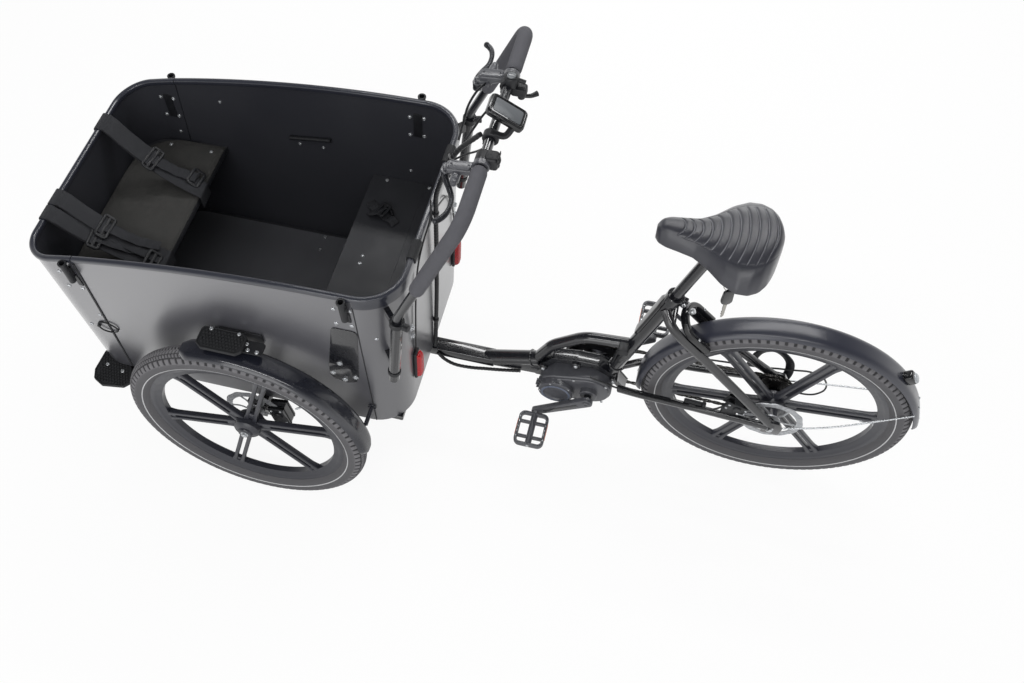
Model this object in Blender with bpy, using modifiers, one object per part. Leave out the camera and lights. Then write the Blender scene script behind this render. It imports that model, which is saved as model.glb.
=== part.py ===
"""Electric cargo tricycle: a box between two cambered front wheels, steered by a push bar,
in front of a rear frame with a mid motor. Metres, +Z up, bike facing -X, its right side at +Y.

Everything is placed from a point below the rear axle, 10 mm above the ground; one empty then
shifts the whole bike so that the origin is on the ground in the middle of its length."""
import math
import bpy
import bmesh
from mathutils import Matrix, Quaternion, Vector

# Wheels and stance
WHEELBASE = 1.296
REAR_WHEEL_RADIUS = 0.3395
FRONT_WHEEL_RADIUS = 0.3135
TYRE_RADIUS = 0.030
GROUND_Z = -0.010
REAR_HUB_Z = REAR_WHEEL_RADIUS + GROUND_Z
FRONT_TRACK_HALF = 0.360
CAMBER = math.radians(4.2)
MIDDLE_OF_LENGTH = -0.7125

# Wheel details
BEAD_HEIGHT = 0.0066
BEAD_HALF_WIDTH = 0.0115
RIM_WALL = 0.0035
RIM_DEPTH = 0.024
HUB_RADIUS = 0.034
FRONT_HUB_HALF = 0.034
REAR_HUB_HALF = 0.030
WHEEL_FACETS = 24
SPOKE_COUNT = 6
SPOKE_RIB = 0.010
SPOKE_SLOT = 0.010
SPOKE_THICKNESS = 0.014
AXLE_RADIUS = 0.008
ROTOR_RADIUS = 0.080
ROTOR_THICKNESS = 0.0024
ROTOR_OFFSET = 0.041
CLEARANCE = 0.0003

# Box: sheet walls with a curved top edge, wider at the top than at the floor
WALL = 0.006
BOX_TOP_HALF = 0.284
BOX_TOP_REAR = -0.871
BOX_TOP_FRONT = -1.767
BOX_FLOOR_HALF = 0.269
BOX_FLOOR_REAR = -0.906
BOX_FLOOR_FRONT = -1.762
BOX_CORNER = 0.090
BOX_FRONT_CORNER = 0.076
WALL_BOTTOM = 0.297
RIM_HIGHEST = 0.884
RIM_HIGHEST_X = -0.95
RIM_FALL = 0.172
TRIM_HALF_WIDTH = 0.007
TRIM_HALF_HEIGHT = 0.008
DOOR_SEAM_X = -1.622
DOOR_GAP = 0.0015
DOOR_HINGE = (-1.760, 0.286)
DOOR_HINGE_RADIUS = 0.005

# Floor, benches and what stands on them
FLOOR_THICKNESS = 0.008
BENCH_TOP = 0.602
BENCH_BOARD = 0.012
FRONT_BENCH_REAR = -1.535
FRONT_BENCH_PAD = 0.012
REAR_BENCH_FRONT = -1.127
LOCKER_PANEL = 0.010
LID_HINGE_X = -0.984
LOCKER_BACK_X = -0.920
BENCH_HALF = 0.2715
BATTERY_SIZE = (0.160, 0.360, 0.110)
STRAP_WIDTH = 0.040
STRAP_THICKNESS = 0.0024

# Front frame under the box, and the pivot it steers on
PIVOT_X = -1.196
KING_PIN_RADIUS = 0.012
BEAM_TOP = 0.279
BEAM_HEIGHT = 0.034
BEAM_WIDTH = 0.040
RAIL_HEIGHT = 0.0172
RAIL_WIDTH = 0.030
RAIL_Y = BOX_FLOOR_HALF - 0.034
AXLE_BEAM_RADIUS = 0.019

# Rear frame
ROUND_TUBE = 0.0205
ARCH_TUBE = 0.015
SEAT_TUBE = 0.0175
SEAT_TUBE_FOOT = (-0.437, 0.275)
SEAT_TUBE_HEAD = (-0.304, 0.716)
STAY_HALF = 0.0095
SEAT_STAY_TALL = 0.013
SEAT_STAY_BEND_Z = 0.632
DROPOUT_Y = 0.072
SEAT_POST_RADIUS = 0.0136
SADDLE_Z = 0.925
FIRST_CHANNEL = 0.395
CHANNEL_SPACING = 0.074
CHANNEL_COUNT = 8

# Drive
CRANK_AXIS = (-0.467, 0.278)
CRANK_LENGTH = 0.170
CRANK_ANGLE = math.radians(218.5)
CRANK_Y = 0.084
CRANK_THICKNESS = 0.014
PEDAL_LENGTH = 0.100
PEDAL_WIDTH = 0.082
PEDAL_THICKNESS = 0.018
CHAIN_LINE = 0.050
CHAINRING_RADIUS = 0.075
SPROCKET_RADIUS = 0.040
CHAIN_HEIGHT = 0.008
CHAIN_WIDTH = 0.007
CHAIN_SLACK = 0.0012
PULLEY_RADIUS = 0.017
MOTOR_LEFT = -0.052
MOTOR_RIGHT = 0.041
CRADLE_WIDTH = 0.091
CRADLE_Y = -0.0035

# Push bar
BAR_RADIUS = 0.010
FOAM_RADIUS = 0.016
FOAM_BORE = 0.0110
SOCKET_BORE = 0.0108
BRACKET_HEIGHT = 0.026
BAR_SOCKET_Y = BOX_TOP_HALF + 0.011
BAR_SOCKET_FOOT = (BOX_TOP_REAR - 0.0255, BAR_SOCKET_Y, 0.598)
BAR_SOCKET_TOP = (BOX_TOP_REAR + 0.008, BAR_SOCKET_Y, 0.855)
BAR_CORNER = (BOX_TOP_REAR + 0.153, BOX_TOP_HALF - 0.020, 1.183)
BAR_BEND = 0.045
GRIP_END_Y = 0.131
LEVER_PIVOT = (-0.790, 0.119, 1.149)

# Fenders
FENDER_GAP = 0.0125
FRONT_FENDER_RADIUS = FRONT_WHEEL_RADIUS + FENDER_GAP
REAR_FENDER_RADIUS = REAR_WHEEL_RADIUS + FENDER_GAP
FENDER_HALF_WIDTH = 0.031
FENDER_THICKNESS = 0.003
CROWN_DROP = 0.0006
REAR_FENDER_START = math.radians(8)
REAR_FENDER_END = math.radians(186)
REAR_FENDER_STEPS = 18
FRONT_FENDER_START = math.radians(2)
FRONT_FENDER_END = math.radians(109)
FRONT_FENDER_STEPS = 11
LAMP_HEIGHT = 0.024

# Foot plates
STEP_THICKNESS = 0.010
FENDER_STEP_LIFT = 0.0238
FENDER_STEP_ARM_X = 0.011 - WHEELBASE
FENDER_STEP_FLANGE_X = 0.046 - WHEELBASE
FRONT_STEP_TOP = 0.2945
WALL_LEAN = math.atan((BOX_TOP_HALF - BOX_FLOOR_HALF) / (RIM_HIGHEST - WALL_BOTTOM))


# Scene and materials

for old in list(bpy.data.objects):
    bpy.data.objects.remove(old, do_unlink=True)

parts = bpy.data.collections.new("electric_cargo_tricycle")
guides = bpy.data.collections.new("cutters")
for collection in (parts, guides):
    bpy.context.scene.collection.children.link(collection)


def material(name, hex_colour, roughness, metallic=0.0):
    """A plain surface; the colour is sRGB hex, turned to linear."""
    made = bpy.data.materials.new(name)
    made.use_nodes = True
    shader = made.node_tree.nodes["Principled BSDF"]
    channels = [int(hex_colour[i:i + 2], 16) / 255 for i in (0, 2, 4)]
    linear = [c / 12.92 if c <= 0.04045 else ((c + 0.055) / 1.055) ** 2.4 for c in channels]
    shader.inputs["Base Color"].default_value = (*linear, 1)
    shader.inputs["Roughness"].default_value = roughness
    shader.inputs["Metallic"].default_value = metallic
    return made


FRAME_PAINT = material("frame_paint", "45464b", 0.35, 0.3)
FENDER_PAINT = material("fender_paint", "30323c", 0.25, 0.2)
WALL_SHEET = material("wall_sheet", "2a2b2f", 0.35)
TRIM_PLASTIC = material("trim_plastic", "4b4f5c", 0.4)
BLACK_PLASTIC = material("black_plastic", "232428", 0.5)
RIM_ALLOY = material("rim_alloy", "5d5d63", 0.4, 0.5)
TYRE_RUBBER = material("tyre_rubber", "4a4948", 0.85)
GRIP_FOAM = material("grip_foam", "3a3b3e", 0.95)
BRIGHT_STEEL = material("bright_steel", "b8babd", 0.3, 1.0)
DARK_STEEL = material("dark_steel", "3b3c40", 0.35, 0.8)
SADDLE_COVER = material("saddle_cover", "3a3b43", 0.5)
BENCH_FABRIC = material("bench_fabric", "3a3a38", 0.95)
WEBBING = material("webbing", "2c2d30", 0.9)
RED_LENS = material("red_lens", "c0202a", 0.2)


# Joint empties

def empty(name, location, parent=None, rotation=(0, 0, 0)):
    """A marker on a joint's axis, placed from the ground point below the rear axle."""
    marker = bpy.data.objects.new(name, None)
    marker.empty_display_size = 0.03
    parts.objects.link(marker)
    marker.location = location
    marker.rotation_euler = rotation
    if parent:
        hang(marker, parent)
    return marker


def hang(thing, parent):
    """Parents without moving: both are placed from the rear axle's ground point."""
    bpy.context.view_layer.update()
    thing.parent = parent
    thing.matrix_parent_inverse = parent.matrix_world.inverted()


# Shape makers

def mesh_object(name, mesh):
    made = bpy.data.objects.new(name, mesh)
    parts.objects.link(made)
    return made


def from_bmesh(name, work):
    bmesh.ops.recalc_face_normals(work, faces=work.faces)
    if work.calc_volume(signed=True) < 0:
        bmesh.ops.reverse_faces(work, faces=work.faces)
    mesh = bpy.data.meshes.new(name)
    work.to_mesh(mesh)
    work.free()
    return mesh_object(name, mesh)


def rod(name, start, end, radius, sides=16, end_radius=None):
    """A round bar or cone between two points."""
    start = Vector(start)
    end = Vector(end)
    along = end - start
    work = bmesh.new()
    bmesh.ops.create_cone(work, cap_ends=True, segments=sides, radius1=radius,
                          radius2=radius if end_radius is None else end_radius, depth=along.length)
    turn = Vector((0, 0, 1)).rotation_difference(along).to_matrix().to_4x4()
    work.transform(Matrix.Translation((start + end) / 2) @ turn)
    return from_bmesh(name, work)


def block(name, size, centre, turn=(0, 0, 0), bevel=0.0, bevel_steps=1):
    """A box, its edges rounded by bevel, turned about its own centre."""
    work = bmesh.new()
    bmesh.ops.create_cube(work, size=1.0)
    work.transform(Matrix.Diagonal((*size, 1)))
    if bevel:
        bmesh.ops.bevel(work, geom=work.edges[:], offset=bevel, segments=bevel_steps,
                        affect="EDGES", profile=0.5)
    angles = Matrix.Rotation(turn[2], 4, "Z") @ Matrix.Rotation(turn[1], 4, "Y")
    work.transform(Matrix.Translation(centre) @ angles @ Matrix.Rotation(turn[0], 4, "X"))
    return from_bmesh(name, work)


def skin(name, rings, closed=False):
    """A loft: quads between rings of equal count, with flat ends unless it closes on itself."""
    work = bmesh.new()
    rows = [[work.verts.new(point) for point in ring] for ring in rings]
    count = len(rows[0])
    pairs = list(zip(rows, rows[1:]))
    if closed:
        pairs.append((rows[-1], rows[0]))
    for first, second in pairs:
        for i in range(count):
            j = (i + 1) % count
            work.faces.new((first[i], first[j], second[j], second[i]))
    if not closed:
        work.faces.new(rows[0][::-1])
        work.faces.new(rows[-1])
    return from_bmesh(name, work)


def baked(thing):
    """The evaluated object as a plain mesh object, caps welded."""
    bpy.context.view_layer.update()
    graph = bpy.context.evaluated_depsgraph_get()
    mesh = bpy.data.meshes.new_from_object(thing.evaluated_get(graph))
    work = bmesh.new()
    work.from_mesh(mesh)
    bmesh.ops.remove_doubles(work, verts=work.verts, dist=0.00001)
    bmesh.ops.dissolve_limit(work, angle_limit=0.002, verts=work.verts, edges=work.edges)
    bmesh.ops.recalc_face_normals(work, faces=work.faces)
    work.to_mesh(mesh)
    work.free()
    name = thing.name
    place = thing.matrix_world.copy()
    bpy.data.objects.remove(thing, do_unlink=True)
    made = mesh_object(name, mesh)
    made.matrix_world = place
    return made


def tube(name, points, radius, resolution=5, radii=None):
    """A bent bar along points, with flat caps; radii may scale it point by point."""
    curve = bpy.data.curves.new(name, "CURVE")
    curve.dimensions = "3D"
    curve.bevel_depth = radius
    curve.bevel_resolution = resolution
    curve.use_fill_caps = True
    spline = curve.splines.new("POLY")
    spline.points.add(len(points) - 1)
    for i, point in enumerate(points):
        spline.points[i].co = (*point, 1)
        spline.points[i].radius = radii[i] if radii else 1.0
    return baked(mesh_object(name, curve))


def plate(name, outline, thickness, lift=0.0, upright=False):
    """A flat outline given thickness. Upright: the outline is (x, z) and thickness runs along Y."""
    curve = bpy.data.curves.new(name, "CURVE")
    curve.dimensions = "2D"
    curve.fill_mode = "BOTH"
    curve.extrude = thickness / 2
    spline = curve.splines.new("POLY")
    spline.points.add(len(outline) - 1)
    for i, (u, v) in enumerate(outline):
        spline.points[i].co = (u, v, 0, 1)
    spline.use_cyclic_u = True
    made = mesh_object(name, curve)
    if upright:
        made.matrix_world = Matrix.Translation((0, lift, 0)) @ Matrix.Rotation(math.pi / 2, 4, "X")
    else:
        made.matrix_world = Matrix.Translation((0, 0, lift))
    made = baked(made)
    return settle(made)


def settle(thing):
    """Moves an object's place into its mesh."""
    thing.data.transform(thing.matrix_world)
    thing.matrix_world = Matrix.Identity(4)
    return thing


def turned(name, profile, steps=48):
    """A profile of (radius, offset along Y) points, closed on itself, turned about the Y axis."""
    work = bmesh.new()
    row = [work.verts.new((radius, 0, offset)) for radius, offset in profile]
    for i, first in enumerate(row):
        work.edges.new((first, row[(i + 1) % len(row)]))
    mesh = bpy.data.meshes.new(name)
    work.to_mesh(mesh)
    work.free()
    made = mesh_object(name, mesh)
    screw = made.modifiers.new("turn", "SCREW")
    screw.axis = "Z"
    screw.steps = steps
    screw.render_steps = steps
    screw.use_merge_vertices = True
    screw.merge_threshold = 0.00001
    made = baked(made)
    made.data.transform(Matrix.Rotation(math.pi / 2, 4, "X"))
    return made


def combine(target, others, operation="UNION"):
    """Joins others to the target, or cuts them out of it, one at a time."""
    for other in others:
        boolean = target.modifiers.new("join", "BOOLEAN")
        boolean.operation = operation
        boolean.solver = "EXACT"
        boolean.object = other
        target = baked(target)
        bpy.data.objects.remove(other, do_unlink=True)
    return target


def mirrored(thing, name):
    """The same piece on the other side of the bike."""
    mesh = thing.data.copy()
    mesh.transform(Matrix.Diagonal((1, -1, 1, 1)))
    mesh.flip_normals()
    made = mesh_object(name, mesh)
    for slot in thing.data.materials:
        if slot and not mesh.materials:
            mesh.materials.append(slot)
    return made


def finish(thing, name, surface, parent):
    """Names a piece, gives it its material and shading, and hangs it on its joint's empty."""
    thing.name = name
    thing.data.name = name
    thing.data.materials.clear()
    thing.data.materials.append(surface)
    thing.data.shade_smooth()
    thing.data.set_sharp_from_angle(angle=math.radians(35))
    hang(thing, parent)
    return thing


def filleted(points, radius, steps=5):
    """A path whose inner corners are arcs of the given radius."""
    points = [Vector(point) for point in points]
    path = [points[0]]
    for before, corner, after in zip(points, points[1:], points[2:]):
        inward = (before - corner).normalized()
        outward = (after - corner).normalized()
        half = inward.angle(outward) / 2
        reach = radius / math.tan(half)
        centre = corner + (inward + outward).normalized() * radius / math.sin(half)
        first = corner + inward * reach - centre
        last = corner + outward * reach - centre
        sweep = Quaternion(first.cross(last).normalized(), first.angle(last) / steps)
        for i in range(steps + 1):
            path.append(centre + first)
            first.rotate(sweep)
    path.append(points[-1])
    return path


def circle(radius, count, centre=(0, 0), start=0.0, end=2 * math.pi, closed=True):
    """Points round a circle or, with closed False, along an arc with both its ends."""
    share = count if closed else count - 1
    return [(centre[0] + radius * math.cos(start + (end - start) * i / share),
             centre[1] + radius * math.sin(start + (end - start) * i / share)) for i in range(count)]


def smooth_path(points, steps):
    """A Catmull-Rom curve through the points, with the given steps per span."""
    points = [Vector(point) for point in points]
    padded = [2 * points[0] - points[1]] + points + [2 * points[-1] - points[-2]]
    path = []
    for a, b, c, d in zip(padded, padded[1:], padded[2:], padded[3:]):
        for i in range(steps):
            t = i / steps
            path.append(0.5 * (2 * b + (c - a) * t + (2 * a - 5 * b + 4 * c - d) * t ** 2
                               + (3 * b - a - 3 * c + d) * t ** 3))
    path.append(points[-1])
    return path


# Joints

ground = empty("ground_below_rear_axle", (0, 0, 0))
steering = empty("steering_pivot", (PIVOT_X, 0, 0), ground)
door_pivot = empty("door_pivot", (DOOR_HINGE[0], 0, DOOR_HINGE[1]), steering)
rear_axle = empty("rear_axle", (0, 0, REAR_HUB_Z), ground)
crank_axle = empty("crank_axle", (CRANK_AXIS[0], 0, CRANK_AXIS[1]), ground)


def box_share(z):
    """0 at the foot of the walls, 1 at the rim's highest point."""
    return (z - WALL_BOTTOM) / (RIM_HIGHEST - WALL_BOTTOM)


def blend(low, high, z):
    return low + (high - low) * box_share(z)


def rim_height(x):
    """The curved top edge: highest near the rear, falling towards the front."""
    return RIM_HIGHEST - RIM_FALL * (x - RIM_HIGHEST_X) ** 2


# Front wheels' place: the tyre's section is round, so it touches the ground at its lowest point

FRONT_HUB_Z = (FRONT_WHEEL_RADIUS - TYRE_RADIUS) * math.cos(CAMBER) + TYRE_RADIUS + GROUND_Z
front_axles = {}
for side, sign in (("left", -1), ("right", 1)):
    front_axles[side] = empty("front_axle_" + side, (-WHEELBASE, sign * FRONT_TRACK_HALF, FRONT_HUB_Z),
                              steering, (sign * CAMBER, 0, 0))


# Wheels, made about their own centre with the axle along Y

def tyre(name, outer):
    """A round section whose foot is narrowed to the rim's bead."""
    centre = outer - TYRE_RADIUS
    seat = centre - TYRE_RADIUS
    narrow = seat + BEAD_HEIGHT
    reach = math.asin((centre - narrow) / TYRE_RADIUS)
    arc = circle(TYRE_RADIUS, 7, (0, 0), -reach, math.pi + reach, closed=False)
    profile = [(seat, BEAD_HALF_WIDTH), (narrow, BEAD_HALF_WIDTH)]
    profile += [(centre + up, offset) for offset, up in arc]
    profile += [(narrow, -BEAD_HALF_WIDTH), (seat, -BEAD_HALF_WIDTH)]
    return turned(name, profile, WHEEL_FACETS)


def wheel(name, outer, hub_half, rotor_side, sprockets=False):
    """Rim, six pairs of ribs, hub and brake disc in one casting, bored for its axle."""
    seat = outer - 2 * TYRE_RADIUS - CLEARANCE
    flange = BEAD_HALF_WIDTH + CLEARANCE
    lip = seat + BEAD_HEIGHT - 2 * CLEARANCE
    base = seat - RIM_DEPTH
    profile = [(lip, flange + RIM_WALL), (lip, flange), (seat, flange), (seat, -flange),
               (lip, -flange), (lip, -flange - RIM_WALL),
               (base, -SPOKE_THICKNESS / 2 - 0.001), (base, SPOKE_THICKNESS / 2 + 0.001)]
    made = turned(name, profile, WHEEL_FACETS)
    hub = rod("hub", (0, -hub_half, 0), (0, hub_half, 0), HUB_RADIUS, 16)
    reach = base + 0.003
    ribs = []
    for i in range(SPOKE_COUNT):
        for side in (-1, 1):
            rib = block("rib", (SPOKE_RIB, SPOKE_THICKNESS, reach - 0.02),
                        (side * (SPOKE_SLOT + SPOKE_RIB) / 2, 0, (reach + 0.02) / 2))
            rib.data.transform(Matrix.Rotation(2 * math.pi * i / SPOKE_COUNT, 4, "Y"))
            ribs.append(rib)
    rotor = rod("rotor", (0, rotor_side * (ROTOR_OFFSET - ROTOR_THICKNESS / 2), 0),
                (0, rotor_side * (ROTOR_OFFSET + ROTOR_THICKNESS / 2), 0), ROTOR_RADIUS, 24)
    boss = rod("boss", (0, 0, 0), (0, rotor_side * (ROTOR_OFFSET + 0.003), 0), 0.022, 12)
    hub = combine(hub, ribs + [boss, rotor])
    made = combine(made, [hub])
    if sprockets:
        stack = [(0.052, 0.0325), (0.052, 0.0445), (0.020, 0.0445), (0.020, 0.0475),
                 (SPROCKET_RADIUS, 0.0475), (SPROCKET_RADIUS, 0.0525), (0.024, 0.0560),
                 (0.010, 0.0600), (0.010, 0.0325)]
        cassette = turned("cassette", [(radius, -offset) for radius, offset in stack], 20)
        core = rod("core", (0, hub_half - 0.002, 0), (0, 0.058, 0), 0.016, 12)
        made = combine(made, [core, cassette])
    return made


def bore(made, start, end):
    cutter = rod("bore_cutter", (0, start, 0), (0, end, 0), AXLE_RADIUS + CLEARANCE, 12)
    return combine(made, [cutter], "DIFFERENCE")


def place_wheel(made, name, surface, marker):
    """Puts a piece made about the axle onto its marker, turned as the axle is."""
    made.name = name
    made.data.name = name
    made.data.materials.clear()
    made.data.materials.append(surface)
    made.data.shade_smooth()
    made.data.set_sharp_from_angle(angle=math.radians(35))
    made.parent = marker
    made.matrix_parent_inverse = Matrix.Identity(4)
    made.matrix_basis = Matrix.Identity(4)


CAP = 0.006
for side, sign in (("left", -1), ("right", 1)):
    cast = wheel("front_wheel", FRONT_WHEEL_RADIUS, FRONT_HUB_HALF, -sign)
    cast = bore(cast, sign * (FRONT_HUB_HALF - CAP), -sign * 0.1)
    place_wheel(cast, "front_wheel_" + side, RIM_ALLOY, front_axles[side])
    place_wheel(tyre("tyre", FRONT_WHEEL_RADIUS), "front_tyre_" + side, TYRE_RUBBER, front_axles[side])

cast = bore(wheel("rear_wheel", REAR_WHEEL_RADIUS, REAR_HUB_HALF, -1, sprockets=True), -0.1, 0.1)
place_wheel(cast, "rear_wheel", RIM_ALLOY, rear_axle)
place_wheel(tyre("tyre", REAR_WHEEL_RADIUS), "rear_tyre", TYRE_RUBBER, rear_axle)


# Front frame: rails under the floor, an axle beam, stub axles, brake calipers and the king pin

def stub_axle(side, sign):
    """Upright, stub axle and brake caliper on one end of the axle beam."""
    place = Matrix.Translation(front_axles[side].location) @ Matrix.Rotation(sign * CAMBER, 4, "X")
    inner = -sign
    axle = rod("axle", (0, inner * 0.052, 0), (0, sign * (FRONT_HUB_HALF - CAP - 0.001), 0), AXLE_RADIUS, 12)
    knuckle = block("knuckle", (0.044, 0.016, 0.060), (0, inner * 0.057, -0.008))
    body = block("caliper", (0.044, 0.034, 0.062), (0.071, inner * 0.047, 0.012), (0, -0.17, 0))
    slot = block("slot", (0.060, ROTOR_THICKNESS + 0.003, 0.090), (0.056, inner * ROTOR_OFFSET, 0.012),
                 (0, -0.17, 0))
    throat = rod("throat", (0, inner * 0.02, 0), (0, inner * 0.0535, 0), 0.0475, 16)
    body = combine(body, [slot, throat], "DIFFERENCE")
    arm = block("arm", (0.076, 0.010, 0.020), (0.040, inner * 0.0595, -0.004))
    body = combine(arm, [body])
    for piece in (axle, knuckle, body):
        piece.data.transform(place)
    return [knuckle, body, axle]


frame_bottom = BEAM_TOP + CLEARANCE
rail_z = frame_bottom + RAIL_HEIGHT / 2
rails = block("rails", (0.760, RAIL_WIDTH, RAIL_HEIGHT), (-1.300, RAIL_Y, rail_z), bevel=0.002)
right_rail = mirrored(rails, "right_rail")
crossings = [block("crossing", (0.040, 2 * RAIL_Y, RAIL_HEIGHT - 0.001), (x, 0, rail_z))
             for x in (-1.655, -0.945)]
turntable = block("turntable", (0.130, 2 * RAIL_Y, RAIL_HEIGHT - 0.0004), (PIVOT_X, 0, rail_z))
axle_beam = rod("axle_beam", (-WHEELBASE, -0.302, 0.272), (-WHEELBASE, 0.302, 0.272), AXLE_BEAM_RADIUS, 14)
king_pin = rod("king_pin", (PIVOT_X, 0, 0.232), (PIVOT_X, 0, rail_z), KING_PIN_RADIUS, 16)
pin_nut = rod("pin_nut", (PIVOT_X, 0, 0.226), (PIVOT_X, 0, BEAM_TOP - BEAM_HEIGHT - CLEARANCE), 0.022, 6)
hinge_x, hinge_z = DOOR_HINGE
knuckles = []
for y in (-0.19, 0.19):
    knuckles.append(rod("knuckle", (hinge_x, y - 0.014, hinge_z), (hinge_x, y + 0.014, hinge_z),
                        DOOR_HINGE_RADIUS, 10))
    knuckles.append(block("lug", (0.110, 0.024, 0.007), (hinge_x + 0.055, y, hinge_z)))
ends = stub_axle("left", -1) + stub_axle("right", 1)
front_frame = combine(rails, [right_rail, turntable] + crossings + [axle_beam, king_pin, pin_nut]
                      + ends + knuckles)
finish(front_frame, "front_frame", FRAME_PAINT, steering)


# Box walls

def plan_path(front, rear, half, seam, part, corner_steps=6):
    """Points (x, y) and outward normals along the box's plan: the rear U or the front U."""
    straight = 5 if part == "rear" else 2
    end_x, direction, radius = (rear, 1, BOX_CORNER) if part == "rear" else (front, -1, BOX_FRONT_CORNER)
    corner_x = end_x - direction * radius
    corner_y = half - radius
    points = []
    for i in range(straight):
        points.append((seam + (corner_x - seam) * i / straight, -half, 0, -1))
    for i in range(corner_steps + 1):
        angle = math.pi / 2 * i / corner_steps
        points.append((corner_x + direction * radius * math.sin(angle),
                       -corner_y - radius * math.cos(angle),
                       direction * math.sin(angle), -math.cos(angle)))
    back = [(x, -y, nx, -ny) for x, y, nx, ny in reversed(points)]
    return points + back


def wall_point(low, high, share, shift):
    """A point on the wall's middle surface, moved along its outward normal."""
    x = low[0] + (high[0] - low[0]) * share
    y = low[1] + (high[1] - low[1]) * share
    return Vector((x + low[2] * shift, y + low[3] * shift, WALL_BOTTOM + (RIM_HIGHEST - WALL_BOTTOM) * share))


def wall_and_trim(part, seam):
    """One bent wall sheet and the trim along its top edge."""
    low = plan_path(BOX_FLOOR_FRONT, BOX_FLOOR_REAR, BOX_FLOOR_HALF, seam, part)
    high = plan_path(BOX_TOP_FRONT, BOX_TOP_REAR, BOX_TOP_HALF, seam, part)
    sheet = []
    trim = []
    for foot, head in zip(low, high):
        edge = rim_height(head[0])
        top = box_share(edge - TRIM_HALF_HEIGHT - 2 * CLEARANCE)
        sheet.append([wall_point(foot, head, 0, WALL / 2), wall_point(foot, head, top, WALL / 2),
                      wall_point(foot, head, top, -WALL / 2), wall_point(foot, head, 0, -WALL / 2)])
        centre = wall_point(foot, head, box_share(edge), 0)
        outward = Vector((foot[2], foot[3], 0))
        ring = []
        for across, up in ((1, -1), (1, 0.5), (0.5, 1), (-0.5, 1), (-1, 0.5), (-1, -1)):
            ring.append(centre + outward * TRIM_HALF_WIDTH * across + Vector((0, 0, TRIM_HALF_HEIGHT * up)))
        trim.append(ring)
    return skin(part + "_wall", sheet), skin(part + "_trim", trim)


wall, trim = wall_and_trim("rear", DOOR_SEAM_X)
finish(wall, "box_shell", WALL_SHEET, steering)
finish(trim, "box_rim", TRIM_PLASTIC, steering)

wall, trim = wall_and_trim("front", DOOR_SEAM_X - DOOR_GAP)
door_pieces = []
for y in (-0.16, 0.16):
    door_pieces.append(rod("barrel", (hinge_x, y - 0.0155, hinge_z), (hinge_x, y + 0.0155, hinge_z),
                           DOOR_HINGE_RADIUS, 10))
    door_pieces.append(block("leaf", (WALL, 0.030, 0.030), (BOX_FLOOR_FRONT, y, 0.302)))
wall = combine(wall, [door_pieces[1], door_pieces[0], door_pieces[3], door_pieces[2]])
finish(wall, "front_door", WALL_SHEET, door_pivot)
finish(trim, "door_rim", TRIM_PLASTIC, door_pivot)


# Floor and benches

def rounded_outline(x_front, x_rear, half_front, half_rear, front_corner, rear_corner, step_x=None, steps=7):
    """A board's outline in plan; step_x is where its width changes."""
    right = []
    if rear_corner:
        right += circle(rear_corner, steps, (x_rear - rear_corner, half_rear - rear_corner),
                        0, math.pi / 2, closed=False)
    else:
        right.append((x_rear, half_rear))
    if step_x is not None:
        right += [(step_x, half_rear), (step_x - 0.004, half_front)]
    if front_corner:
        right += circle(front_corner, steps, (x_front + front_corner, half_front - front_corner),
                        math.pi / 2, math.pi, closed=False)
    else:
        right.append((x_front, half_front))
    left = [(x, -y) for x, y in reversed(right)]
    return right + left


def inner_half(z):
    """Half the room between the side walls at a height."""
    return blend(BOX_FLOOR_HALF, BOX_TOP_HALF, z) - WALL / 2


floor_half = inner_half(WALL_BOTTOM) - CLEARANCE
floor_z = frame_bottom + RAIL_HEIGHT + CLEARANCE + FLOOR_THICKNESS / 2
outline = rounded_outline(BOX_FLOOR_FRONT + WALL / 2 + 0.003, BOX_FLOOR_REAR - WALL / 2 - CLEARANCE,
                          floor_half - 0.001, floor_half, BOX_CORNER, BOX_CORNER - WALL / 2,
                          DOOR_SEAM_X + 0.010)
floor_board = plate("floor", outline, FLOOR_THICKNESS, floor_z)
floor_top = floor_z + FLOOR_THICKNESS / 2
lid_bottom = BENCH_TOP - BENCH_BOARD
panel_height = lid_bottom - CLEARANCE - floor_top
panel = block("panel", (LOCKER_PANEL, 2 * BENCH_HALF - 0.014, panel_height + 0.002),
              (REAR_BENCH_FRONT + 0.016, 0, floor_top + panel_height / 2 - 0.001))
back = block("back", (LOCKER_PANEL, 0.400, panel_height + 0.010),
             (LOCKER_BACK_X, 0, floor_top + panel_height / 2 + 0.004))
board_half = inner_half(lid_bottom) - CLEARANCE
ledge_rear = blend(BOX_FLOOR_REAR, BOX_TOP_REAR, lid_bottom) - WALL / 2 - CLEARANCE
outline = rounded_outline(LID_HINGE_X + CLEARANCE, ledge_rear, board_half, board_half, 0,
                          BOX_CORNER - WALL / 2)
ledge = plate("ledge", outline, BENCH_BOARD, BENCH_TOP - BENCH_BOARD / 2)
finish(combine(floor_board, [panel, back, ledge]), "box_floor", BLACK_PLASTIC, steering)

front_inner = blend(BOX_FLOOR_FRONT, BOX_TOP_FRONT, BENCH_TOP) + WALL / 2
outline = rounded_outline(front_inner + 0.002, FRONT_BENCH_REAR, board_half - 0.006, board_half,
                          BOX_CORNER, 0, DOOR_SEAM_X + 0.014)
finish(plate("front_bench", outline, BENCH_BOARD, BENCH_TOP - BENCH_BOARD / 2),
       "front_bench", BLACK_PLASTIC, steering)


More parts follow.
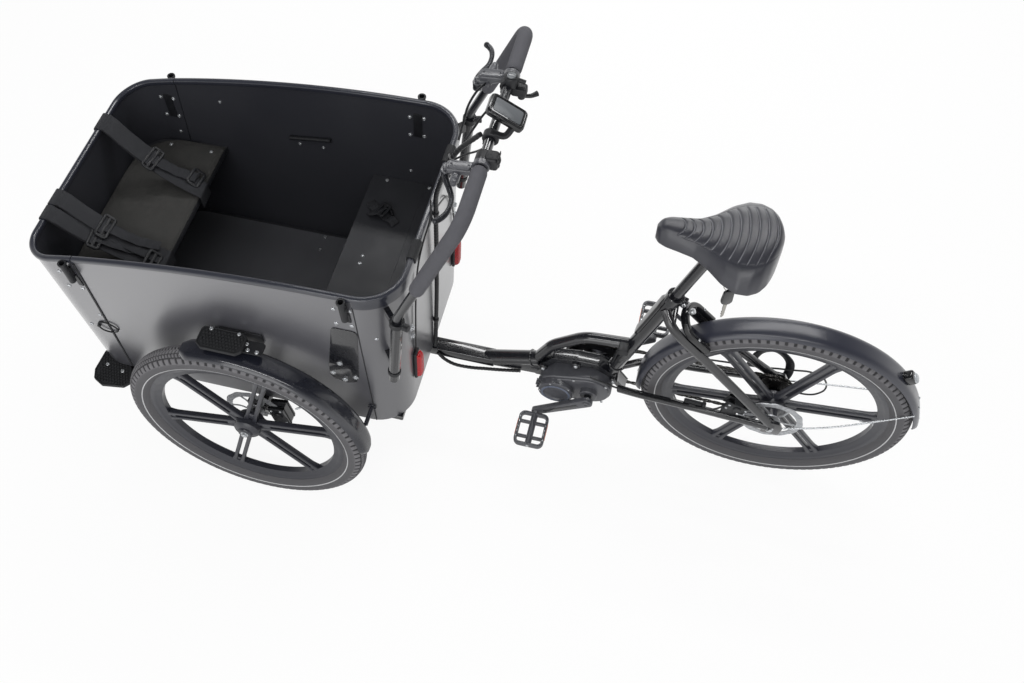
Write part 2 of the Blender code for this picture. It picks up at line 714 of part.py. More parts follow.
def cushion(name, x_front, x_rear, half, bottom, thickness, corner, rows=8, columns=14):
    """A thin pad: crowned in the middle, drawn in at its sides, with two shallow sewn channels."""
    rings = []
    for i in range(rows + 1):
        along = -math.cos(math.pi * i / rows)
        x = (x_front + x_rear) / 2 + (x_rear - x_front) / 2 * along
        inset = max(0.0, x_front + corner - x)
        width = half - corner + math.sqrt(max(corner ** 2 - inset ** 2, (0.25 * corner) ** 2))
        top = []
        for j in range(columns + 1):
            across = -math.cos(math.pi * j / columns)
            crown = (1 - 0.75 * abs(across) ** 6) * (1 - 0.65 * abs(along) ** 6)
            channel = math.exp(-((abs(across) - 0.34) / 0.05) ** 2) * 0.35
            top.append(Vector((x, width * across, bottom + thickness * (crown - channel) + 0.001)))
        low = [Vector((x, side * width * 0.985, bottom)) for side in (1, -1)]
        rings.append(top + low)
    return skin(name, rings)


finish(cushion("pad", front_inner + 0.004, FRONT_BENCH_REAR, board_half - 0.008, BENCH_TOP + CLEARANCE,
               FRONT_BENCH_PAD, BOX_CORNER), "front_bench_pad", BENCH_FABRIC, steering)

lid_pivot = empty("lid_pivot", (LID_HINGE_X, 0, BENCH_TOP), steering)
outline = rounded_outline(REAR_BENCH_FRONT, LID_HINGE_X, board_half, board_half, 0, 0)
finish(plate("rear_bench_lid", outline, BENCH_BOARD, BENCH_TOP - BENCH_BOARD / 2),
       "rear_bench_lid", BLACK_PLASTIC, lid_pivot)

finish(block("battery", BATTERY_SIZE, (-1.010, 0, floor_top + CLEARANCE + BATTERY_SIZE[2] / 2),
             bevel=0.008), "battery_pack", BLACK_PLASTIC, steering)


# Seat harness: webbing from the front wall's top edge to the rear edge of the front bench

def webbing(name, start_y, end_y, width):
    """A flat strap between the wall and the bench, sagging a little, over the pad's rear edge."""
    wall_top = 0.762
    start_x = blend(BOX_FLOOR_FRONT, BOX_TOP_FRONT, wall_top) + WALL / 2 + CLEARANCE + STRAP_THICKNESS
    pad_top = BENCH_TOP + CLEARANCE + 0.001 + FRONT_BENCH_PAD
    knots = [Vector((start_x, start_y, wall_top - 0.045)), Vector((start_x, start_y, wall_top - 0.012)),
             Vector((start_x + 0.012, start_y, wall_top - 0.004)),
             Vector((start_x + 0.070, start_y * 0.75 + end_y * 0.25, wall_top - 0.060)),
             Vector((FRONT_BENCH_REAR - 0.060, end_y * 0.8 + start_y * 0.2, pad_top + 0.030)),
             Vector((FRONT_BENCH_REAR - 0.004, end_y, pad_top + 0.0065)),
             Vector((FRONT_BENCH_REAR + 0.0045, end_y, pad_top - 0.001)),
             Vector((FRONT_BENCH_REAR + 0.0017, end_y, BENCH_TOP - 0.006)),
             Vector((FRONT_BENCH_REAR + 0.0017, end_y, BENCH_TOP - 0.030))]
    path = smooth_path(knots, 2)
    rings = []
    for i, point in enumerate(path):
        ahead = path[min(i + 1, len(path) - 1)] - path[max(i - 1, 0)]
        up = Vector((-ahead.z, 0, ahead.x)).normalized() * STRAP_THICKNESS / 2
        side = Vector((0, width / 2, 0))
        rings.append([point - side - up, point + side - up, point + side + up, point - side + up])
    return skin(name, rings)


finish(webbing("strap", 0.140, 0.095, STRAP_WIDTH), "harness_right", WEBBING, steering)
finish(webbing("strap", -0.130, -0.105, STRAP_WIDTH), "harness_left", WEBBING, steering)


# Sockets for the hood poles: a bolted plate and a short tube standing on the wall

def pole_socket(name, x, sign):
    """Plate against the wall, and an open tube standing along it."""
    top = rim_height(x)
    outer_top = blend(BOX_FLOOR_HALF, BOX_TOP_HALF, top) + WALL / 2
    plate_z = top - 0.036
    plate_y = blend(BOX_FLOOR_HALF, BOX_TOP_HALF, plate_z) + WALL / 2 + 0.0015 + CLEARANCE
    backing = block("backing", (0.036, 0.003, 0.046), (x, -plate_y, plate_z), (WALL_LEAN, 0, 0))
    tube_y = outer_top + TRIM_HALF_WIDTH + 0.0055
    sleeve = rod("sleeve", (x, -tube_y, top - 0.062), (x, -tube_y, top + 0.006), 0.008, 10)
    web = block("web", (0.008, tube_y - plate_y + 0.002, 0.034),
                (x, -(plate_y + tube_y) / 2, plate_z - 0.002))
    made = combine(backing, [web, sleeve])
    hole = rod("hole", (x, -tube_y, top - 0.050), (x, -tube_y, top + 0.02), 0.0062, 10)
    made = combine(made, [hole], "DIFFERENCE")
    if sign > 0:
        other = mirrored(made, name)
        bpy.data.objects.remove(made, do_unlink=True)
        made = other
    return made


for side, sign in (("left", -1), ("right", 1)):
    finish(pole_socket("socket", -0.980, sign), "pole_socket_rear_" + side, DARK_STEEL, steering)
    finish(pole_socket("socket", -1.642, sign), "pole_socket_front_" + side, DARK_STEEL, door_pivot)


# Push bar with its sockets and foam sleeves

def mirror_point(point):
    return (point[0], -point[1], point[2])


bar_foot = Vector(BAR_SOCKET_FOOT).lerp(Vector(BAR_SOCKET_TOP), 0.35)
bar_kink = Vector(BAR_SOCKET_FOOT).lerp(Vector(BAR_SOCKET_TOP), 1.05)
right_side = [Vector(BAR_CORNER), bar_kink, bar_foot]
left_side = [Vector(mirror_point(point)) for point in reversed(right_side)]
bar_path = filleted(left_side + right_side, BAR_BEND, 3)
finish(tube("bar", bar_path, BAR_RADIUS, 3), "handlebar", FRAME_PAINT, steering)

corner = Vector(BAR_CORNER)
upright_direction = (bar_kink - corner).normalized()
foam_start = corner + upright_direction * 0.240
foam_end = Vector((corner.x, GRIP_END_Y, corner.z))
foam_path = filleted([foam_start, corner, foam_end], BAR_BEND, 3)
foam = tube("foam", foam_path, FOAM_RADIUS, 4)
hollow_path = filleted([foam_start + upright_direction * 0.01, corner, foam_end - Vector((0, 0.01, 0))],
                       BAR_BEND, 3)
hollow = tube("hollow", hollow_path, FOAM_BORE, 3)
foam = combine(foam, [hollow], "DIFFERENCE")
finish(mirrored(foam, "foam_left"), "grip_left", GRIP_FOAM, steering)
finish(foam, "grip_right", GRIP_FOAM, steering)


def bar_socket():
    """The tube that the bar plugs into, on two brackets bolted to the box's rear corner."""
    foot = Vector(BAR_SOCKET_FOOT)
    head = Vector(BAR_SOCKET_TOP)
    made = rod("socket", foot, head, 0.013, 14)
    collar = rod("collar", head + (foot - head) * 0.06, head, 0.0155, 14)
    brackets = []
    for share in (0.10, 0.80):
        point = head + (foot - head) * share
        height = point.z + BRACKET_HEIGHT / 2
        corner_centre = Vector((blend(BOX_FLOOR_REAR, BOX_TOP_REAR, height) - BOX_CORNER,
                                blend(BOX_FLOOR_HALF, BOX_TOP_HALF, height) - BOX_CORNER, point.z))
        inward = corner_centre - point
        length = inward.length - BOX_CORNER - WALL / 2 - CLEARANCE
        inward.normalize()
        angle = math.atan2(inward.y, inward.x)
        brackets.append(block("bracket", (length, 0.012, BRACKET_HEIGHT), point + inward * length / 2,
                              (0, 0, angle)))
    made = combine(made, [collar] + brackets)
    axis = (head - foot).normalized()
    cutter = rod("cutter", foot + axis * 0.02, head + axis * 0.02, SOCKET_BORE, 14)
    return combine(made, [cutter], "DIFFERENCE")


socket = bar_socket()
finish(mirrored(socket, "socket_left"), "bar_socket_left", FRAME_PAINT, steering)
finish(socket, "bar_socket_right", FRAME_PAINT, steering)


# Controls on the bar

bar_x = BAR_CORNER[0]
bar_z = BAR_CORNER[2]


def clamp_hole(made, y, width):
    """Opens a round hole for the bar through a clamp."""
    reach = width / 2 + 0.03
    cutter = rod("cutter", (bar_x, y - reach, bar_z), (bar_x, y + reach, bar_z),
                 SOCKET_BORE, 12)
    return combine(made, [cutter], "DIFFERENCE")


def brake_housing():
    """Clamp, fluid cylinder and lever mount in front of the bar, on the right side."""
    pivot = Vector(LEVER_PIVOT)
    clamp = rod("clamp", (bar_x, 0.111, bar_z), (bar_x, 0.126, bar_z), 0.0165, 14)
    arm = tube("arm", smooth_path([(bar_x - 0.008, 0.1185, bar_z - 0.006), (bar_x - 0.035, 0.1190, 1.166),
                                   (pivot.x + 0.014, 0.119, 1.158), (pivot.x, 0.119, 1.158)], 1), 0.0085, 2)
    cylinder = rod("cylinder", (bar_x - 0.047, 0.131, 1.159), (bar_x - 0.022, 0.131, 1.164), 0.009, 12)
    neck = rod("neck", (bar_x - 0.034, 0.118, 1.163), (bar_x - 0.034, 0.133, 1.161), 0.006, 12)
    pin = rod("pin", (pivot.x, pivot.y, 1.135), (pivot.x, pivot.y, 1.162), 0.004, 10)
    head = rod("head", (pivot.x, pivot.y, 1.1305), (pivot.x, pivot.y, 1.1360), 0.0065, 10)
    return clamp_hole(combine(arm, [clamp, neck, cylinder, pin, head]), 0.118, 0.02)


def brake_lever():
    """Two-finger blade on the pivot pin, curved in towards the bar and out at its tip."""
    pivot = Vector(LEVER_PIVOT)
    z = 1.1425
    blade = [(pivot.x, pivot.y, z), (-0.783, 0.142, z), (-0.769, 0.162, z), (-0.761, 0.182, z),
             (-0.759, 0.206, z), (-0.764, 0.224, z), (-0.776, 0.236, z)]
    path = smooth_path(blade, 2)
    widths = [1.2, 1.1, 1.0, 0.95, 0.9, 0.9, 0.9, 0.9, 0.9, 0.9, 0.95, 1.05, 1.15]
    made = tube("blade", path, 0.0050, 1, widths)
    eye = rod("eye", (pivot.x, pivot.y, z - 0.0055), (pivot.x, pivot.y, z + 0.0055), 0.009, 12)
    made = combine(made, [eye])
    cutter = rod("cutter", (pivot.x, pivot.y, z - 0.02), (pivot.x, pivot.y, z + 0.02), 0.0044, 10)
    return combine(made, [cutter], "DIFFERENCE")


housing = brake_housing()
lever = brake_lever()
lever_pivots = {}
for side, sign in (("left", -1), ("right", 1)):
    lever_pivots[side] = empty("lever_pivot_" + side, (LEVER_PIVOT[0], sign * LEVER_PIVOT[1], LEVER_PIVOT[2]),
                               steering)
finish(mirrored(housing, "housing_left"), "brake_housing_left", BLACK_PLASTIC, steering)
finish(mirrored(lever, "lever_left"), "brake_lever_left", DARK_STEEL, lever_pivots["left"])
finish(housing, "brake_housing_right", BLACK_PLASTIC, steering)
finish(lever, "brake_lever_right", DARK_STEEL, lever_pivots["right"])

SHIFTER_Y = 0.094
shifter = rod("clamp", (bar_x, SHIFTER_Y - 0.011, bar_z), (bar_x, SHIFTER_Y + 0.011, bar_z), 0.0165, 14)
dial = rod("dial", (bar_x + 0.006, SHIFTER_Y, bar_z + 0.004), (bar_x + 0.006, SHIFTER_Y, bar_z + 0.026),
           0.0137, 14)
pod = block("pod", (0.030, 0.0236, 0.0192), (bar_x + 0.0223, SHIFTER_Y, bar_z - 0.0084), bevel=0.003)
stub = rod("stub", (bar_x + 0.008, SHIFTER_Y + 0.003, bar_z + 0.0172),
           (bar_x + 0.034, SHIFTER_Y + 0.003, bar_z + 0.011), 0.0045, 10)
shifter = clamp_hole(combine(shifter, [dial, pod, stub]), SHIFTER_Y, 0.03)
finish(shifter, "gear_shifter", BLACK_PLASTIC, steering)

SHIFT_PIVOT = (bar_x + 0.026, SHIFTER_Y, bar_z - 0.0235)
shift_pivot = empty("shift_pivot", SHIFT_PIVOT, steering)
thumb = tube("thumb", smooth_path([SHIFT_PIVOT, (bar_x + 0.044, SHIFTER_Y + 0.004, bar_z - 0.0235),
                                   (bar_x + 0.056, SHIFTER_Y + 0.014, bar_z - 0.0235)], 1), 0.0045, 1)
thumb = combine(thumb, [rod("eye", (SHIFT_PIVOT[0], SHIFT_PIVOT[1], SHIFT_PIVOT[2] - 0.005),
                            (SHIFT_PIVOT[0], SHIFT_PIVOT[1], SHIFT_PIVOT[2] + 0.0050), 0.0075, 12)])
finish(thumb, "shift_lever", BLACK_PLASTIC, shift_pivot)

PAD_Y = -0.090
pad_body = rod("clamp", (bar_x, PAD_Y - 0.016, bar_z), (bar_x, PAD_Y + 0.016, bar_z), 0.0165, 14)
pad_face = block("face", (0.026, 0.030, 0.030), (bar_x + 0.018, PAD_Y, bar_z + 0.002), bevel=0.004)
pad_body = clamp_hole(combine(pad_body, [pad_face]), PAD_Y, 0.04)
BUTTON_X = bar_x + 0.031
BUTTON_Z = bar_z + 0.004
recess = rod("recess", (BUTTON_X - 0.004, PAD_Y, BUTTON_Z), (BUTTON_X + 0.01, PAD_Y, BUTTON_Z), 0.0063, 16)
pad_body = combine(pad_body, [recess], "DIFFERENCE")
finish(pad_body, "control_pad", BLACK_PLASTIC, steering)
button_pivot = empty("button_slide", (BUTTON_X, PAD_Y, BUTTON_Z), steering)
button = rod("button", (BUTTON_X - 0.0022, PAD_Y, BUTTON_Z), (BUTTON_X + 0.0022, PAD_Y, BUTTON_Z), 0.0060, 16)
finish(button, "mode_button", BLACK_PLASTIC, button_pivot)

# Display on its own clamp, tilted towards the rider
DISPLAY_TILT = math.radians(30)
DISPLAY_Y = -0.012
case = block("case", (0.084, 0.052, 0.015), (bar_x + 0.022, DISPLAY_Y, bar_z + 0.0335),
             (0, DISPLAY_TILT, 0), 0.004)
arm_path = [(bar_x + 0.004, -0.047, bar_z + 0.012), (bar_x + 0.030, -0.046, bar_z + 0.006),
            (bar_x + 0.040, -0.030, bar_z + 0.014)]
arm = tube("arm", smooth_path(arm_path, 2), 0.006, 1)
clamp = rod("clamp", (bar_x, -0.056, bar_z), (bar_x, -0.038, bar_z), 0.0165, 14)
finish(clamp_hole(combine(case, [arm, clamp]), -0.047, 0.02), "display", BLACK_PLASTIC, steering)


# Tail lamps on the box's rear wall

def tail_lamp(sign):
    height = 0.115
    z = 0.470
    back = blend(BOX_FLOOR_REAR, BOX_TOP_REAR, z) + WALL / 2
    lean = math.atan((BOX_TOP_REAR - BOX_FLOOR_REAR) / (RIM_HIGHEST - WALL_BOTTOM))
    offset = 0.0105 + CLEARANCE
    return block("lamp", (0.021, 0.026, height), (back + offset + 0.0002, sign * 0.176, z),
                 (0, lean, 0), 0.005)


for side, sign in (("left", -1), ("right", 1)):
    finish(tail_lamp(sign), "tail_lamp_" + side, RED_LENS, steering)


# Fenders: an arched section carried along an arc about the wheel's centre

def fender(name, radius, start, end, steps, place):
    """Angles run from the rear of the wheel over its top; place puts the arc on its wheel."""
    section = []
    half = ((0.45, CROWN_DROP), (0.86, 0.005), (1.0, 0.012))
    drops = [(-share, drop) for share, drop in reversed(half)] + list(half)
    for share, drop in drops:
        section.append((share * FENDER_HALF_WIDTH, -drop))
    for share, drop in reversed(drops):
        section.append((share * (FENDER_HALF_WIDTH - FENDER_THICKNESS * 0.8), -drop - FENDER_THICKNESS))
    rings = []
    for i in range(steps + 1):
        angle = start + (end - start) * i / steps
        outward = Vector((math.cos(angle), 0, math.sin(angle)))
        rings.append([outward * (radius + up) + Vector((0, y, 0)) for y, up in section])
    made = skin(name, rings)
    made.data.transform(place)
    return made


for side, sign in (("left", -1), ("right", 1)):
    place = Matrix.Translation(front_axles[side].location) @ Matrix.Rotation(sign * CAMBER, 4, "X")
    guard = fender("guard", FRONT_FENDER_RADIUS, FRONT_FENDER_START, FRONT_FENDER_END, FRONT_FENDER_STEPS,
                   place)
    struts = []
    for angle in (math.radians(14), math.radians(96)):
        reach = FRONT_FENDER_RADIUS - 0.004
        inner = place @ Vector((reach * math.cos(angle), -sign * 0.026, reach * math.sin(angle)))
        wall_y = sign * (blend(BOX_FLOOR_HALF, BOX_TOP_HALF, inner.z) + WALL / 2 + CLEARANCE)
        struts.append(rod("strut", inner, (inner.x, wall_y, inner.z), 0.006, 8))
    finish(combine(guard, struts), "front_fender_" + side, FENDER_PAINT, steering)


# Foot plates over the front fenders and at the front corners

def fender_step(sign):
    """Ribbed plate above the fender, bolted to the wall. Its outline is measured from the wall."""
    top = FRONT_HUB_Z + FRONT_FENDER_RADIUS + FENDER_STEP_LIFT
    wall_y = blend(BOX_FLOOR_HALF, BOX_TOP_HALF, top) + WALL / 2 + CLEARANCE
    outline = [(-0.053, 0.0105), (0.042, 0.0105), (0.055, 0.020), (0.055, 0.058), (0.042, 0.069),
               (-0.042, 0.069), (-0.058, 0.057), (-0.058, 0.020)]
    made = plate("tread", [(x - WHEELBASE, sign * (wall_y + out)) for x, out in outline],
                 STEP_THICKNESS, top - STEP_THICKNESS / 2)
    arm_z = top - STEP_THICKNESS - 0.002
    arm_y = blend(BOX_FLOOR_HALF, BOX_TOP_HALF, arm_z) + WALL / 2 + CLEARANCE
    arm = block("arm", (0.070, 0.034, 0.006), (FENDER_STEP_ARM_X, sign * (arm_y + 0.0172), arm_z))
    flange = block("flange", (0.070, 0.004, 0.036),
                   (FENDER_STEP_FLANGE_X, sign * (arm_y + 0.0022), arm_z - 0.0135), (-sign * WALL_LEAN, 0, 0))
    return combine(made, [arm, flange])


def front_step(sign):
    """Plate that stands out below the box's front corner, on an arm from the frame. Its outline is
    measured from the front wall's foot and the side wall's foot."""
    outline = [(0.005, -0.026), (0.022, -0.041), (0.046, -0.046), (0.096, 0.005), (0.112, 0.049),
               (0.098, 0.065), (0.040, 0.073), (0.012, 0.059), (0.002, 0.033)]
    made = plate("tread", [(BOX_FLOOR_FRONT + x, sign * (BOX_FLOOR_HALF + out)) for x, out in outline],
                 STEP_THICKNESS, FRONT_STEP_TOP - STEP_THICKNESS / 2)
    arm_top = frame_bottom - CLEARANCE
    arm_start = RAIL_Y - 0.025
    arm_end = BOX_FLOOR_HALF + 0.016
    arm = block("arm", (0.040, arm_end - arm_start, 0.006),
                (BOX_FLOOR_FRONT + 0.102, sign * (arm_start + arm_end) / 2, arm_top - 0.003))
    post = block("post", (0.030, 0.020, 0.014),
                 (BOX_FLOOR_FRONT + 0.097, sign * (BOX_FLOOR_HALF + 0.005), arm_top + 0.001))
    return combine(made, [post, arm])


for side, sign in (("left", -1), ("right", 1)):
    finish(fender_step(sign), "fender_step_" + side, BLACK_PLASTIC, steering)
    finish(front_step(sign), "front_step_" + side, BLACK_PLASTIC, steering)


# Rear frame

seat_foot = Vector((SEAT_TUBE_FOOT[0], 0, SEAT_TUBE_FOOT[1]))
seat_head = Vector((SEAT_TUBE_HEAD[0], 0, SEAT_TUBE_HEAD[1]))
seat_axis = (seat_head - seat_foot).normalized()


def flat_stay(name, points, tall):
    """A stay squeezed to an upright oval, through points on the right side."""
    path = filleted(points, 0.06, 1)
    rings = []
    for i, point in enumerate(path):
        ahead = (path[min(i + 1, len(path) - 1)] - path[max(i - 1, 0)]).normalized()
        side = Vector((0, 1, 0))
        up = ahead.cross(side).normalized()
        side = up.cross(ahead).normalized()
        rings.append([point + side * STAY_HALF * math.cos(a) + up * tall * math.sin(a)
                      for a in (k * math.pi / 4 for k in range(8))])
    return skin(name, rings)


STAY_LINE_FOOT = Vector((0, 0, REAR_HUB_Z + 0.0085))
FENDER_BRIDGE = REAR_FENDER_RADIUS + 0.073
stay_down = (STAY_LINE_FOOT - Vector((-0.285, 0, SEAT_STAY_BEND_Z))).normalized()
stay_out = Vector((-stay_down.z, 0, stay_down.x))


def main_frame():
    """Beam, round tube, arch over the motor, motor cradle, seat tube, stays, dropouts and axle."""
    beam_front = PIVOT_X - 0.036
    beam = block("beam", (-0.735 - beam_front, BEAM_WIDTH, BEAM_HEIGHT),
                 ((beam_front - 0.735) / 2, 0, BEAM_TOP - BEAM_HEIGHT / 2), bevel=0.004)
    top_tube = rod("top_tube", (-0.765, 0, 0.2575), (-0.612, 0, 0.3119), ROUND_TUBE, 16)
    gusset_outline = [(-0.745, 0.250), (-0.615, 0.256), (-0.600, 0.300), (-0.640, 0.300), (-0.745, 0.270)]
    gusset = plate("gusset", gusset_outline, 0.036, upright=True)
    arch_line = filleted([(-0.630, 0, 0.292), (-0.580, 0, 0.392), (-0.498, 0, 0.463), (-0.380, 0, 0.474)],
                         0.09, 3)
    arch = tube("arch", arch_line, ARCH_TUBE, 3)
    seat_tube = rod("seat_tube", seat_foot, seat_head, SEAT_TUBE, 16)
    collar = rod("collar", seat_head - seat_axis * 0.022, seat_head + seat_axis * 0.003, 0.0215, 16)
    collar_bolt = block("collar_bolt", (0.018, 0.020, 0.014),
                        seat_head - seat_axis * 0.010 + Vector((0.024, 0, -0.006)), (0, 0.29, 0))
    cradle_outline = [(-0.6185, 0.256), (-0.6185, 0.287), (-0.576, 0.348), (-0.510, 0.362), (-0.455, 0.362),
                      (-0.419, 0.334), (-0.3723, 0.262), (-0.3845, 0.262), (-0.4295, 0.326), (-0.462, 0.3485),
                      (-0.510, 0.3485), (-0.569, 0.335), (-0.6053, 0.283), (-0.6053, 0.256)]
    cradle = plate("cradle", cradle_outline, CRADLE_WIDTH, CRADLE_Y, upright=True)
    pieces = [gusset, top_tube, arch, cradle, seat_tube, collar, collar_bolt]
    stay_middle_z = (SEAT_STAY_BEND_Z * 1.8 + STAY_LINE_FOOT.z) / 2.8 - 0.006
    for sign in (-1, 1):
        low = flat_stay("chain_stay", [(-0.392, sign * 0.036, 0.300), (-0.320, sign * 0.0530, 0.322),
                                       (-0.180, sign * 0.0600, REAR_HUB_Z - 0.0035),
                                       (0.004, sign * DROPOUT_Y, REAR_HUB_Z)], 0.012)
        high = flat_stay("seat_stay", [(-0.322, sign * 0.012, 0.672),
                                       (-0.285, sign * 0.0440, SEAT_STAY_BEND_Z),
                                       (-0.180, sign * 0.0490, stay_middle_z),
                                       (0.004, sign * DROPOUT_Y, STAY_LINE_FOOT.z)], SEAT_STAY_TALL)
        dropout = block("dropout", (0.040, 0.010, 0.052), (0.004, sign * DROPOUT_Y, REAR_HUB_Z + 0.0015))
        cap = rod("cap", (0, sign * (DROPOUT_Y + 0.003), REAR_HUB_Z),
                  (0, sign * (DROPOUT_Y + 0.012), REAR_HUB_Z), 0.010, 6)
        pieces += [low, high, dropout, cap]
    axle = rod("axle", (0, -DROPOUT_Y, REAR_HUB_Z), (0, DROPOUT_Y, REAR_HUB_Z), AXLE_RADIUS, 12)
    caliper = block("caliper", (0.062, 0.030, 0.034), (-0.094, -0.0475, REAR_HUB_Z + 0.0425),
                    (0, 0.35, 0))
    slot = block("slot", (0.090, ROTOR_THICKNESS + 0.003, 0.050),
                 (-0.080, -ROTOR_OFFSET, REAR_HUB_Z + 0.0305), (0, 0.35, 0))
    caliper = combine(caliper, [slot], "DIFFERENCE")
    mount = block("mount", (0.040, 0.012, 0.030), (-0.108, -0.0590, REAR_HUB_Z + 0.0205))
    bridge_at = STAY_LINE_FOOT - stay_down * FENDER_BRIDGE
    bridge = rod("bridge", bridge_at - Vector((0, 0.045, 0)), bridge_at + Vector((0, 0.045, 0)), 0.006, 8)
    made = combine(beam, pieces + [axle, caliper, mount, bridge])
    pin_hole = rod("pin_hole", (PIVOT_X, 0, 0.2), (PIVOT_X, 0, 0.4), KING_PIN_RADIUS + CLEARANCE, 16)
    post_hole = rod("post_hole", seat_foot + seat_axis * 0.10, seat_head + seat_axis * 0.05,
                    SEAT_POST_RADIUS + CLEARANCE, 16)
    return combine(made, [pin_hole, post_hole], "DIFFERENCE")


finish(main_frame(), "main_frame", FRAME_PAINT, ground)


# Motor: a rounded body below the cradle with a round cover on its left side

def hull_outline(first, first_radius, second, second_radius, steps=7):
    """The belt round two circles in the (x, z) plane, anticlockwise."""
    gap = math.dist(first, second)
    base = math.atan2(second[1] - first[1], second[0] - first[0])
    tilt = math.acos((first_radius - second_radius) / gap)
    far = circle(second_radius, steps, second, base - tilt, base + tilt, closed=False)
    near = circle(first_radius, steps, first, base + tilt, base + 2 * math.pi - tilt, closed=False)
    return far + near


COVER = (-0.553, 0.262)
outline = hull_outline(CRANK_AXIS, 0.058, COVER, 0.052)
motor_middle = (MOTOR_LEFT + MOTOR_RIGHT) / 2
motor_width = MOTOR_RIGHT - MOTOR_LEFT
motor = plate("motor", outline, motor_width - 0.010, motor_middle, upright=True)
inner = hull_outline(CRANK_AXIS, 0.053, COVER, 0.047)
motor = combine(motor, [plate("step", inner, motor_width, motor_middle, upright=True)])
cover = rod("cover", (COVER[0], MOTOR_LEFT + 0.004, COVER[1]), (COVER[0], -0.068, COVER[1]), 0.0476, 24)
ring = rod("ring", (COVER[0], -0.066, COVER[1]), (COVER[0], -0.0705, COVER[1]), 0.0405, 20)
boss = rod("boss", (CRANK_AXIS[0], -0.066, CRANK_AXIS[1]), (CRANK_AXIS[0], 0.0450, CRANK_AXIS[1]), 0.023, 14)
motor = combine(motor, [cover, ring, boss])
spindle_hole = rod("spindle_hole", (CRANK_AXIS[0], -0.1, CRANK_AXIS[1]), (CRANK_AXIS[0], 0.1, CRANK_AXIS[1]),
                   0.0095 + CLEARANCE, 12)
tube_cut = rod("tube_cut", seat_foot - seat_axis * 0.0003, seat_head, SEAT_TUBE + CLEARANCE, 16)
motor = combine(motor, [spindle_hole, tube_cut], "DIFFERENCE")
finish(motor, "drive_motor", RIM_ALLOY, ground)


# Cranks, chainring and pedals

def crank_arm(sign, spindle_to):
    """Tapered arm; the pedal's axle stands on its end, the spindle on the other."""
    angle = CRANK_ANGLE if sign < 0 else CRANK_ANGLE - math.pi
    end = (CRANK_AXIS[0] + CRANK_LENGTH * math.cos(angle), CRANK_AXIS[1] + CRANK_LENGTH * math.sin(angle))
    outline = hull_outline(CRANK_AXIS, 0.0165, end, 0.0125, 6)
    made = plate("arm", outline, CRANK_THICKNESS, sign * CRANK_Y, upright=True)
    pin = rod("pin", (end[0], sign * CRANK_Y, end[1]), (end[0], sign * (CRANK_Y + 0.112), end[1]), 0.0048, 12)
    made = combine(made, [pin])
    if spindle_to:
        spindle = rod("spindle", (CRANK_AXIS[0], sign * CRANK_Y, CRANK_AXIS[1]),
                      (CRANK_AXIS[0], spindle_to, CRANK_AXIS[1]), 0.0095, 12)
        made = combine(made, [spindle])
    return made, end


left_arm, left_end = crank_arm(-1, None)
spindle_room = rod("room", (CRANK_AXIS[0], -CRANK_Y - 0.0035, CRANK_AXIS[1]),
                   (CRANK_AXIS[0], 0, CRANK_AXIS[1]),
                   0.0095 + CLEARANCE, 12)
left_arm = combine(left_arm, [spindle_room], "DIFFERENCE")
finish(left_arm, "crank_left", DARK_STEEL, crank_axle)

right_arm, right_end = crank_arm(1, -CRANK_Y - 0.003)
chainring = turned("chainring", [(CHAINRING_RADIUS, 0.0020), (0.020, 0.0020), (0.020, -0.0020),
                                 (CHAINRING_RADIUS, -0.0020)], 24)
chainring.data.transform(Matrix.Translation((CRANK_AXIS[0], CHAIN_LINE, CRANK_AXIS[1])))
spider = rod("spider", (CRANK_AXIS[0], CHAIN_LINE, CRANK_AXIS[1]), (CRANK_AXIS[0], CRANK_Y, CRANK_AXIS[1]),
             0.026, 12)
spider = combine(spider, [chainring])
guard_disc = turned("guard_disc", [(CHAINRING_RADIUS + 0.011, 0.0014), (0.022, 0.0014), (0.022, -0.0014),
                                   (CHAINRING_RADIUS + 0.011, -0.0014)], 24)
guard_disc.data.transform(Matrix.Translation((CRANK_AXIS[0], CHAIN_LINE + 0.0085, CRANK_AXIS[1])))
spider = combine(spider, [guard_disc])
right_arm = combine(right_arm, [spider])
finish(right_arm, "crank_right", DARK_STEEL, crank_axle)


def pedal(sign, end):
    """Cage pedal: a frame round two windows, with the bore for its axle in the middle bar."""
    inner = CRANK_Y + CRANK_THICKNESS / 2 + 0.0035
    centre = (end[0], sign * (inner + PEDAL_LENGTH / 2), end[1])
    made = block("cage", (PEDAL_WIDTH, PEDAL_LENGTH, PEDAL_THICKNESS), centre)
    corner_cuts = []
    for dx in (-1, 1):
        for dy in (-1, 1):
            at = (centre[0] + dx * (PEDAL_WIDTH / 2 + 0.004), centre[1] + dy * (PEDAL_LENGTH / 2 + 0.004),
                  centre[2])
            corner_cuts.append(block("corner", (0.030, 0.030, 0.05), at, (0, 0, math.pi / 4)))
        at = (centre[0] + dx * 0.021, centre[1], centre[2])
        corner_cuts.append(block("window", (0.020, 0.078, 0.05), at))
    corner_cuts.append(rod("bore", (end[0], 0, end[1]), (end[0], sign * (CRANK_Y + 0.1125), end[1]),
                           0.0048 + CLEARANCE, 12))
    return combine(made, corner_cuts, "DIFFERENCE")


for side, sign, end in (("left", -1, left_end), ("right", 1, right_end)):
    marker = empty("pedal_axle_" + side, (end[0], sign * CRANK_Y, end[1]), crank_axle)
    finish(pedal(sign, end), "pedal_" + side, BLACK_PLASTIC, marker)


# Chain and derailleur

GUIDE_PULLEY = (0.020, REAR_HUB_Z - 0.0715)
TENSION_PULLEY = (-0.004, REAR_HUB_Z - 0.1335)
HANGER_Z = REAR_HUB_Z - 0.0315


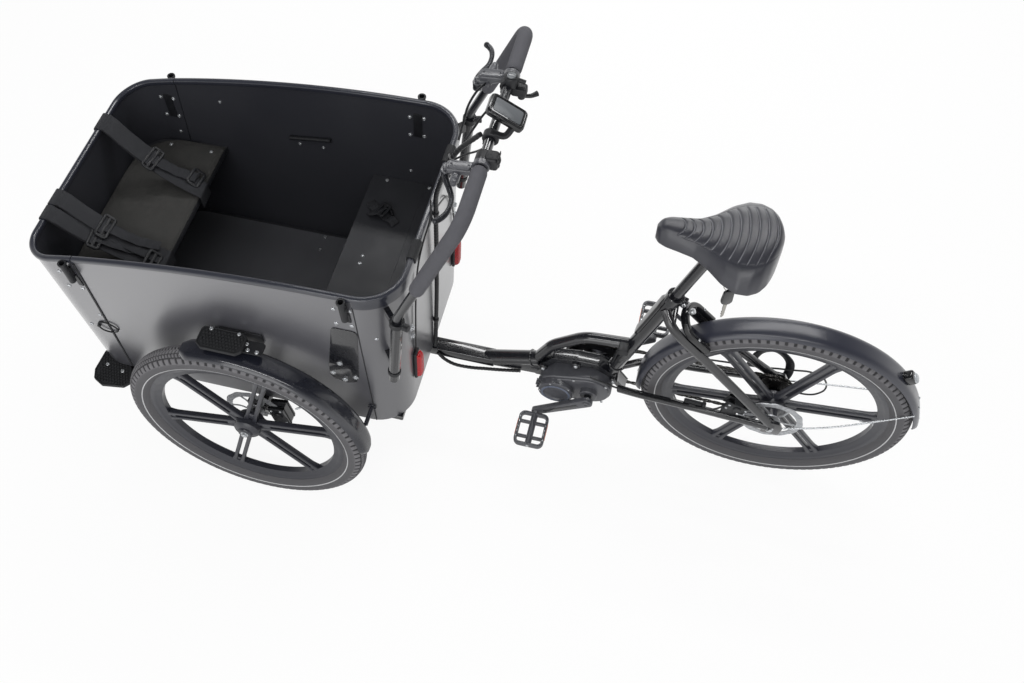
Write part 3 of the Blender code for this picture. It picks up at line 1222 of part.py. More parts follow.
def chain_path():
    """The chain's middle line: over the sprocket, between the two pulleys, round the chainring."""
    sprocket = (0.0, REAR_HUB_Z)
    half = CHAIN_HEIGHT / 2 + CHAIN_SLACK
    path = circle(SPROCKET_RADIUS + half, 9, sprocket, math.radians(97), math.radians(-52), closed=False)
    path += circle(PULLEY_RADIUS + half, 5, GUIDE_PULLEY, math.radians(128), math.radians(205), closed=False)
    path += circle(PULLEY_RADIUS + half, 6, TENSION_PULLEY, math.radians(25), math.radians(-88), closed=False)
    path += circle(CHAINRING_RADIUS + half, 13, CRANK_AXIS, math.radians(272), math.radians(97), closed=False)
    return path


def chain():
    """A closed band the size of the chain, along its path."""
    path = chain_path()
    rings = []
    for i, (x, z) in enumerate(path):
        before = Vector(path[i - 1])
        after = Vector(path[(i + 1) % len(path)])
        along = (after - before).normalized()
        up = Vector((-along.y, 0, along.x)) * CHAIN_HEIGHT / 2
        point = Vector((x, CHAIN_LINE, z))
        side = Vector((0, CHAIN_WIDTH / 2, 0))
        rings.append([point - side - up, point + side - up, point + side + up, point - side + up])
    return skin("chain", rings, closed=True)


finish(chain(), "chain", DARK_STEEL, ground)


def derailleur():
    """Body hung from the right dropout, cage plates with two pulleys, and the bar that guards it."""
    cage_y = (CHAIN_LINE - 0.0065, CHAIN_LINE + 0.0065)
    pieces = []
    for y in cage_y:
        outline = hull_outline(GUIDE_PULLEY, 0.012, TENSION_PULLEY, 0.012, 4)
        pieces.append(plate("cage", outline, 0.002, y, upright=True))
    for x, z in (GUIDE_PULLEY, TENSION_PULLEY):
        pieces.append(rod("pulley", (x, CHAIN_LINE - 0.0025, z), (x, CHAIN_LINE + 0.0025, z),
                          PULLEY_RADIUS, 12))
        pieces.append(rod("pulley_pin", (x, cage_y[0], z), (x, cage_y[1] + 0.002, z), 0.004, 8))
    hanger = rod("hanger", (0.018, DROPOUT_Y + 0.0053, HANGER_Z), (0.018, DROPOUT_Y + 0.022, HANGER_Z),
                 0.011, 10)
    knots = [(0.018, DROPOUT_Y + 0.014, HANGER_Z), (0.030, DROPOUT_Y + 0.012, HANGER_Z - 0.023),
             (0.022, 0.064, GUIDE_PULLEY[1]), (0.020, 0.0575, GUIDE_PULLEY[1])]
    body = tube("body", smooth_path(knots, 2), 0.009, 1)
    bends = [(0.018, DROPOUT_Y + 0.020, 0.0), (0.038, 0.108, -0.006), (0.042, 0.120, 0.027),
             (0.020, 0.122, 0.077), (-0.030, 0.122, 0.087), (-0.075, 0.118, 0.062), (-0.088, 0.110, 0.022)]
    guard = tube("guard", smooth_path([(x, y, HANGER_Z + rise) for x, y, rise in bends], 2), 0.0055, 1)
    return combine(body, [hanger, guard, pieces[1], pieces[3], pieces[2], pieces[5], pieces[4], pieces[0]])


finish(derailleur(), "derailleur", BLACK_PLASTIC, ground)


# Rear fender, lamp, ring lock, seat post and saddle

rear_place = Matrix.Translation((0, 0, REAR_HUB_Z))
rear_step = (REAR_FENDER_END - REAR_FENDER_START) / REAR_FENDER_STEPS
rear_guard = fender("guard", REAR_FENDER_RADIUS, REAR_FENDER_START, REAR_FENDER_END, REAR_FENDER_STEPS,
                    rear_place)
stays = []
for sign in (-1, 1):
    angle = math.radians(22)
    reach = REAR_FENDER_RADIUS - 0.010
    top = (reach * math.cos(angle), sign * 0.0295, REAR_HUB_Z + reach * math.sin(angle))
    foot = (0.0252, sign * DROPOUT_Y, REAR_HUB_Z + 0.0025)
    bend = (0.150, sign * 0.060, REAR_HUB_Z + 0.0485)
    stays.append(tube("stay", smooth_path([foot, bend, top], 2), 0.0030, 1))
stud = rod("stud", STAY_LINE_FOOT - stay_down * (REAR_FENDER_RADIUS - 0.0095),
           STAY_LINE_FOOT - stay_down * (FENDER_BRIDGE - 0.0063), 0.005, 10)
finish(combine(rear_guard, stays + [stud]), "rear_fender", FENDER_PAINT, ground)

lamp_angle = REAR_FENDER_START + 3.5 * rear_step
lamp_out = Vector((math.cos(lamp_angle), 0, math.sin(lamp_angle)))
lamp_seat = (REAR_FENDER_RADIUS - CROWN_DROP) * math.cos(rear_step / 2) + CLEARANCE
lamp_centre = lamp_out * (lamp_seat + LAMP_HEIGHT / 2) + Vector((0, 0, REAR_HUB_Z))
lamp = block("lamp", (0.032, 0.027, LAMP_HEIGHT), lamp_centre, (0, math.pi / 2 - lamp_angle, 0), 0.005)
finish(lamp, "rear_lamp", BLACK_PLASTIC, ground)

def lock_point(radial, side, lift):
    """A point in the lock's own plane: radial from the hub along the stays, sideways, and out."""
    return STAY_LINE_FOOT - stay_down * radial + Vector((0, side, 0)) + stay_out * lift


LOCK_INNER = 0.0365
LOCK_BAND = 0.015
LOCK_CENTRE = REAR_FENDER_RADIUS + 0.020
LOCK_LIFT = SEAT_STAY_TALL + CLEARANCE
LOCK_DEPTH = 0.020


def ring_lock():
    """Horseshoe case round the fender, lying on the seat stays."""
    rings = []
    stations = [(-0.055, -1)] + [(0.0, a) for a in [i / 10 * math.pi for i in range(11)]] + [(-0.055, 1)]
    for drop, mark in stations:
        if drop:
            side = -1 if mark < 0 else 1
            inner = (LOCK_CENTRE + drop, -side * LOCK_INNER)
            outer = (LOCK_CENTRE + drop, -side * (LOCK_INNER + LOCK_BAND))
        else:
            inner = (LOCK_CENTRE + LOCK_INNER * math.sin(mark), LOCK_INNER * math.cos(mark))
            reach = LOCK_INNER + LOCK_BAND
            outer = (LOCK_CENTRE + reach * math.sin(mark), reach * math.cos(mark))
        rings.append([lock_point(*inner, LOCK_LIFT), lock_point(*outer, LOCK_LIFT),
                      lock_point(*outer, LOCK_LIFT + LOCK_DEPTH), lock_point(*inner, LOCK_LIFT + LOCK_DEPTH)])
    return skin("lock", rings)


finish(ring_lock(), "ring_lock", BLACK_PLASTIC, ground)
slot_at = LOCK_CENTRE + LOCK_INNER + LOCK_BAND / 2
knob_foot = lock_point(slot_at, 0, LOCK_LIFT + LOCK_DEPTH + CLEARANCE)
knob = rod("post", knob_foot, knob_foot + stay_out * 0.008, 0.0035, 8)
knob = combine(knob, [rod("knob", knob_foot + stay_out * 0.006, knob_foot + stay_out * 0.016, 0.0075, 12)])
lock_pivot = empty("lock_slide", knob_foot, ground)
finish(knob, "lock_knob", BRIGHT_STEEL, lock_pivot)

seat_slide = empty("seat_slide", seat_head, ground)
post_top = Vector((-0.2495, 0, 0.897))
post = rod("post", seat_foot + seat_axis * 0.19, post_top, SEAT_POST_RADIUS, 16)
head_block = block("head_block", (0.050, 0.054, 0.020), post_top + Vector((0.002, 0, -0.0025)))
rail_top = SADDLE_Z - CLEARANCE - 0.0035
rail_pieces = []
for sign in (-1, 1):
    knots = [(-0.335, sign * 0.012, rail_top), (-0.322, sign * 0.013, rail_top),
             (-0.290, sign * 0.019, 0.904), (-0.215, sign * 0.022, 0.904),
             (-0.176, sign * 0.034, rail_top), (-0.163, sign * 0.036, rail_top)]
    rail_pieces.append(tube("rail", smooth_path(knots, 1), 0.0035, 1))
finish(combine(post, [head_block] + rail_pieces), "seat_post", FRAME_PAINT, seat_slide)


def saddle():
    """Wide comfort saddle: crowned, drawn in below, with ten sewn channels across its rear half."""
    nose = -0.377
    tail = -0.1205
    across = 10
    widths = [(0, 0.006), (0.03, 0.017), (0.10, 0.026), (0.20, 0.034), (0.33, 0.048), (0.45, 0.072),
              (0.58, 0.101), (0.70, 0.1165), (0.80, 0.1150), (0.88, 0.101), (0.94, 0.078),
              (0.985, 0.045), (1, 0.022)]

    def half_width(share):
        for (a, wa), (b, wb) in zip(widths, widths[1:]):
            if share <= b:
                t = (share - a) / (b - a)
                t = t * t * (3 - 2 * t) * 0.35 + t * 0.65
                return wa + (wb - wa) * t
        return widths[-1][1]

    channels = [FIRST_CHANNEL + i * CHANNEL_SPACING for i in range(CHANNEL_COUNT)]
    ridges = [share + CHANNEL_SPACING / 2 for share in channels]
    shares = sorted([0, 0.02, 0.06, 0.12, 0.19, 0.27, 0.34, 0.955, 0.985, 1] + channels + ridges)
    rings = []
    for share in shares:
        x = nose + (tail - nose) * share
        half = half_width(share)
        ridge = SADDLE_Z + 0.042 + 0.036 * share ** 2 - 0.010 * math.exp(-((share - 0.38) / 0.2) ** 2)
        end_drop = 0.024 * (math.exp(-share / 0.035) + math.exp(-(1 - share) / 0.03))
        skirt = SADDLE_Z + 0.004
        top = []
        for j in range(across + 1):
            u = -math.cos(math.pi * j / across)
            crown = (1 - abs(u) ** 3.2) ** 0.8
            sewn = 0.0022 * (1 - abs(u) ** 4) if share in channels else 0.0
            z = skirt + (ridge - end_drop - skirt) * crown - sewn
            top.append(Vector((x - 0.010 * u * u * (share in channels), half * u, z)))
        low = [Vector((x + (0.5 - share) * 0.012, side * half * 0.88, SADDLE_Z)) for side in (1, -1)]
        rings.append(top + low)
    return skin("saddle", rings)


finish(saddle(), "saddle", SADDLE_COVER, seat_slide)


# Cables: the wrapped bundle down the box's rear wall, and its loop to the frame

def ribbed(name, knots, radius, pitch):
    """A bundle in spiral wrap: wide and narrow rings in turn along a smooth route."""
    dense = smooth_path(knots, 12)
    lengths = [0.0]
    for a, b in zip(dense, dense[1:]):
        lengths.append(lengths[-1] + (b - a).length)
    count = int(lengths[-1] / pitch) * 2
    points = []
    radii = []
    for i in range(count + 1):
        goal = lengths[-1] * i / count
        k = max(1, next(n for n, total in enumerate(lengths) if total >= goal - 1e-9))
        t = (goal - lengths[k - 1]) / (lengths[k] - lengths[k - 1])
        points.append(dense[k - 1].lerp(dense[k], t))
        radii.append(1.0 if i % 2 else 0.8)
    return tube(name, points, radius, 2, radii)


bundle = [(-0.744, -0.030, 1.166), (-0.800, -0.026, 1.090), (-0.846, -0.022, 0.960), (-0.856, -0.018, 0.880),
          (-0.866, -0.012, 0.740), (-0.878, -0.010, 0.560), (-0.890, -0.012, 0.400), (-0.896, -0.014, 0.318),
          (-0.897, -0.015, 0.291)]
finish(ribbed("bundle", bundle, 0.0055, 0.034), "wrapped_cable", BLACK_PLASTIC, steering)
loop = [(-0.890, -0.0252, 0.2705), (-0.872, -0.0260, 0.244), (-0.842, -0.0270, 0.228),
        (-0.800, -0.0270, 0.229),
        (-0.760, -0.0265, 0.238), (-0.715, -0.0255, 0.248), (-0.660, -0.0235, 0.262)]
finish(ribbed("loop", loop, 0.0048, 0.022), "frame_cable", BLACK_PLASTIC, ground)

ground.location = (-MIDDLE_OF_LENGTH, 0, -GROUND_Z)
bpy.context.view_layer.update()
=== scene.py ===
"""Looks of the electric cargo tricycle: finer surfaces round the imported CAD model, finishes, light, camera.

Metres. Places are written as in the part's source, from the ground below the rear axle, with the
bike facing -X; make() adds SHIFT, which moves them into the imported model's frame."""
from math import acos, asin, atan, atan2, cos, pi, radians, sin, sqrt, tan

import bmesh
import bpy
import numpy as np
from mathutils import Matrix, Vector


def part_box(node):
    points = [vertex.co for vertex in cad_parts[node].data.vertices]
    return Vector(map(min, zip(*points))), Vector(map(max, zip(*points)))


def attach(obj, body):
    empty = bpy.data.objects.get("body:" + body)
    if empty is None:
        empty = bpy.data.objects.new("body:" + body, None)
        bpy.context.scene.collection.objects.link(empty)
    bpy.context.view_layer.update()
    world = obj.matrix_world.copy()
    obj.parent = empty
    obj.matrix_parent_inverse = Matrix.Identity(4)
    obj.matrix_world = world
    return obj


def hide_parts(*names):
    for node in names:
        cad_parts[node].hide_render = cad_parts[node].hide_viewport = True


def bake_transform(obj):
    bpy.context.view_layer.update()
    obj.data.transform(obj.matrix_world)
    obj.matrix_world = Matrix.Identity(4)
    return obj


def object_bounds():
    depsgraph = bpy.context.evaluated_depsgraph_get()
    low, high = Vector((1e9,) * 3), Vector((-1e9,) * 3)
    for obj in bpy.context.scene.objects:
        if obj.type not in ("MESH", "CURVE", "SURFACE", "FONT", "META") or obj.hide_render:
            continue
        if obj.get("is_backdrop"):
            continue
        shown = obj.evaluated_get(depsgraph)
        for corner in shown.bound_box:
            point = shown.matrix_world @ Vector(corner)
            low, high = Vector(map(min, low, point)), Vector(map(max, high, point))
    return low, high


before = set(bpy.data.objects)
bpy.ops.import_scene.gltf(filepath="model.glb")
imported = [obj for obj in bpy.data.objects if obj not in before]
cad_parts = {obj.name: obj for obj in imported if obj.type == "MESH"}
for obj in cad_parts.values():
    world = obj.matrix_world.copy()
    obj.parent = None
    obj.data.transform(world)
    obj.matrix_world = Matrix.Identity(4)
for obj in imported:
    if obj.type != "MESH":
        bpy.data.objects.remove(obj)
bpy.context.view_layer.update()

SHIFT = np.array((0.7125, 0, 0.010))
SIDES = (("left", -1), ("right", 1))
UP = (0, 0, 1)
RIGHT = (0, 1, 0)

# Camera, as solved from the wheels' stripes
CAMERA_PLACE = (-0.3707, -1.3141, 2.6034)
CAMERA_TURN = radians(13.6)
CAMERA_PITCH = radians(58.86)
CAMERA_LENS = 35.0
SENSOR_WIDTH = 36.0

# Sizes shared with the part's source
WHEELBASE = 1.296
REAR_WHEEL_RADIUS = 0.3395
FRONT_WHEEL_RADIUS = 0.3135
TYRE_RADIUS = 0.030
GROUND_Z = -0.010
FRONT_TRACK_HALF = 0.360
CAMBER = radians(4.2)
FRONT_HUB_Z = (FRONT_WHEEL_RADIUS - TYRE_RADIUS) * cos(CAMBER) + TYRE_RADIUS + GROUND_Z
REAR_HUB_Z = REAR_WHEEL_RADIUS + GROUND_Z
BEAD_HEIGHT = 0.0066
BEAD_HALF_WIDTH = 0.0115
WALL = 0.006
BOX_TOP_HALF = 0.284
BOX_TOP_REAR = -0.871
BOX_TOP_FRONT = -1.767
BOX_FLOOR_HALF = 0.269
BOX_FLOOR_REAR = -0.906
BOX_FLOOR_FRONT = -1.762
BOX_CORNER = 0.090
BOX_FRONT_CORNER = 0.076
WALL_BOTTOM = 0.297
RIM_HIGHEST = 0.884
RIM_HIGHEST_X = -0.95
RIM_FALL = 0.172
SEAM_LOW_X = -1.661
SEAM_HIGH_X = -1.618
DOOR_GAP = 0.0022
LOCKER_FACE_X = -1.1168
BENCH_TOP = 0.602
FLOOR_BOARD = 0.008
FLOOR_TOP = float(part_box("box_floor")[0][2]) - SHIFT[2] + FLOOR_BOARD
FRONT_BENCH_REAR = -1.535


# Meshes from numpy: a form is its points and a list of face arrays

def grid_faces(rows, columns, wrap_rows, wrap_columns):
    """Quads between neighbouring points of a grid; wrap joins the last row or column to the first."""
    row = np.arange(rows if wrap_rows else rows - 1)
    column = np.arange(columns if wrap_columns else columns - 1)
    row, column = np.meshgrid(row, column, indexing="ij")
    below = (row + 1) % rows
    beside = (column + 1) % columns
    quads = [row * columns + column, row * columns + beside, below * columns + beside, below * columns + column]
    return np.stack(quads, axis=-1).reshape(-1, 4)


def surface(points, wrap_rows=False, wrap_columns=False, caps=False):
    """A grid of points as a form; caps closes its first and last rows with flat faces."""
    rows, columns = points.shape[:2]
    faces = [grid_faces(rows, columns, wrap_rows, wrap_columns)]
    if caps:
        faces.append(np.arange(columns)[None, ::-1])
        faces.append(np.arange(columns)[None, :] + (rows - 1) * columns)
    return points.reshape(-1, 3), faces


def join(*forms):
    """Several forms as one: points in a row, face numbers raised by the points before them."""
    points = []
    faces = []
    start = 0
    for form_points, form_faces in forms:
        points.append(form_points)
        faces += [face + start for face in form_faces]
        start += len(form_points)
    return np.concatenate(points), faces


def shifted(x, y, z):
    """The matrix of a move."""
    return Matrix.Translation((x, y, z))


def spun(angle, axis):
    """The matrix of a turn about an axis."""
    return Matrix.Rotation(angle, 4, axis)


def tilted(centre, x=0.0, y=0.0, z=0.0):
    """The matrix that turns a form about Z, then Y, then X, and moves it to a centre."""
    return shifted(*centre) @ spun(z, "Z") @ spun(y, "Y") @ spun(x, "X")


def facing(point, normal):
    """The matrix that stands a form made about Z on a point, its Z along the normal."""
    return shifted(*point) @ Vector(normal).to_track_quat("Z", "Y").to_matrix().to_4x4()


def moved(form, place):
    """The form moved to a point, or turned and moved by a 4 x 4 matrix: matrix times point."""
    matrix = np.array(place if len(place) == 4 else shifted(*place))
    return form[0] @ matrix[:3, :3].T + matrix[:3, 3], form[1]


def sided(form, sign):
    """The form as given for the right side (+1), or with Y reversed for the left (-1)."""
    return form[0] * (1, sign, 1), form[1]


def upright(form, y=0.0):
    """Stands a form made in plan up on edge: its Y becomes height, its Z runs along the bike's Y."""
    return form[0][:, (0, 2, 1)] + (0, y, 0), form[1]


# A form turned about Z becomes one turned about the axle
AXLE_TURN = spun(-pi / 2, "X")


def about(form, axis, y=0.0):
    """Moves a form turned about Z onto the bike's cross axis through (x, z), its +Z to the right."""
    return moved(form, shifted(axis[0], y, axis[1]) @ AXLE_TURN)


def scattered(form, places):
    """Copies of a small form, one for each matrix."""
    matrices = np.array([np.array(place) for place in places])
    points = np.einsum("kij,nj->kni", matrices[:, :3, :3], form[0]) + matrices[:, None, :3, 3]
    start = np.arange(len(matrices)) * len(form[0])
    faces = [(face[None] + start[:, None, None]).reshape(-1, face.shape[1]) for face in form[1]]
    return points.reshape(-1, 3), faces


def smooth(knots, steps):
    """Catmull-Rom curve: each span is a cubic whose end slopes are half the step between neighbours."""
    knots = np.array(knots, float)
    padded = np.vstack([2 * knots[0] - knots[1], knots, 2 * knots[-1] - knots[-2]])
    t = np.linspace(0, 1, steps, endpoint=False)[None, :, None]
    a, b, c, d = (padded[i:len(padded) - 3 + i][:, None] for i in range(4))
    cubic = 2 * b + (c - a) * t + (2 * a - 5 * b + 4 * c - d) * t ** 2 + (3 * b - a - 3 * c + d) * t ** 3
    return np.vstack([(0.5 * cubic).reshape(-1, knots.shape[1]), knots[-1]])


def filleted(corners, radius, steps=10):
    """Straight runs joined by arcs: each corner gives way to a circle touching both its runs."""
    corners = np.array(corners, float)
    path = [corners[:1]]
    for before, corner, after in zip(corners, corners[1:], corners[2:]):
        back = (before - corner) / np.linalg.norm(before - corner)
        onward = (after - corner) / np.linalg.norm(after - corner)
        half = acos(np.clip(back @ onward, -1, 1)) / 2
        inward = (back + onward) / np.linalg.norm(back + onward)
        across = (back - onward) / np.linalg.norm(back - onward)
        turn = np.linspace(-(pi / 2 - half), pi / 2 - half, steps + 1)[:, None]
        centre = corner + inward * radius / sin(half)
        path.append(centre - radius * (np.cos(turn) * inward + np.sin(turn) * across))
    return np.vstack(path + [corners[-1:]])


def rounded(outline, radius, steps=6):
    """A closed outline whose corners give way to arcs."""
    outline = np.array(outline, float)
    start = (outline[-1] + outline[0]) / 2
    return filleted(np.vstack([start, outline, start]), radius, steps)[:-1]


def path_length(path):
    """The sum of its steps."""
    return float(np.linalg.norm(np.diff(path, axis=0), axis=1).sum())


def spaced(path, count):
    """The same path, cut into equal lengths."""
    steps = np.linalg.norm(np.diff(path, axis=0), axis=1)
    total = np.concatenate([[0], np.cumsum(steps)])
    goal = np.linspace(0, total[-1], count)
    return np.stack([np.interp(goal, total, path[:, k]) for k in range(path.shape[1])], axis=1)


def full_turn(count):
    """Angles of one turn in equal steps."""
    return np.linspace(0, 2 * pi, count, endpoint=False)


def oval(wide, tall=None, sides=24):
    """Points of an ellipse of half sizes wide and tall, or of a circle."""
    angle = full_turn(sides)
    return np.stack([wide * np.cos(angle), (tall or wide) * np.sin(angle)], axis=1)


def soft_rectangle(width, height, radius, steps=4):
    """A rectangle whose corners are quarter circles."""
    angle = np.linspace(0, pi / 2, steps + 1)
    quarters = []
    for k, (sx, sy) in enumerate(((1, 1), (-1, 1), (-1, -1), (1, -1))):
        turn = angle + k * pi / 2
        quarters.append(np.stack([sx * (width / 2 - radius) + radius * np.cos(turn),
                                  sy * (height / 2 - radius) + radius * np.sin(turn)], axis=1))
    return np.vstack(quarters)


def sweep(path, profile, up=UP, scales=None, closed=False):
    """Each profile point (across, upward) rides the path: path + across * side + upward * lift.
    Side and lift are carried from point to point, turning no more than the path does."""
    path = np.array(path, float)
    if closed:
        ahead = np.roll(path, -1, axis=0) - np.roll(path, 1, axis=0)
    else:
        ahead = np.gradient(path, axis=0)
    ahead /= np.linalg.norm(ahead, axis=1, keepdims=True)
    lifts = []
    lift = np.array(up, float)
    for direction in ahead:
        lift = lift - direction * (lift @ direction)
        lift /= np.linalg.norm(lift)
        lifts.append(lift)
    lifts = np.array(lifts)
    sides = np.cross(ahead, lifts)
    rings = profile if profile.ndim == 3 else np.repeat(profile[None], len(path), axis=0)
    if scales is not None:
        rings = rings * np.asarray(scales, float).reshape(len(path), 1, -1)
    points = path[:, None] + rings[..., :1] * sides[:, None] + rings[..., 1:] * lifts[:, None]
    return surface(points, closed, True, not closed)


def turned(profile, segments=64, closed=False):
    """A profile of (radius, height) turned about Z; a closed profile gives a ring."""
    profile = np.array(profile, float)
    angle = full_turn(segments)
    ring = np.stack([np.cos(angle), np.sin(angle), np.zeros(segments)], axis=1)
    points = profile[:, None, :1] * ring[None] + profile[:, None, 1:] * np.array(UP)
    return surface(points, closed, True)


def hoop(inner, outer, half, edge, segments):
    """A ring from -half to half along Z, its outer edges cut by edge."""
    profile = [(inner, -half), (inner, half), (outer - edge, half), (outer, half - edge),
               (outer, -half + edge), (outer - edge, -half)]
    return turned(profile, segments, True)


def puck(radius, low, high, edge, segments):
    """A disc from low to high along Z, its edges cut by edge."""
    profile = [(0, low), (radius - edge, low), (radius, low + edge), (radius, high - edge),
               (radius - edge, high), (0, high)]
    return turned(profile, segments)


def inset(outline, amount):
    """The outline moved inwards: each corner goes along the mean of its two edges' normals."""
    edge = np.roll(outline, -1, axis=0) - outline
    normal = np.stack([-edge[:, 1], edge[:, 0]], axis=1)
    normal /= np.linalg.norm(normal, axis=1, keepdims=True) + 1e-12
    both = normal + np.roll(normal, 1, axis=0)
    both /= np.maximum((both ** 2).sum(axis=1, keepdims=True), 0.5) / 2
    return outline + both * amount


def slab(outline, low, high, bevel=0.001, steps=3):
    """A flat outline (anticlockwise) given thickness along Z; its edges are quarter circles of radius bevel."""
    outline = np.array(outline, float)
    angle = np.linspace(0, pi / 2, steps + 1)
    rows = [(bevel * (1 - sin(a)), low + bevel * (1 - cos(a))) for a in angle]
    rows += [(bevel * (1 - sin(a)), high - bevel * (1 - cos(a))) for a in angle[::-1]]
    points = [np.column_stack([inset(outline, amount), np.full(len(outline), height)]) for amount, height in rows]
    return surface(np.array(points), False, True, True)


def block(size, place=(0, 0, 0), radius=0.001, bevel=None, steps=3):
    """A box with rounded edges, centred on a point or set by a matrix."""
    width, depth, height = size
    edge = radius if bevel is None else bevel
    return moved(slab(soft_rectangle(width, depth, radius), -height / 2, height / 2, edge, steps), place)


def rod(start, end, radius, bevel=0.0006, segments=32):
    """A straight round bar between two points, its end edges bevelled."""
    start = Vector(start)
    ahead = Vector(end) - start
    return moved(puck(radius, 0, ahead.length, bevel, segments), facing(start, ahead))


def belt(first, first_radius, second, second_radius, steps=16):
    """The outline of a belt round two circles."""
    first = np.array(first, float)
    second = np.array(second, float)
    gap = np.linalg.norm(second - first)
    base = atan2(*(second - first)[::-1])
    lean = acos((first_radius - second_radius) / gap)
    far = np.linspace(base - lean, base + lean, steps)
    near = np.linspace(base + lean, base + 2 * pi - lean, steps)
    ends = [(second, second_radius, far), (first, first_radius, near)]
    return np.vstack([c + r * np.stack([np.cos(a), np.sin(a)], axis=1) for c, r, a in ends])


def polar(centre, radius, angle):
    """The point at a radius and an angle from a centre in the bike's side view."""
    return np.array(centre) + radius * np.array((cos(angle), sin(angle)))


def make(name, form, finish_used, body, replaces=(), crease=35.0, groove=None):
    """Puts a form into a mesh object at the origin: doubles merged, faces turned outwards, edges sharper
    than crease kept sharp. groove, one number a point, is kept as an attribute that a finish can read."""
    points, faces = form
    mesh = bpy.data.meshes.new(name)
    mesh.from_pydata((points + SHIFT).tolist(), [], [face for part in faces for face in part.tolist()])
    mesh.materials.append(finish_used)
    if groove is not None:
        mesh.attributes.new("groove", "FLOAT", "POINT").data.foreach_set("value", groove.astype(np.float32))
    work = bmesh.new()
    work.from_mesh(mesh)
    bmesh.ops.remove_doubles(work, verts=work.verts, dist=0.000002)
    bmesh.ops.recalc_face_normals(work, faces=work.faces)
    work.to_mesh(mesh)
    work.free()
    mesh.shade_smooth()
    mesh.set_sharp_from_angle(angle=radians(crease))
    piece = bpy.data.objects.new(name, mesh)
    bpy.context.scene.collection.objects.link(piece)
    if body:
        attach(piece, body)
    if replaces:
        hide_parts(*replaces)
    return piece


def pair(name, form, finish_used, body, replaced=None):
    """The same piece on the right and mirrored on the left; SIDE in the body's name becomes the side's."""
    return [make(name + "_" + side, sided(form, sign), finish_used, body.replace("SIDE", side),
                 [replaced + "_" + side] if replaced else ()) for side, sign in SIDES]


# Finishes

def linear(colour):
    """An sRGB hex colour as linear values, by the standard's curve."""
    channels = [int(colour[i:i + 2], 16) / 255 for i in (1, 3, 5)]
    return (*[c / 12.92 if c <= 0.04045 else ((c + 0.055) / 1.055) ** 2.4 for c in channels], 1.0)


def node(tree, kind, inputs=None, **settings):
    """Adds a node; inputs gives a socket's name or number its value, or the socket that feeds it."""
    made = tree.nodes.new(kind)
    for key, value in settings.items():
        setattr(made, key, value)
    for key, value in (inputs or {}).items():
        if isinstance(value, bpy.types.NodeSocket):
            tree.links.new(value, made.inputs[key])
        else:
            made.inputs[key].default_value = value
    return made


TEXTURES = {"noise": "ShaderNodeTexNoise", "cells": "ShaderNodeTexVoronoi", "bands": "ShaderNodeTexWave"}


def finish(name, colour, second, roughness, *relief, metallic=0.0, coat=0.0, coat_roughness=0.05, patch=0.05,
           spread=0.08, ior=1.5, groove_colour=None):
    """A surface on Object coordinates: two tones mixed by soft patches, roughness that wanders with them,
    and relief, each a texture, its size and its height in metres. groove_colour shows where the mesh's
    groove attribute is 1. A metal keeps the default IOR."""
    made = bpy.data.materials.new(name)
    made.use_nodes = True
    tree = made.node_tree
    shader = tree.nodes["Principled BSDF"]
    place = node(tree, "ShaderNodeTexCoord").outputs["Object"]
    patches = node(tree, "ShaderNodeTexNoise", {"Vector": place, "Scale": 1 / patch, "Detail": 4.0}).outputs["Fac"]
    tone = node(tree, "ShaderNodeMix", {0: patches, 6: linear(colour), 7: linear(second)}, data_type="RGBA")
    if groove_colour:
        depth = node(tree, "ShaderNodeAttribute", attribute_name="groove")
        tone = node(tree, "ShaderNodeMix", {0: depth.outputs["Fac"], 6: tone.outputs[2], 7: linear(groove_colour)},
                    data_type="RGBA")
    tree.links.new(tone.outputs[2], shader.inputs["Base Color"])
    wander = node(tree, "ShaderNodeMapRange", {"Value": patches, "From Min": 0.3, "From Max": 0.7,
                                               "To Min": max(roughness - spread, 0.02),
                                               "To Max": min(roughness + spread, 1.0)})
    tree.links.new(wander.outputs[0], shader.inputs["Roughness"])
    shader.inputs["Metallic"].default_value = metallic
    shader.inputs["Coat Weight"].default_value = coat
    shader.inputs["Coat Roughness"].default_value = coat_roughness
    if not metallic:
        shader.inputs["IOR"].default_value = ior
    below = None
    for texture, size, height in relief:
        source = node(tree, TEXTURES[texture], {"Vector": place, "Scale": 1 / size})
        inputs = {"Height": source.outputs["Distance" if texture == "cells" else "Fac"], "Distance": height,
                  "Strength": 1.0}
        if below:
            inputs["Normal"] = below.outputs[0]
        below = node(tree, "ShaderNodeBump", inputs)
    if below:
        tree.links.new(below.outputs[0], shader.inputs["Normal"])
    return made


# Satin powder coat on the steel frame: a faint orange peel, 2 mm from hump to hump
FRAME_PAINT = finish("frame powder coat", "#131418", "#1a1b20", 0.24, ("noise", 0.002, 0.00001), coat=1.0)
# Rear fender in satin enamel over steel: blue-black with broad soft highlights
FENDER_PAINT = finish("fender satin enamel", "#2b2d38", "#323440", 0.40, ("noise", 0.004, 0.00002),
                      coat=0.7, coat_roughness=0.22, patch=0.12)
# Front fenders in a glossier coat of the same enamel, almost black
FENDER_GLOSS = finish("fender gloss enamel dark", "#1c1e27", "#22242e", 0.26, ("noise", 0.004, 0.00001),
                      coat=1.0, coat_roughness=0.10, patch=0.12)
# Box sheet outside: glossy high-pressure laminate, flat, its reflections a little soft; its base is painted mid grey,
# lighter than the black sheet, as a reflection of the bright floor
WALL_OUTSIDE = finish("box laminate outside", "#48484e", "#4e4e54", 0.34, ("noise", 0.015, 0.00002),
                      coat=1.0, coat_roughness=0.26, patch=0.25, spread=0.03, ior=2.3)
# Box sheet inside: the same laminate with a satin pressing, its base painted grey for the dim light inside the box,
# darker than the outside's
WALL_INSIDE = finish("box laminate inside", "#303137", "#37383d", 0.36, ("noise", 0.0008, 0.00002), patch=0.2)
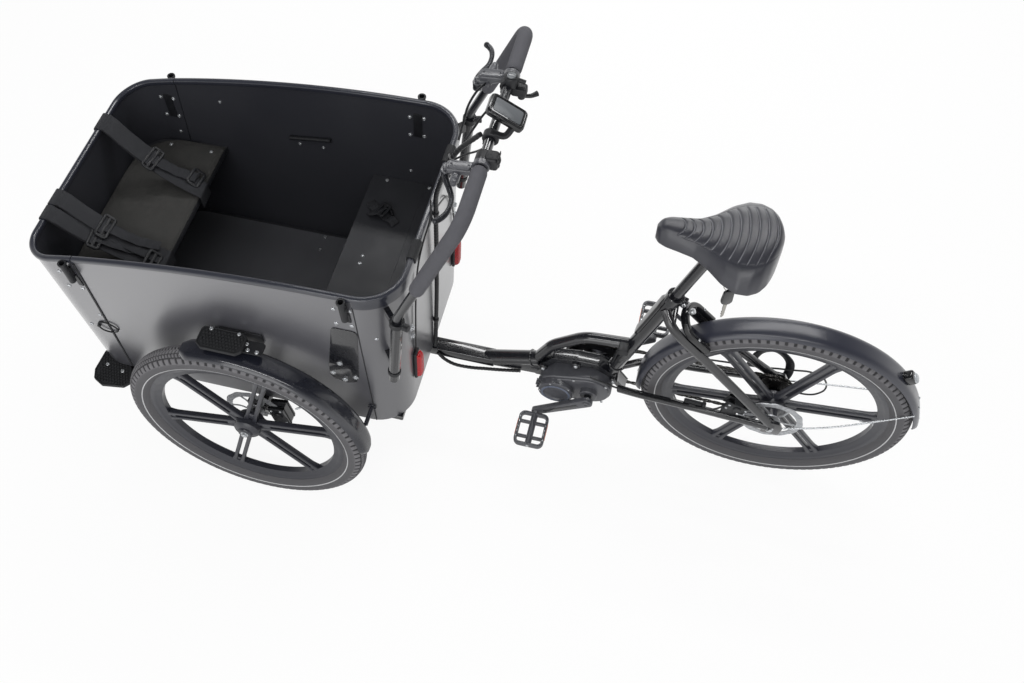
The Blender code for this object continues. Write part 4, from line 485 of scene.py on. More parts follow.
# Film-faced plywood of the benches: a pressed anti-slip grain about 2 mm wide
GRAIN = ("cells", 0.0022, 0.00006), ("noise", 0.010, 0.00003)
BOARD = finish("film-faced plywood", "#25262a", "#2f3034", 0.50, *GRAIN, patch=0.08)
# Thin sheet of the same film on the floor, painted a lighter grey than the benches' board as the floor's sheen
FLOOR_SHEET = finish("floor film with painted sheen", "#4c4d51", "#626368", 0.46, *GRAIN, patch=0.16)
# Edge trim: extruded vinyl, blue-grey, satin with a bright edge
TRIM = finish("extruded vinyl trim", "#2a2c35", "#2e3039", 0.30, coat=0.6, coat_roughness=0.14, patch=0.2,
              spread=0.01)
# Moulded nylon of clamps, lamps' bases and pods: fine spark-eroded grain
PLASTIC = finish("moulded black nylon", "#17181b", "#1e1f23", 0.45, ("noise", 0.0006, 0.00003), patch=0.02)
# Gloss ABS of screens' bezels and lamp cases
GLOSS_PLASTIC = finish("gloss black ABS", "#101114", "#131417", 0.15, ("noise", 0.005, 0.00001), coat=0.4,
                       patch=0.03)
# Cast magnesium wheels, painted satin grey
WHEEL_PAINT = finish("painted cast magnesium", "#292a31", "#32333b", 0.36, ("noise", 0.0012, 0.00003),
                     coat=0.3, coat_roughness=0.2, patch=0.03)
# Tyre rubber: dull grey on the tread's blocks, darker in the grooves as painted shade in the recesses, and darker on
# the side walls
TYRE = finish("tyre rubber", "#6a696c", "#7c7b7e", 0.85, ("noise", 0.0012, 0.00012), patch=0.03,
              groove_colour="#38383a")
# Retro-reflective band on the tyres
STRIPE = finish("reflective stripe", "#b9babb", "#cbccce", 0.35, ("cells", 0.0008, 0.00003), patch=0.01)
# Closed-cell foam sleeves of the push bar: small pores, no gloss
FOAM = finish("closed-cell foam", "#4d4d52", "#5c5c61", 0.92, ("cells", 0.0011, 0.00035),
              ("noise", 0.004, 0.0002), patch=0.012)
# Vinyl saddle cover: pebbled grain about 1 mm wide, with a light grey line along each pressed channel
SADDLE_VINYL = finish("saddle vinyl", "#26272e", "#30313a", 0.38, ("cells", 0.0013, 0.00012),
                      ("noise", 0.006, 0.00008), patch=0.02, coat=0.6, coat_roughness=0.34,
                      groove_colour="#8d8e93")
# Woven polyester of the bench pad: threads 1.2 mm apart, drawn coarse enough to show
PAD_FABRIC = finish("woven polyester", "#373736", "#4a4947", 0.95, ("bands", 0.0028, 0.0004),
                    ("noise", 0.0015, 0.0003), patch=0.010)
# Nylon webbing: ribs across the strap
WEBBING = finish("nylon webbing", "#28292d", "#35363a", 0.72, ("bands", 0.0036, 0.0004),
                 ("noise", 0.0010, 0.0002), patch=0.01)
# Zinc-plated screws, bright and a little blue
ZINC = finish("zinc-plated steel", "#d6d8da", "#bcbfc3", 0.26, ("noise", 0.0008, 0.00001), metallic=0.75,
              patch=0.004)
# Blackened steel of chainring, derailleur and rails: dark with a soft sheen
DARK_STEEL = finish("blackened steel", "#25262a", "#303136", 0.35, ("noise", 0.001, 0.00002), metallic=0.7,
                    patch=0.01)
# Brake discs: ground stainless steel, bright and slightly mottled
DISC_STEEL = finish("ground stainless steel", "#c2c4c7", "#a6a8ac", 0.34, ("noise", 0.0006, 0.00002),
                    metallic=0.55, patch=0.006)
# Anodised black aluminium of the bar's levers
ANODISED = finish("black anodised aluminium", "#2a2b2f", "#323338", 0.28, ("noise", 0.0008, 0.00001),
                  metallic=0.4, patch=0.01)
# Lamp lenses: dyed acrylic over a ribbed moulding
RED_ACRYLIC = finish("red acrylic", "#b00814", "#c8101c", 0.20, ("bands", 0.004, 0.0003), coat=0.4, patch=0.01)
# White lamp lens: clear acrylic before a faceted reflector
CLEAR_ACRYLIC = finish("clear acrylic over a reflector", "#c9cdd0", "#8f9499", 0.10, ("cells", 0.004, 0.0003),
                       coat=1.0, coat_roughness=0.03, patch=0.008)
# Pedal reflectors: amber acrylic with prisms behind it
AMBER_ACRYLIC = finish("amber reflector acrylic", "#e07a55", "#f09a78", 0.18, ("cells", 0.003, 0.0003),
                       coat=1.0, patch=0.006)
# Display glass, switched off: grey film under clear cover
SCREEN = finish("display glass", "#484c50", "#5a5e62", 0.38, coat=0.3, coat_roughness=0.25)
# Cable sheaths: smooth polyurethane
SHEATH = finish("polyurethane sheath", "#141518", "#1b1c1f", 0.38, ("noise", 0.001, 0.00002), patch=0.02)
# Soft rubber of treads and bumpers
RUBBER = finish("moulded rubber", "#1d1e20", "#27282b", 0.70, ("noise", 0.0010, 0.00008), patch=0.015)
# Die-cast aluminium of motor, brake bodies and cranks under a satin grey-black paint
CAST_PAINT = finish("painted die-cast aluminium", "#45464b", "#515257", 0.36, ("noise", 0.0010, 0.00002),
                    coat=0.5, coat_roughness=0.2, patch=0.015)
# Motor's round cover: smooth moulded shell with a blue-grey ring let into it
COVER_RING = finish("blue-grey moulded ring", "#5d6474", "#666d7d", 0.32, ("noise", 0.002, 0.00001), coat=0.3,
                    patch=0.02)
# Brass key and its steel ring read as light metal
KEY_METAL = finish("nickel-plated brass", "#b5b3ad", "#9c9a94", 0.25, ("noise", 0.0008, 0.00001), metallic=1.0,
                   patch=0.004)
# Chain and sprockets: oiled steel, dark between the bright edges
CHAIN_STEEL = finish("oiled chain steel", "#3a3a3c", "#55534f", 0.32, ("noise", 0.0008, 0.00002), metallic=0.9,
                     patch=0.006)


def dress(finish_used, *names):
    """Gives carried-over CAD nodes their finish; a name that ends in _ stands for its left and right."""
    for name in names:
        for full_name in (name + "left", name + "right") if name.endswith("_") else (name,):
            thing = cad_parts[full_name]
            thing.data.materials.clear()
            thing.data.materials.append(finish_used)
            thing.data.shade_smooth()
            thing.data.set_sharp_from_angle(angle=radians(30))


dress(FRAME_PAINT, "front_frame", "main_frame", "bar_socket_", "seat_post")
dress(BOARD, "box_floor", "front_bench", "rear_bench_lid")
dress(PLASTIC, "battery_pack", "brake_housing_", "gear_shifter", "shift_lever", "control_pad", "derailleur",
      "ring_lock", "pedal_")
dress(GLOSS_PLASTIC, "display")
dress(DARK_STEEL, "crank_", "chain", "pole_socket_rear_", "pole_socket_front_")
dress(ANODISED, "brake_lever_", "drive_motor")
dress(RUBBER, "mode_button")
dress(ZINC, "lock_knob")


# Wheels

def wheel_place(which):
    """The matrix from a wheel's own frame, axle along Y, to its place on the bike: a move times a lean."""
    if which == "rear":
        return shifted(0, 0, REAR_HUB_Z)
    sign = -1 if which == "left" else 1
    return shifted(-WHEELBASE, sign * FRONT_TRACK_HALF, FRONT_HUB_Z) @ spun(sign * CAMBER, "X")


TREAD_DEPTH = 0.0026
TREAD_PITCH = 0.0108
REAR_DISC_Y = 0.05


def step_up(value, edge, width):
    """0 below the edge, 1 above it, the slope t * t * (3 - 2t) of the given width between."""
    t = np.clip((value - edge) / width + 0.5, 0, 1)
    return t * t * (3 - 2 * t)


def tyre_form(outer):
    """Tyre and how dark it is painted: 0 on the tread's blocks, 1 in the grooves, where the darkening is painted
    shade in the recesses, about half on the side walls. The section is a circle of TYRE_RADIUS about the ring of
    radius outer - TYRE_RADIUS, down to straight beads; its angle a is 0 at the crown. A groove sinks the surface by
    TREAD_DEPTH where the distance round the wheel, bent into a zigzag by |a|, falls in a gap, and along lines at
    fixed |a|. The shoulder's blocks are twice as long and stand alone."""
    reach = pi / 2 + asin((TYRE_RADIUS - BEAD_HEIGHT) / TYRE_RADIUS)
    tread = radians(76)
    a = np.concatenate([np.linspace(-reach, -tread, 6, endpoint=False), np.linspace(-tread, tread, 47),
                        np.linspace(reach, tread, 6, endpoint=False)[::-1]])
    repeats = round(2 * pi * outer / TREAD_PITCH / 2) * 2
    u = np.arange(repeats * 8) / (repeats * 8) * 2 * pi
    angle, a = np.meshgrid(u, a, indexing="ij")
    out = np.abs(np.degrees(a))
    zigzag = 0.42 * np.abs((out / 22) % 2 - 1)
    turns = angle * repeats / (2 * pi)
    inner_gap = 1 - step_up(np.abs((turns + zigzag + 0.5 * (a > 0)) % 1 - 0.5), 0.17, 0.12)
    outer_gap = 1 - step_up(np.abs((turns / 2 + 0.25 * (a > 0)) % 1 - 0.5), 0.17, 0.08)
    gap = np.where(out < 40, inner_gap, outer_gap)
    lines = np.maximum(1 - step_up(np.abs(out - 20), 1.6, 2.2), 1 - step_up(np.abs(out - 41), 2.4, 2.4))
    depth = np.maximum(gap, lines) * (1 - step_up(out, 71, 5))
    radius = TYRE_RADIUS - TREAD_DEPTH * depth
    bead = np.full(len(u), outer - 2 * TYRE_RADIUS)
    width = np.full(len(u), BEAD_HALF_WIDTH)
    radial = np.column_stack([bead, outer - TYRE_RADIUS + radius * np.cos(a), bead])
    across = np.column_stack([-width, radius * np.sin(a), width])
    turn = u[:, None]
    points = np.stack([radial * np.cos(turn), across, radial * np.sin(turn)], axis=-1)
    # Painted shade fills the grooves; the side walls are mixed about half as dark
    shade = np.maximum(depth, 0.55 * step_up(out, 74, 8))
    return surface(points, True, True), np.pad(shade, ((0, 0), (1, 1)), mode="edge").ravel()


def stripe_form(outer, stripe_radius, side):
    """A band 2.6 mm wide lying on the tyre's side wall, where the wall has the stripe's radius."""
    ring = outer - TYRE_RADIUS
    middle = acos((stripe_radius - ring) / TYRE_RADIUS)
    reach = 0.0013 / TYRE_RADIUS
    profile = []
    for lift, a in ((0.0003, -reach), (0.0003, 0), (0.0003, reach), (-0.0004, reach), (-0.0004, -reach)):
        t = TYRE_RADIUS + lift
        profile.append((ring + t * cos(middle + a), side * t * sin(middle + a)))
    return moved(turned(profile, 160, True), AXLE_TURN)


def rim_form(outer):
    """Rim ring, a profile turned about the axle: lips beside the tyre's bead, a well below it, and a waist
    where the ribs meet it."""
    seat = outer - 2 * TYRE_RADIUS - 0.0004
    flange = BEAD_HALF_WIDTH + 0.0004
    lip = seat + BEAD_HEIGHT - 0.0006
    base = seat - 0.024
    half = [(seat, 0), (seat, flange), (lip - 0.0006, flange), (lip, flange + 0.0008), (lip + 0.0002, flange + 0.002),
            (lip - 0.0006, flange + 0.0034), (seat - 0.004, flange + 0.0034), (seat - 0.0085, flange + 0.0016),
            (seat - 0.014, 0.01), (base + 0.0015, 0.0092), (base, 0.008)]
    return moved(turned(half + [(r, -h) for r, h in reversed(half[1:])], 144, True), AXLE_TURN)


def rib_form(base, turn):
    """Six pairs of ribs with a slot between. A rib's width is 1 + flare times its least, the flare a sum of
    two bell curves, one at the hub and one at the rim."""
    share = np.linspace(0, 1, 28)
    radius = 0.022 + (base + 0.004 - 0.022) * share
    flare = 0.55 * np.exp(-((1 - share) / 0.07) ** 2) + 0.35 * np.exp(-(share / 0.1) ** 2)
    scales = np.stack([1 + flare, 1 + 0.5 * flare], axis=1)
    forms = []
    for side in (-1, 1):
        path = np.stack([side * (0.01 + 0.0016 * flare), np.zeros(28), radius], axis=1)
        forms.append(sweep(path, soft_rectangle(0.0104, 0.015, 0.0028, 3), RIGHT, scales))
    for height, reach in ((base - 0.002, 0.01), (0.05, 0.012)):
        forms.append(block((0.022, 0.0125, reach * 2), (0, 0, height), 0.002))
    return scattered(join(*forms), [spun(turn + pi / 3 * i, "Y") for i in range(6)])


def hub_form(half, side):
    """Hub barrel, a profile turned about the axle, and the six bolts of the disc's flange in a circle."""
    end = [(0, 0), (0.016, 0), (0.018, 0.002), (0.019, 0.006), (0.03, 0.01), (0.034, 0.014)]
    profile = [(r, step - half) for r, step in end] + [(0.035, 0)] + [(r, half - step) for r, step in end[::-1]]
    bolts = [facing((0.026 * cos(t), side * (half - 0.0125), 0.026 * sin(t)), (0, side, 0))
             for t in np.arange(6) * pi / 3]
    return join(moved(turned(profile), AXLE_TURN), scattered(puck(0.0028, 0, 0.004, 0.0006, 6), bolts))


def disc_form(side, offset, outer, inner):
    """Brake disc: a wavy-edged ring with four rows of drilled holes on six slanted arms. The ring is a
    grid in angle and radius with the holes' cells left out, given its thickness afterwards."""
    columns = 216
    rows = 13
    angle, share = np.meshgrid(np.arange(columns) / columns * 2 * pi, np.linspace(0, 1, rows), indexing="ij")
    radius = inner + (outer - 0.0012 + 0.0012 * np.cos(angle * 12) - inner) * share
    points = np.stack([radius * np.cos(angle), radius * np.sin(angle), 0 * radius], axis=-1).reshape(-1, 3)
    column = np.repeat(np.arange(columns), rows - 1)
    row = np.tile(np.arange(rows - 1), columns)
    hole = (row % 3 == 1) & ((column + row * 2) % 6 < 2)
    quads = grid_faces(columns, rows, True, False)[~hole]
    count = len(points)
    edges = np.concatenate([quads[:, [0, 1]], quads[:, [1, 2]], quads[:, [2, 3]], quads[:, [3, 0]]])
    key = edges[:, 0] * count + edges[:, 1]
    back = edges[:, 1] * count + edges[:, 0]
    border = edges[~np.isin(key, back)]
    walls = np.stack([border[:, 0], border[:, 1], border[:, 1] + count, border[:, 0] + count], axis=1)
    half = np.array((0, 0, 0.0011))
    ring = (np.concatenate([points + half, points - half]), [quads, quads[:, ::-1] + count, walls])
    arm_path = smooth([(0.02, 0, 0), (0.04, 0.006, 0), (0.063, 0.002, 0)], 6)
    arm = sweep(arm_path, soft_rectangle(0.005, 0.0022, 0.0006, 2))
    arms = scattered(arm, [spun(pi / 3 * i, "Z") for i in range(6)])
    boss = turned([(0.0105, -0.0016), (0.024, -0.0016), (0.024, 0.0016), (0.0105, 0.0016)], 48, True)
    return moved(join(ring, arms, boss), shifted(0, side * offset, 0) @ AXLE_TURN)


VALVE = turned([(0, -0.034), (0.0022, -0.034), (0.0026, -0.03), (0.0028, -0.029), (0.0028, -0.018), (0.0022, -0.017),
                (0.0022, 0), (0.0055, 0), (0.0055, 0.002), (0, 0.002)], 20)

for which, outer, stripe, body, half, disc_side in (
        ("left", FRONT_WHEEL_RADIUS, 0.2725, "left_front_wheel", 0.034, 1),
        ("right", FRONT_WHEEL_RADIUS, 0.2725, "right_front_wheel", 0.034, -1),
        ("rear", REAR_WHEEL_RADIUS, 0.2995, "back_wheel", 0.03, -1)):
    rear = which == "rear"
    place = wheel_place(which)
    tyre_node = "rear_tyre" if rear else "front_tyre_" + which
    wheel_node = "rear_wheel" if rear else "front_wheel_" + which
    rim_foot = outer - 2 * TYRE_RADIUS - 0.024
    tyre, grooves = tyre_form(outer)
    make(which + "_tyre_treaded", moved(tyre, place), TYRE, body, [tyre_node], groove=grooves)
    stripes = join(stripe_form(outer, stripe, -1), stripe_form(outer, stripe, 1))
    make(which + "_tyre_stripes", moved(stripes, place), STRIPE, body)
    casting = [rim_form(outer), rib_form(rim_foot, radians(23 if rear else 19)), hub_form(half, disc_side)]
    if rear:
        casting.append(rod((0, -0.028, 0), (0, 0.001 - REAR_DISC_Y, 0), 0.0185, 0.001, 40))
    make(which + "_wheel_casting", moved(join(*casting), place), WHEEL_PAINT, body, [wheel_node])
    disc = disc_form(disc_side, *((REAR_DISC_Y, 0.082, 0.065) if rear else (0.041, 0.08, 0.062)))
    make(which + "_brake_disc", moved(disc, place), DISC_STEEL, body, [wheel_node])
    valve_turn = spun(radians(0 if rear else -41), "Y")
    valve_place = place @ valve_turn @ shifted(rim_foot - 0.0005, 0, 0) @ spun(pi / 2, "Y")
    make("valve_" + which, moved(VALVE, valve_place), ZINC, body)


# Box walls

def box_plan(front, rear, half, seam, part, straight=22, corner=20):
    """The rear or front U of the box in plan: straight runs and quarter circles of the corner's radius.
    Columns are x, y and the outward normal."""
    direction = 1 if part == "rear" else -1
    end_x = rear if part == "rear" else front
    radius = BOX_CORNER if part == "rear" else BOX_FRONT_CORNER
    corner_x = end_x - direction * radius
    none = np.zeros(straight)
    x = np.linspace(seam, corner_x, straight, endpoint=False)
    run = np.stack([x, none - half, none, none - 1], axis=1)
    angle = np.linspace(0, pi / 2, corner + 1)
    bend = np.stack([corner_x + direction * radius * np.sin(angle), -(half - radius) - radius * np.cos(angle),
                     direction * np.sin(angle), -np.cos(angle)], axis=1)
    near = np.vstack([run, bend])
    y = np.linspace(-(half - radius), half - radius, straight + 2)[1:-1]
    end = np.stack([none + end_x, y, none + direction, none], axis=1)
    return np.vstack([near, end, near[::-1] * (1, -1, 1, -1)])


def share_at(z):
    """0 at the foot of the walls, 1 at the rim's highest point."""
    return (z - WALL_BOTTOM) / (RIM_HIGHEST - WALL_BOTTOM)


def wall_at(low, high, z):
    """A wall's place at a height: from low at its foot to high at the rim, in a straight line."""
    return low + (high - low) * share_at(z)


def side_face(z, out=0.0):
    """Distance of the side wall's outer face from the middle at a height, plus out."""
    return wall_at(BOX_FLOOR_HALF, BOX_TOP_HALF, z) + WALL / 2 + out


def rear_face(z):
    """X of the rear wall's outer face at a height."""
    return wall_at(BOX_FLOOR_REAR, BOX_TOP_REAR, z) + WALL / 2


def rim_height(x):
    """The top edge falls as the square of the distance from RIM_HIGHEST_X."""
    return RIM_HIGHEST - RIM_FALL * (x - RIM_HIGHEST_X) ** 2


def wall_forms(part, gap):
    """Wall sheet and trim: plan lines at floor and rim height joined by straight rulings, the top cut along
    the rim curve. The sheet is split into an outer and an inner half of its thickness."""
    low = box_plan(BOX_FLOOR_FRONT, BOX_FLOOR_REAR, BOX_FLOOR_HALF, SEAM_LOW_X - gap, part)
    high = box_plan(BOX_TOP_FRONT, BOX_TOP_REAR, BOX_TOP_HALF, SEAM_HIGH_X - gap, part)
    edge = rim_height(high[:, 0])
    top = share_at(edge - 0.0086)

    def at(share, shift):
        """The plan at a share of the height, moved outwards by shift."""
        plan = low[:, :2] + (high[:, :2] - low[:, :2]) * share[:, None] + low[:, 2:] * shift
        return np.column_stack([plan, WALL_BOTTOM + (RIM_HIGHEST - WALL_BOTTOM) * share])

    heights = [top * k / 12 for k in range(13)]
    halves = []
    for outer, inner in ((WALL / 2, 0), (0, -WALL / 2)):
        rows = [at(h, outer) for h in heights] + [at(h, inner) for h in reversed(heights)]
        halves.append(surface(np.stack(rows, axis=1), False, True, True))
    centre = at(share_at(edge), 0)
    outward = np.column_stack([low[:, 2:], 0 * top])

    def carried(profile, keep=slice(None)):
        """A profile (outward, upward) at every point of the rim."""
        ring = centre[keep, None] + profile[None, :, :1] * outward[keep, None]
        return surface(ring + profile[None, :, 1:] * np.array(UP), False, True, True)

    trim = carried(soft_rectangle(0.014, 0.016, 0.0055, 5))
    if part == "rear":
        band = soft_rectangle(0.0037, 0.03, 0.0015, 3) + (0.0052, -0.012)
        trim = join(trim, carried(band, high[:, 0] > -0.975))
    return halves[0], halves[1], trim


for part, gap, body, node_name, rim_name in (("rear", 0, "front_unit", "box_shell", "box_rim"),
                                             ("front", DOOR_GAP, "door", "front_door", "door_rim")):
    outside, inside, trim = wall_forms(part, gap)
    make(part + "_wall_outside", outside, WALL_OUTSIDE, body, [node_name])
    make(part + "_wall_inside", inside, WALL_INSIDE, body, [node_name])
    make(part + "_edge_trim", trim, TRIM, body, [rim_name])


# Fenders

FENDER_HALF_WIDTH = 0.031


def fender_form(radius, start, end, steps):
    """Fender: a section with a broad crown, rounded shoulders and a rolled lip, carried round the wheel's
    axle from angle start to end; its last 25 mm at both ends narrows along a quarter ellipse."""
    v = np.linspace(-1, 1, 25)
    drop = 0.0005 * v ** 2 + 0.0115 * np.abs(v) ** 5
    outer = np.stack([v * FENDER_HALF_WIDTH, -drop], axis=1)
    inner = np.stack([v[::-1] * (FENDER_HALF_WIDTH - 0.0022), -drop[::-1] - 0.0026], axis=1)
    lip = np.array([(FENDER_HALF_WIDTH + 0.0004, -0.0135), (FENDER_HALF_WIDTH - 0.0014, -0.0152)])
    section = np.vstack([outer, lip, inner, lip[::-1] * (-1, 1)])
    angle = np.linspace(start, end, steps)[:, None]
    along = np.minimum(angle - start, end - angle) * radius
    width = 0.35 + 0.65 * np.sqrt(1 - (1 - np.clip(along / 0.025, 0.12, 1)) ** 2)
    height = radius + section[:, 1]
    points = np.stack([height * np.cos(angle), section[:, 0] * width, height * np.sin(angle)], axis=-1)
    return surface(points, False, True, True)


def at_wheel(place, radius, angle, side):
    """A point in a wheel's own frame, as a place on the bike: matrix times point."""
    return place @ Vector((radius * cos(angle), side, radius * sin(angle)))


for side, sign in SIDES:
    place = wheel_place(side)
    parts = [moved(fender_form(0.326, radians(2), radians(109), 90), place)]
    for angle in (radians(14), radians(96)):
        inner = at_wheel(place, 0.322, angle, -sign * 0.026)
        wall_y = sign * side_face(inner.z, 0.0003)
        parts.append(rod(inner, (inner.x, wall_y, inner.z), 0.0055))
        parts.append(rod((inner.x, wall_y + sign * 0.003, inner.z), (inner.x, wall_y, inner.z), 0.012))
    make("front_fender_shell_" + side, join(*parts), FENDER_GLOSS, "front_unit",
         ["front_fender_" + side])

rear_place = wheel_place("rear")
guard = moved(fender_form(0.352, radians(8), radians(186), 150), rear_place)
stays = []
for sign in (-1, 1):
    top = at_wheel(rear_place, 0.342, radians(22), sign * 0.0295)
    path = smooth([(0.0252, sign * 0.072, 0.332), (0.15, sign * 0.06, 0.378), tuple(top)], 10)
    stays.append(sweep(path, oval(0.0024, sides=12)))
tongue = rod((-0.2384, 0, 0.5839), (-0.2914, 0, 0.6386), 0.005)
make("rear_fender_shell", join(guard, tongue), FENDER_PAINT, "rear_frame", ["rear_fender"])
make("rear_fender_stays", join(*stays), ZINC, "rear_frame", ["rear_fender"])


# Saddle

def saddle_form():
    """Saddle top and where light grey lines lie along its channels: half width w(s) along its length; across it the
    crown falls as (1 - |u|^3.4)^0.72 from a ridge that dips behind the nose. Eleven channels are pressed in along
    bows x = x0 - bow * u^2, each a smooth notch, and end at the seam inside a smooth puffed border. The underside is
    a shallow dish."""
    nose, tail = -0.377, -0.1205
    shares = (0, 0.03, 0.1, 0.2, 0.33, 0.45, 0.58, 0.7, 0.8, 0.88, 0.94, 0.985, 1)
    widths = (0.01, 0.023, 0.032, 0.038, 0.047, 0.068, 0.1, 0.1175, 0.1165, 0.104, 0.081, 0.047, 0.022)
    s = (1 - np.cos(np.linspace(0, pi, 301))) / 2 * 0.35 + np.linspace(0, 1, 301) * 0.65
    dense = np.linspace(0, 1, 241)
    rough = np.interp(dense, shares, widths)
    kernel = np.hanning(15)
    kernel /= kernel.sum()
    padded = np.concatenate([2 * rough[0] - rough[7:0:-1], rough, 2 * rough[-1] - rough[-2:-9:-1]])
    half = np.interp(s, dense, np.maximum(np.convolve(padded, kernel, "valid"), 0.004))[:, None]
    s, u = np.meshgrid(s, -np.cos(np.linspace(0, pi, 121)), indexing="ij")
    x = nose + (tail - nose) * s
    ridge = 0.9745 + 0.032 * s ** 2 - 0.008 * np.exp(-((s - 0.38) / 0.2) ** 2)
    end_drop = 0.02 * (np.exp(-s / 0.035) + np.exp(-(1 - s) / 0.03))
    skirt = 0.931
    z = skirt + (ridge - end_drop - skirt) * (1 - np.abs(u) ** 3.4) ** 0.72
    spacing = 0.0715
    phase = (s + 0.13 * u ** 2 - 0.225) / spacing
    away = np.abs(phase - np.clip(np.round(phase), 0, 10)) * spacing * (tail - nose)
    fade = step_up(0.64 - np.abs(u), 0, 0.08) * step_up(s, 0.175, 0.04) * (1 - step_up(s, 0.955, 0.02))
    puff = 0.0012 * np.abs(np.sin(pi * phase)) ** 0.5
    z = z - fade * (0.0026 * np.exp(-(away / 0.0016) ** 2) + 0.0012 - puff)
    # A light grey line is mixed into the colour along each channel's bottom
    channel_line = np.exp(-(away / 0.0009) ** 2) * fade
    z = z - np.exp(-((np.abs(u) - 0.67) / 0.016) ** 2) * 0.0012 * step_up(s, 0.2, 0.08)
    top = np.stack([x, half * u, z], axis=-1)
    lows = []
    for edge in (top[:, [-1]], top[:, [0]]):
        points = np.repeat(edge, 3, axis=1) * [(1, 0.98, 1), (1, 0.93, 1), (1, 0.86, 1)]
        points[:, :, 2] = (0.9285, 0.9255, 0.9255)
        lows.append(points)
    rings = np.concatenate([top, lows[0], lows[1][:, ::-1]], axis=1)
    return surface(rings, False, True, True), np.pad(channel_line, ((0, 0), (0, 6))).ravel()


saddle_top, channel_lines = saddle_form()
saddle = make("saddle_cover", saddle_top, SADDLE_VINYL, "seat", ["saddle"], 50, channel_lines)


# Push bar and its foam

BAR_FOOT = np.array((-0.8965, 0.295, 0.598))
BAR_SOCKET_TOP = np.array((-0.863, 0.295, 0.855))
BAR_CORNER = np.array((-0.718, 0.264, 1.183))
GRIP_END_Y = 0.131
BAR_BEND = 0.045
bar_low = BAR_FOOT + (BAR_SOCKET_TOP - BAR_FOOT) * 0.35
bar_kink = BAR_FOOT + (BAR_SOCKET_TOP - BAR_FOOT) * 1.05
flip_y = np.array((1, -1, 1))
bar_corners = [bar_low * flip_y, bar_kink * flip_y, BAR_CORNER * flip_y, BAR_CORNER, bar_kink, bar_low]
make("push_bar_tube", sweep(filleted(bar_corners, BAR_BEND, 12), oval(0.01, sides=28)), FRAME_PAINT, "front_unit",
     ["handlebar"])

rise = (bar_kink - BAR_CORNER) / np.linalg.norm(bar_kink - BAR_CORNER)
foam_corners = [BAR_CORNER + rise * 0.24, BAR_CORNER, (BAR_CORNER[0], GRIP_END_Y, BAR_CORNER[2])]
foam_path = spaced(filleted(foam_corners, BAR_BEND, 16), 120)
ends = np.minimum(np.arange(120), np.arange(120)[::-1])
foam_scale = np.where(ends < 3, 0.8 + 0.2 * np.sqrt(np.clip(ends / 3, 0, 1)), 1.0)
foam = sweep(foam_path, oval(0.016, sides=32), scales=foam_scale)
for sleeve in pair("foam_sleeve", foam, FOAM, "front_unit", "grip"):
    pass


# Small fasteners and straps

def screw_head(point, normal, radius, rise):
    """Button-head screw: a dome whose height falls as the root of 1 - (r / radius)^2.4, with a round socket."""
    dent = [(0, rise * 0.25), (radius * 0.4, rise * 0.25), (radius * 0.42, rise * 0.85)]
    dome = [(radius * share, rise * sqrt(max(1 - share ** 2.4, 0))) for share in np.linspace(0.48, 1, 8)]
    return moved(turned(dent + dome + [(radius, -0.0008), (0, -0.0008)], 20), facing(point, normal))


def screws(points, normal, radius, rise):
    """The same screw at several points."""
    return join(*[screw_head(point, normal, radius, rise) for point in points])


def hex_bolt(point, normal, across, rise, washer):
    """Hexagon head on a washer: a profile turned in six steps on one turned in 24."""
    head = [(0, rise), (across * 0.48, rise), (across * 0.56, rise * 0.85), (across * 0.577, 0.0012), (0, 0.0012)]
    disc = [(0, 0.0012), (washer, 0.0012), (washer + 0.0003, 0.0008), (washer + 0.0003, -0.0006), (0, -0.0006)]
    return moved(join(turned(head, 6), turned(disc, 24)), facing(point, normal))


SIDE_LEAN = (BOX_TOP_HALF - BOX_FLOOR_HALF) / (RIM_HIGHEST - WALL_BOTTOM)


def wall_point(x, z, outward, sign=1):
    """A point on the box's side wall, outward metres from the sheet's middle, and the wall's normal."""
    return (x, sign * (side_face(z, outward) - WALL / 2), z), (0, sign, -SIDE_LEAN)


def wall_screws(places, outward, radius, rise):
    """Screws on the right side wall's outside at several (x, z)."""
    return join(*[screw_head(*wall_point(x, z, outward), radius, rise) for x, z in places])


def strap_form(knots, width, steps=10, ripple=0.0):
    """Flat webbing along a curve through the knots (x, y, z): a soft rectangle carried flat side down, with
    ripple * sin(21 t) * sin(pi t) added to its height so that it waves along its length."""
    path = smooth(knots, steps)
    share = np.linspace(0, 1, len(path))
    path[:, 2] += ripple * np.sin(share * 21.0) * np.sin(share * pi)
    return sweep(path, soft_rectangle(width, 0.0022, 0.00099, 3))


def slider_form(centre, along, across, width, depth=0.026):
    """Ladder slider in the strap's plane: a flat bar round a soft rectangle, and a middle bar across it."""
    along = np.array(along, float) / np.linalg.norm(along)
    across = np.array(across, float) - along * (np.array(across) @ along)
    across /= np.linalg.norm(across)
    plan = soft_rectangle(width, depth, 0.005, 4)
    ring = np.array(centre) + plan[:, :1] * across + plan[:, 1:] * along
    normal = np.cross(across, along)
    ends = np.array(centre) + np.array((-0.5, 0.5))[:, None] * width * across
    return join(sweep(ring, soft_rectangle(0.0078, 0.005, 0.002, 3), normal, closed=True),
                sweep(np.linspace(ends[0], ends[1], 4), soft_rectangle(0.008, 0.004, 0.0016, 3), normal))


PAD_TOP = 0.6153
RIM_TOP_FRONT = float(rim_height(BOX_TOP_FRONT)) + 0.008
# Each strap's place across the rim and at the bench's edge, its width, and how far down its slider sits
HARNESS = {"right": ((0.1375, 0.109, 0.052, 0.46),),
           "left": ((-0.108, -0.115, 0.046, 0.3), (-0.1545, -0.137, 0.04, 0.3))}

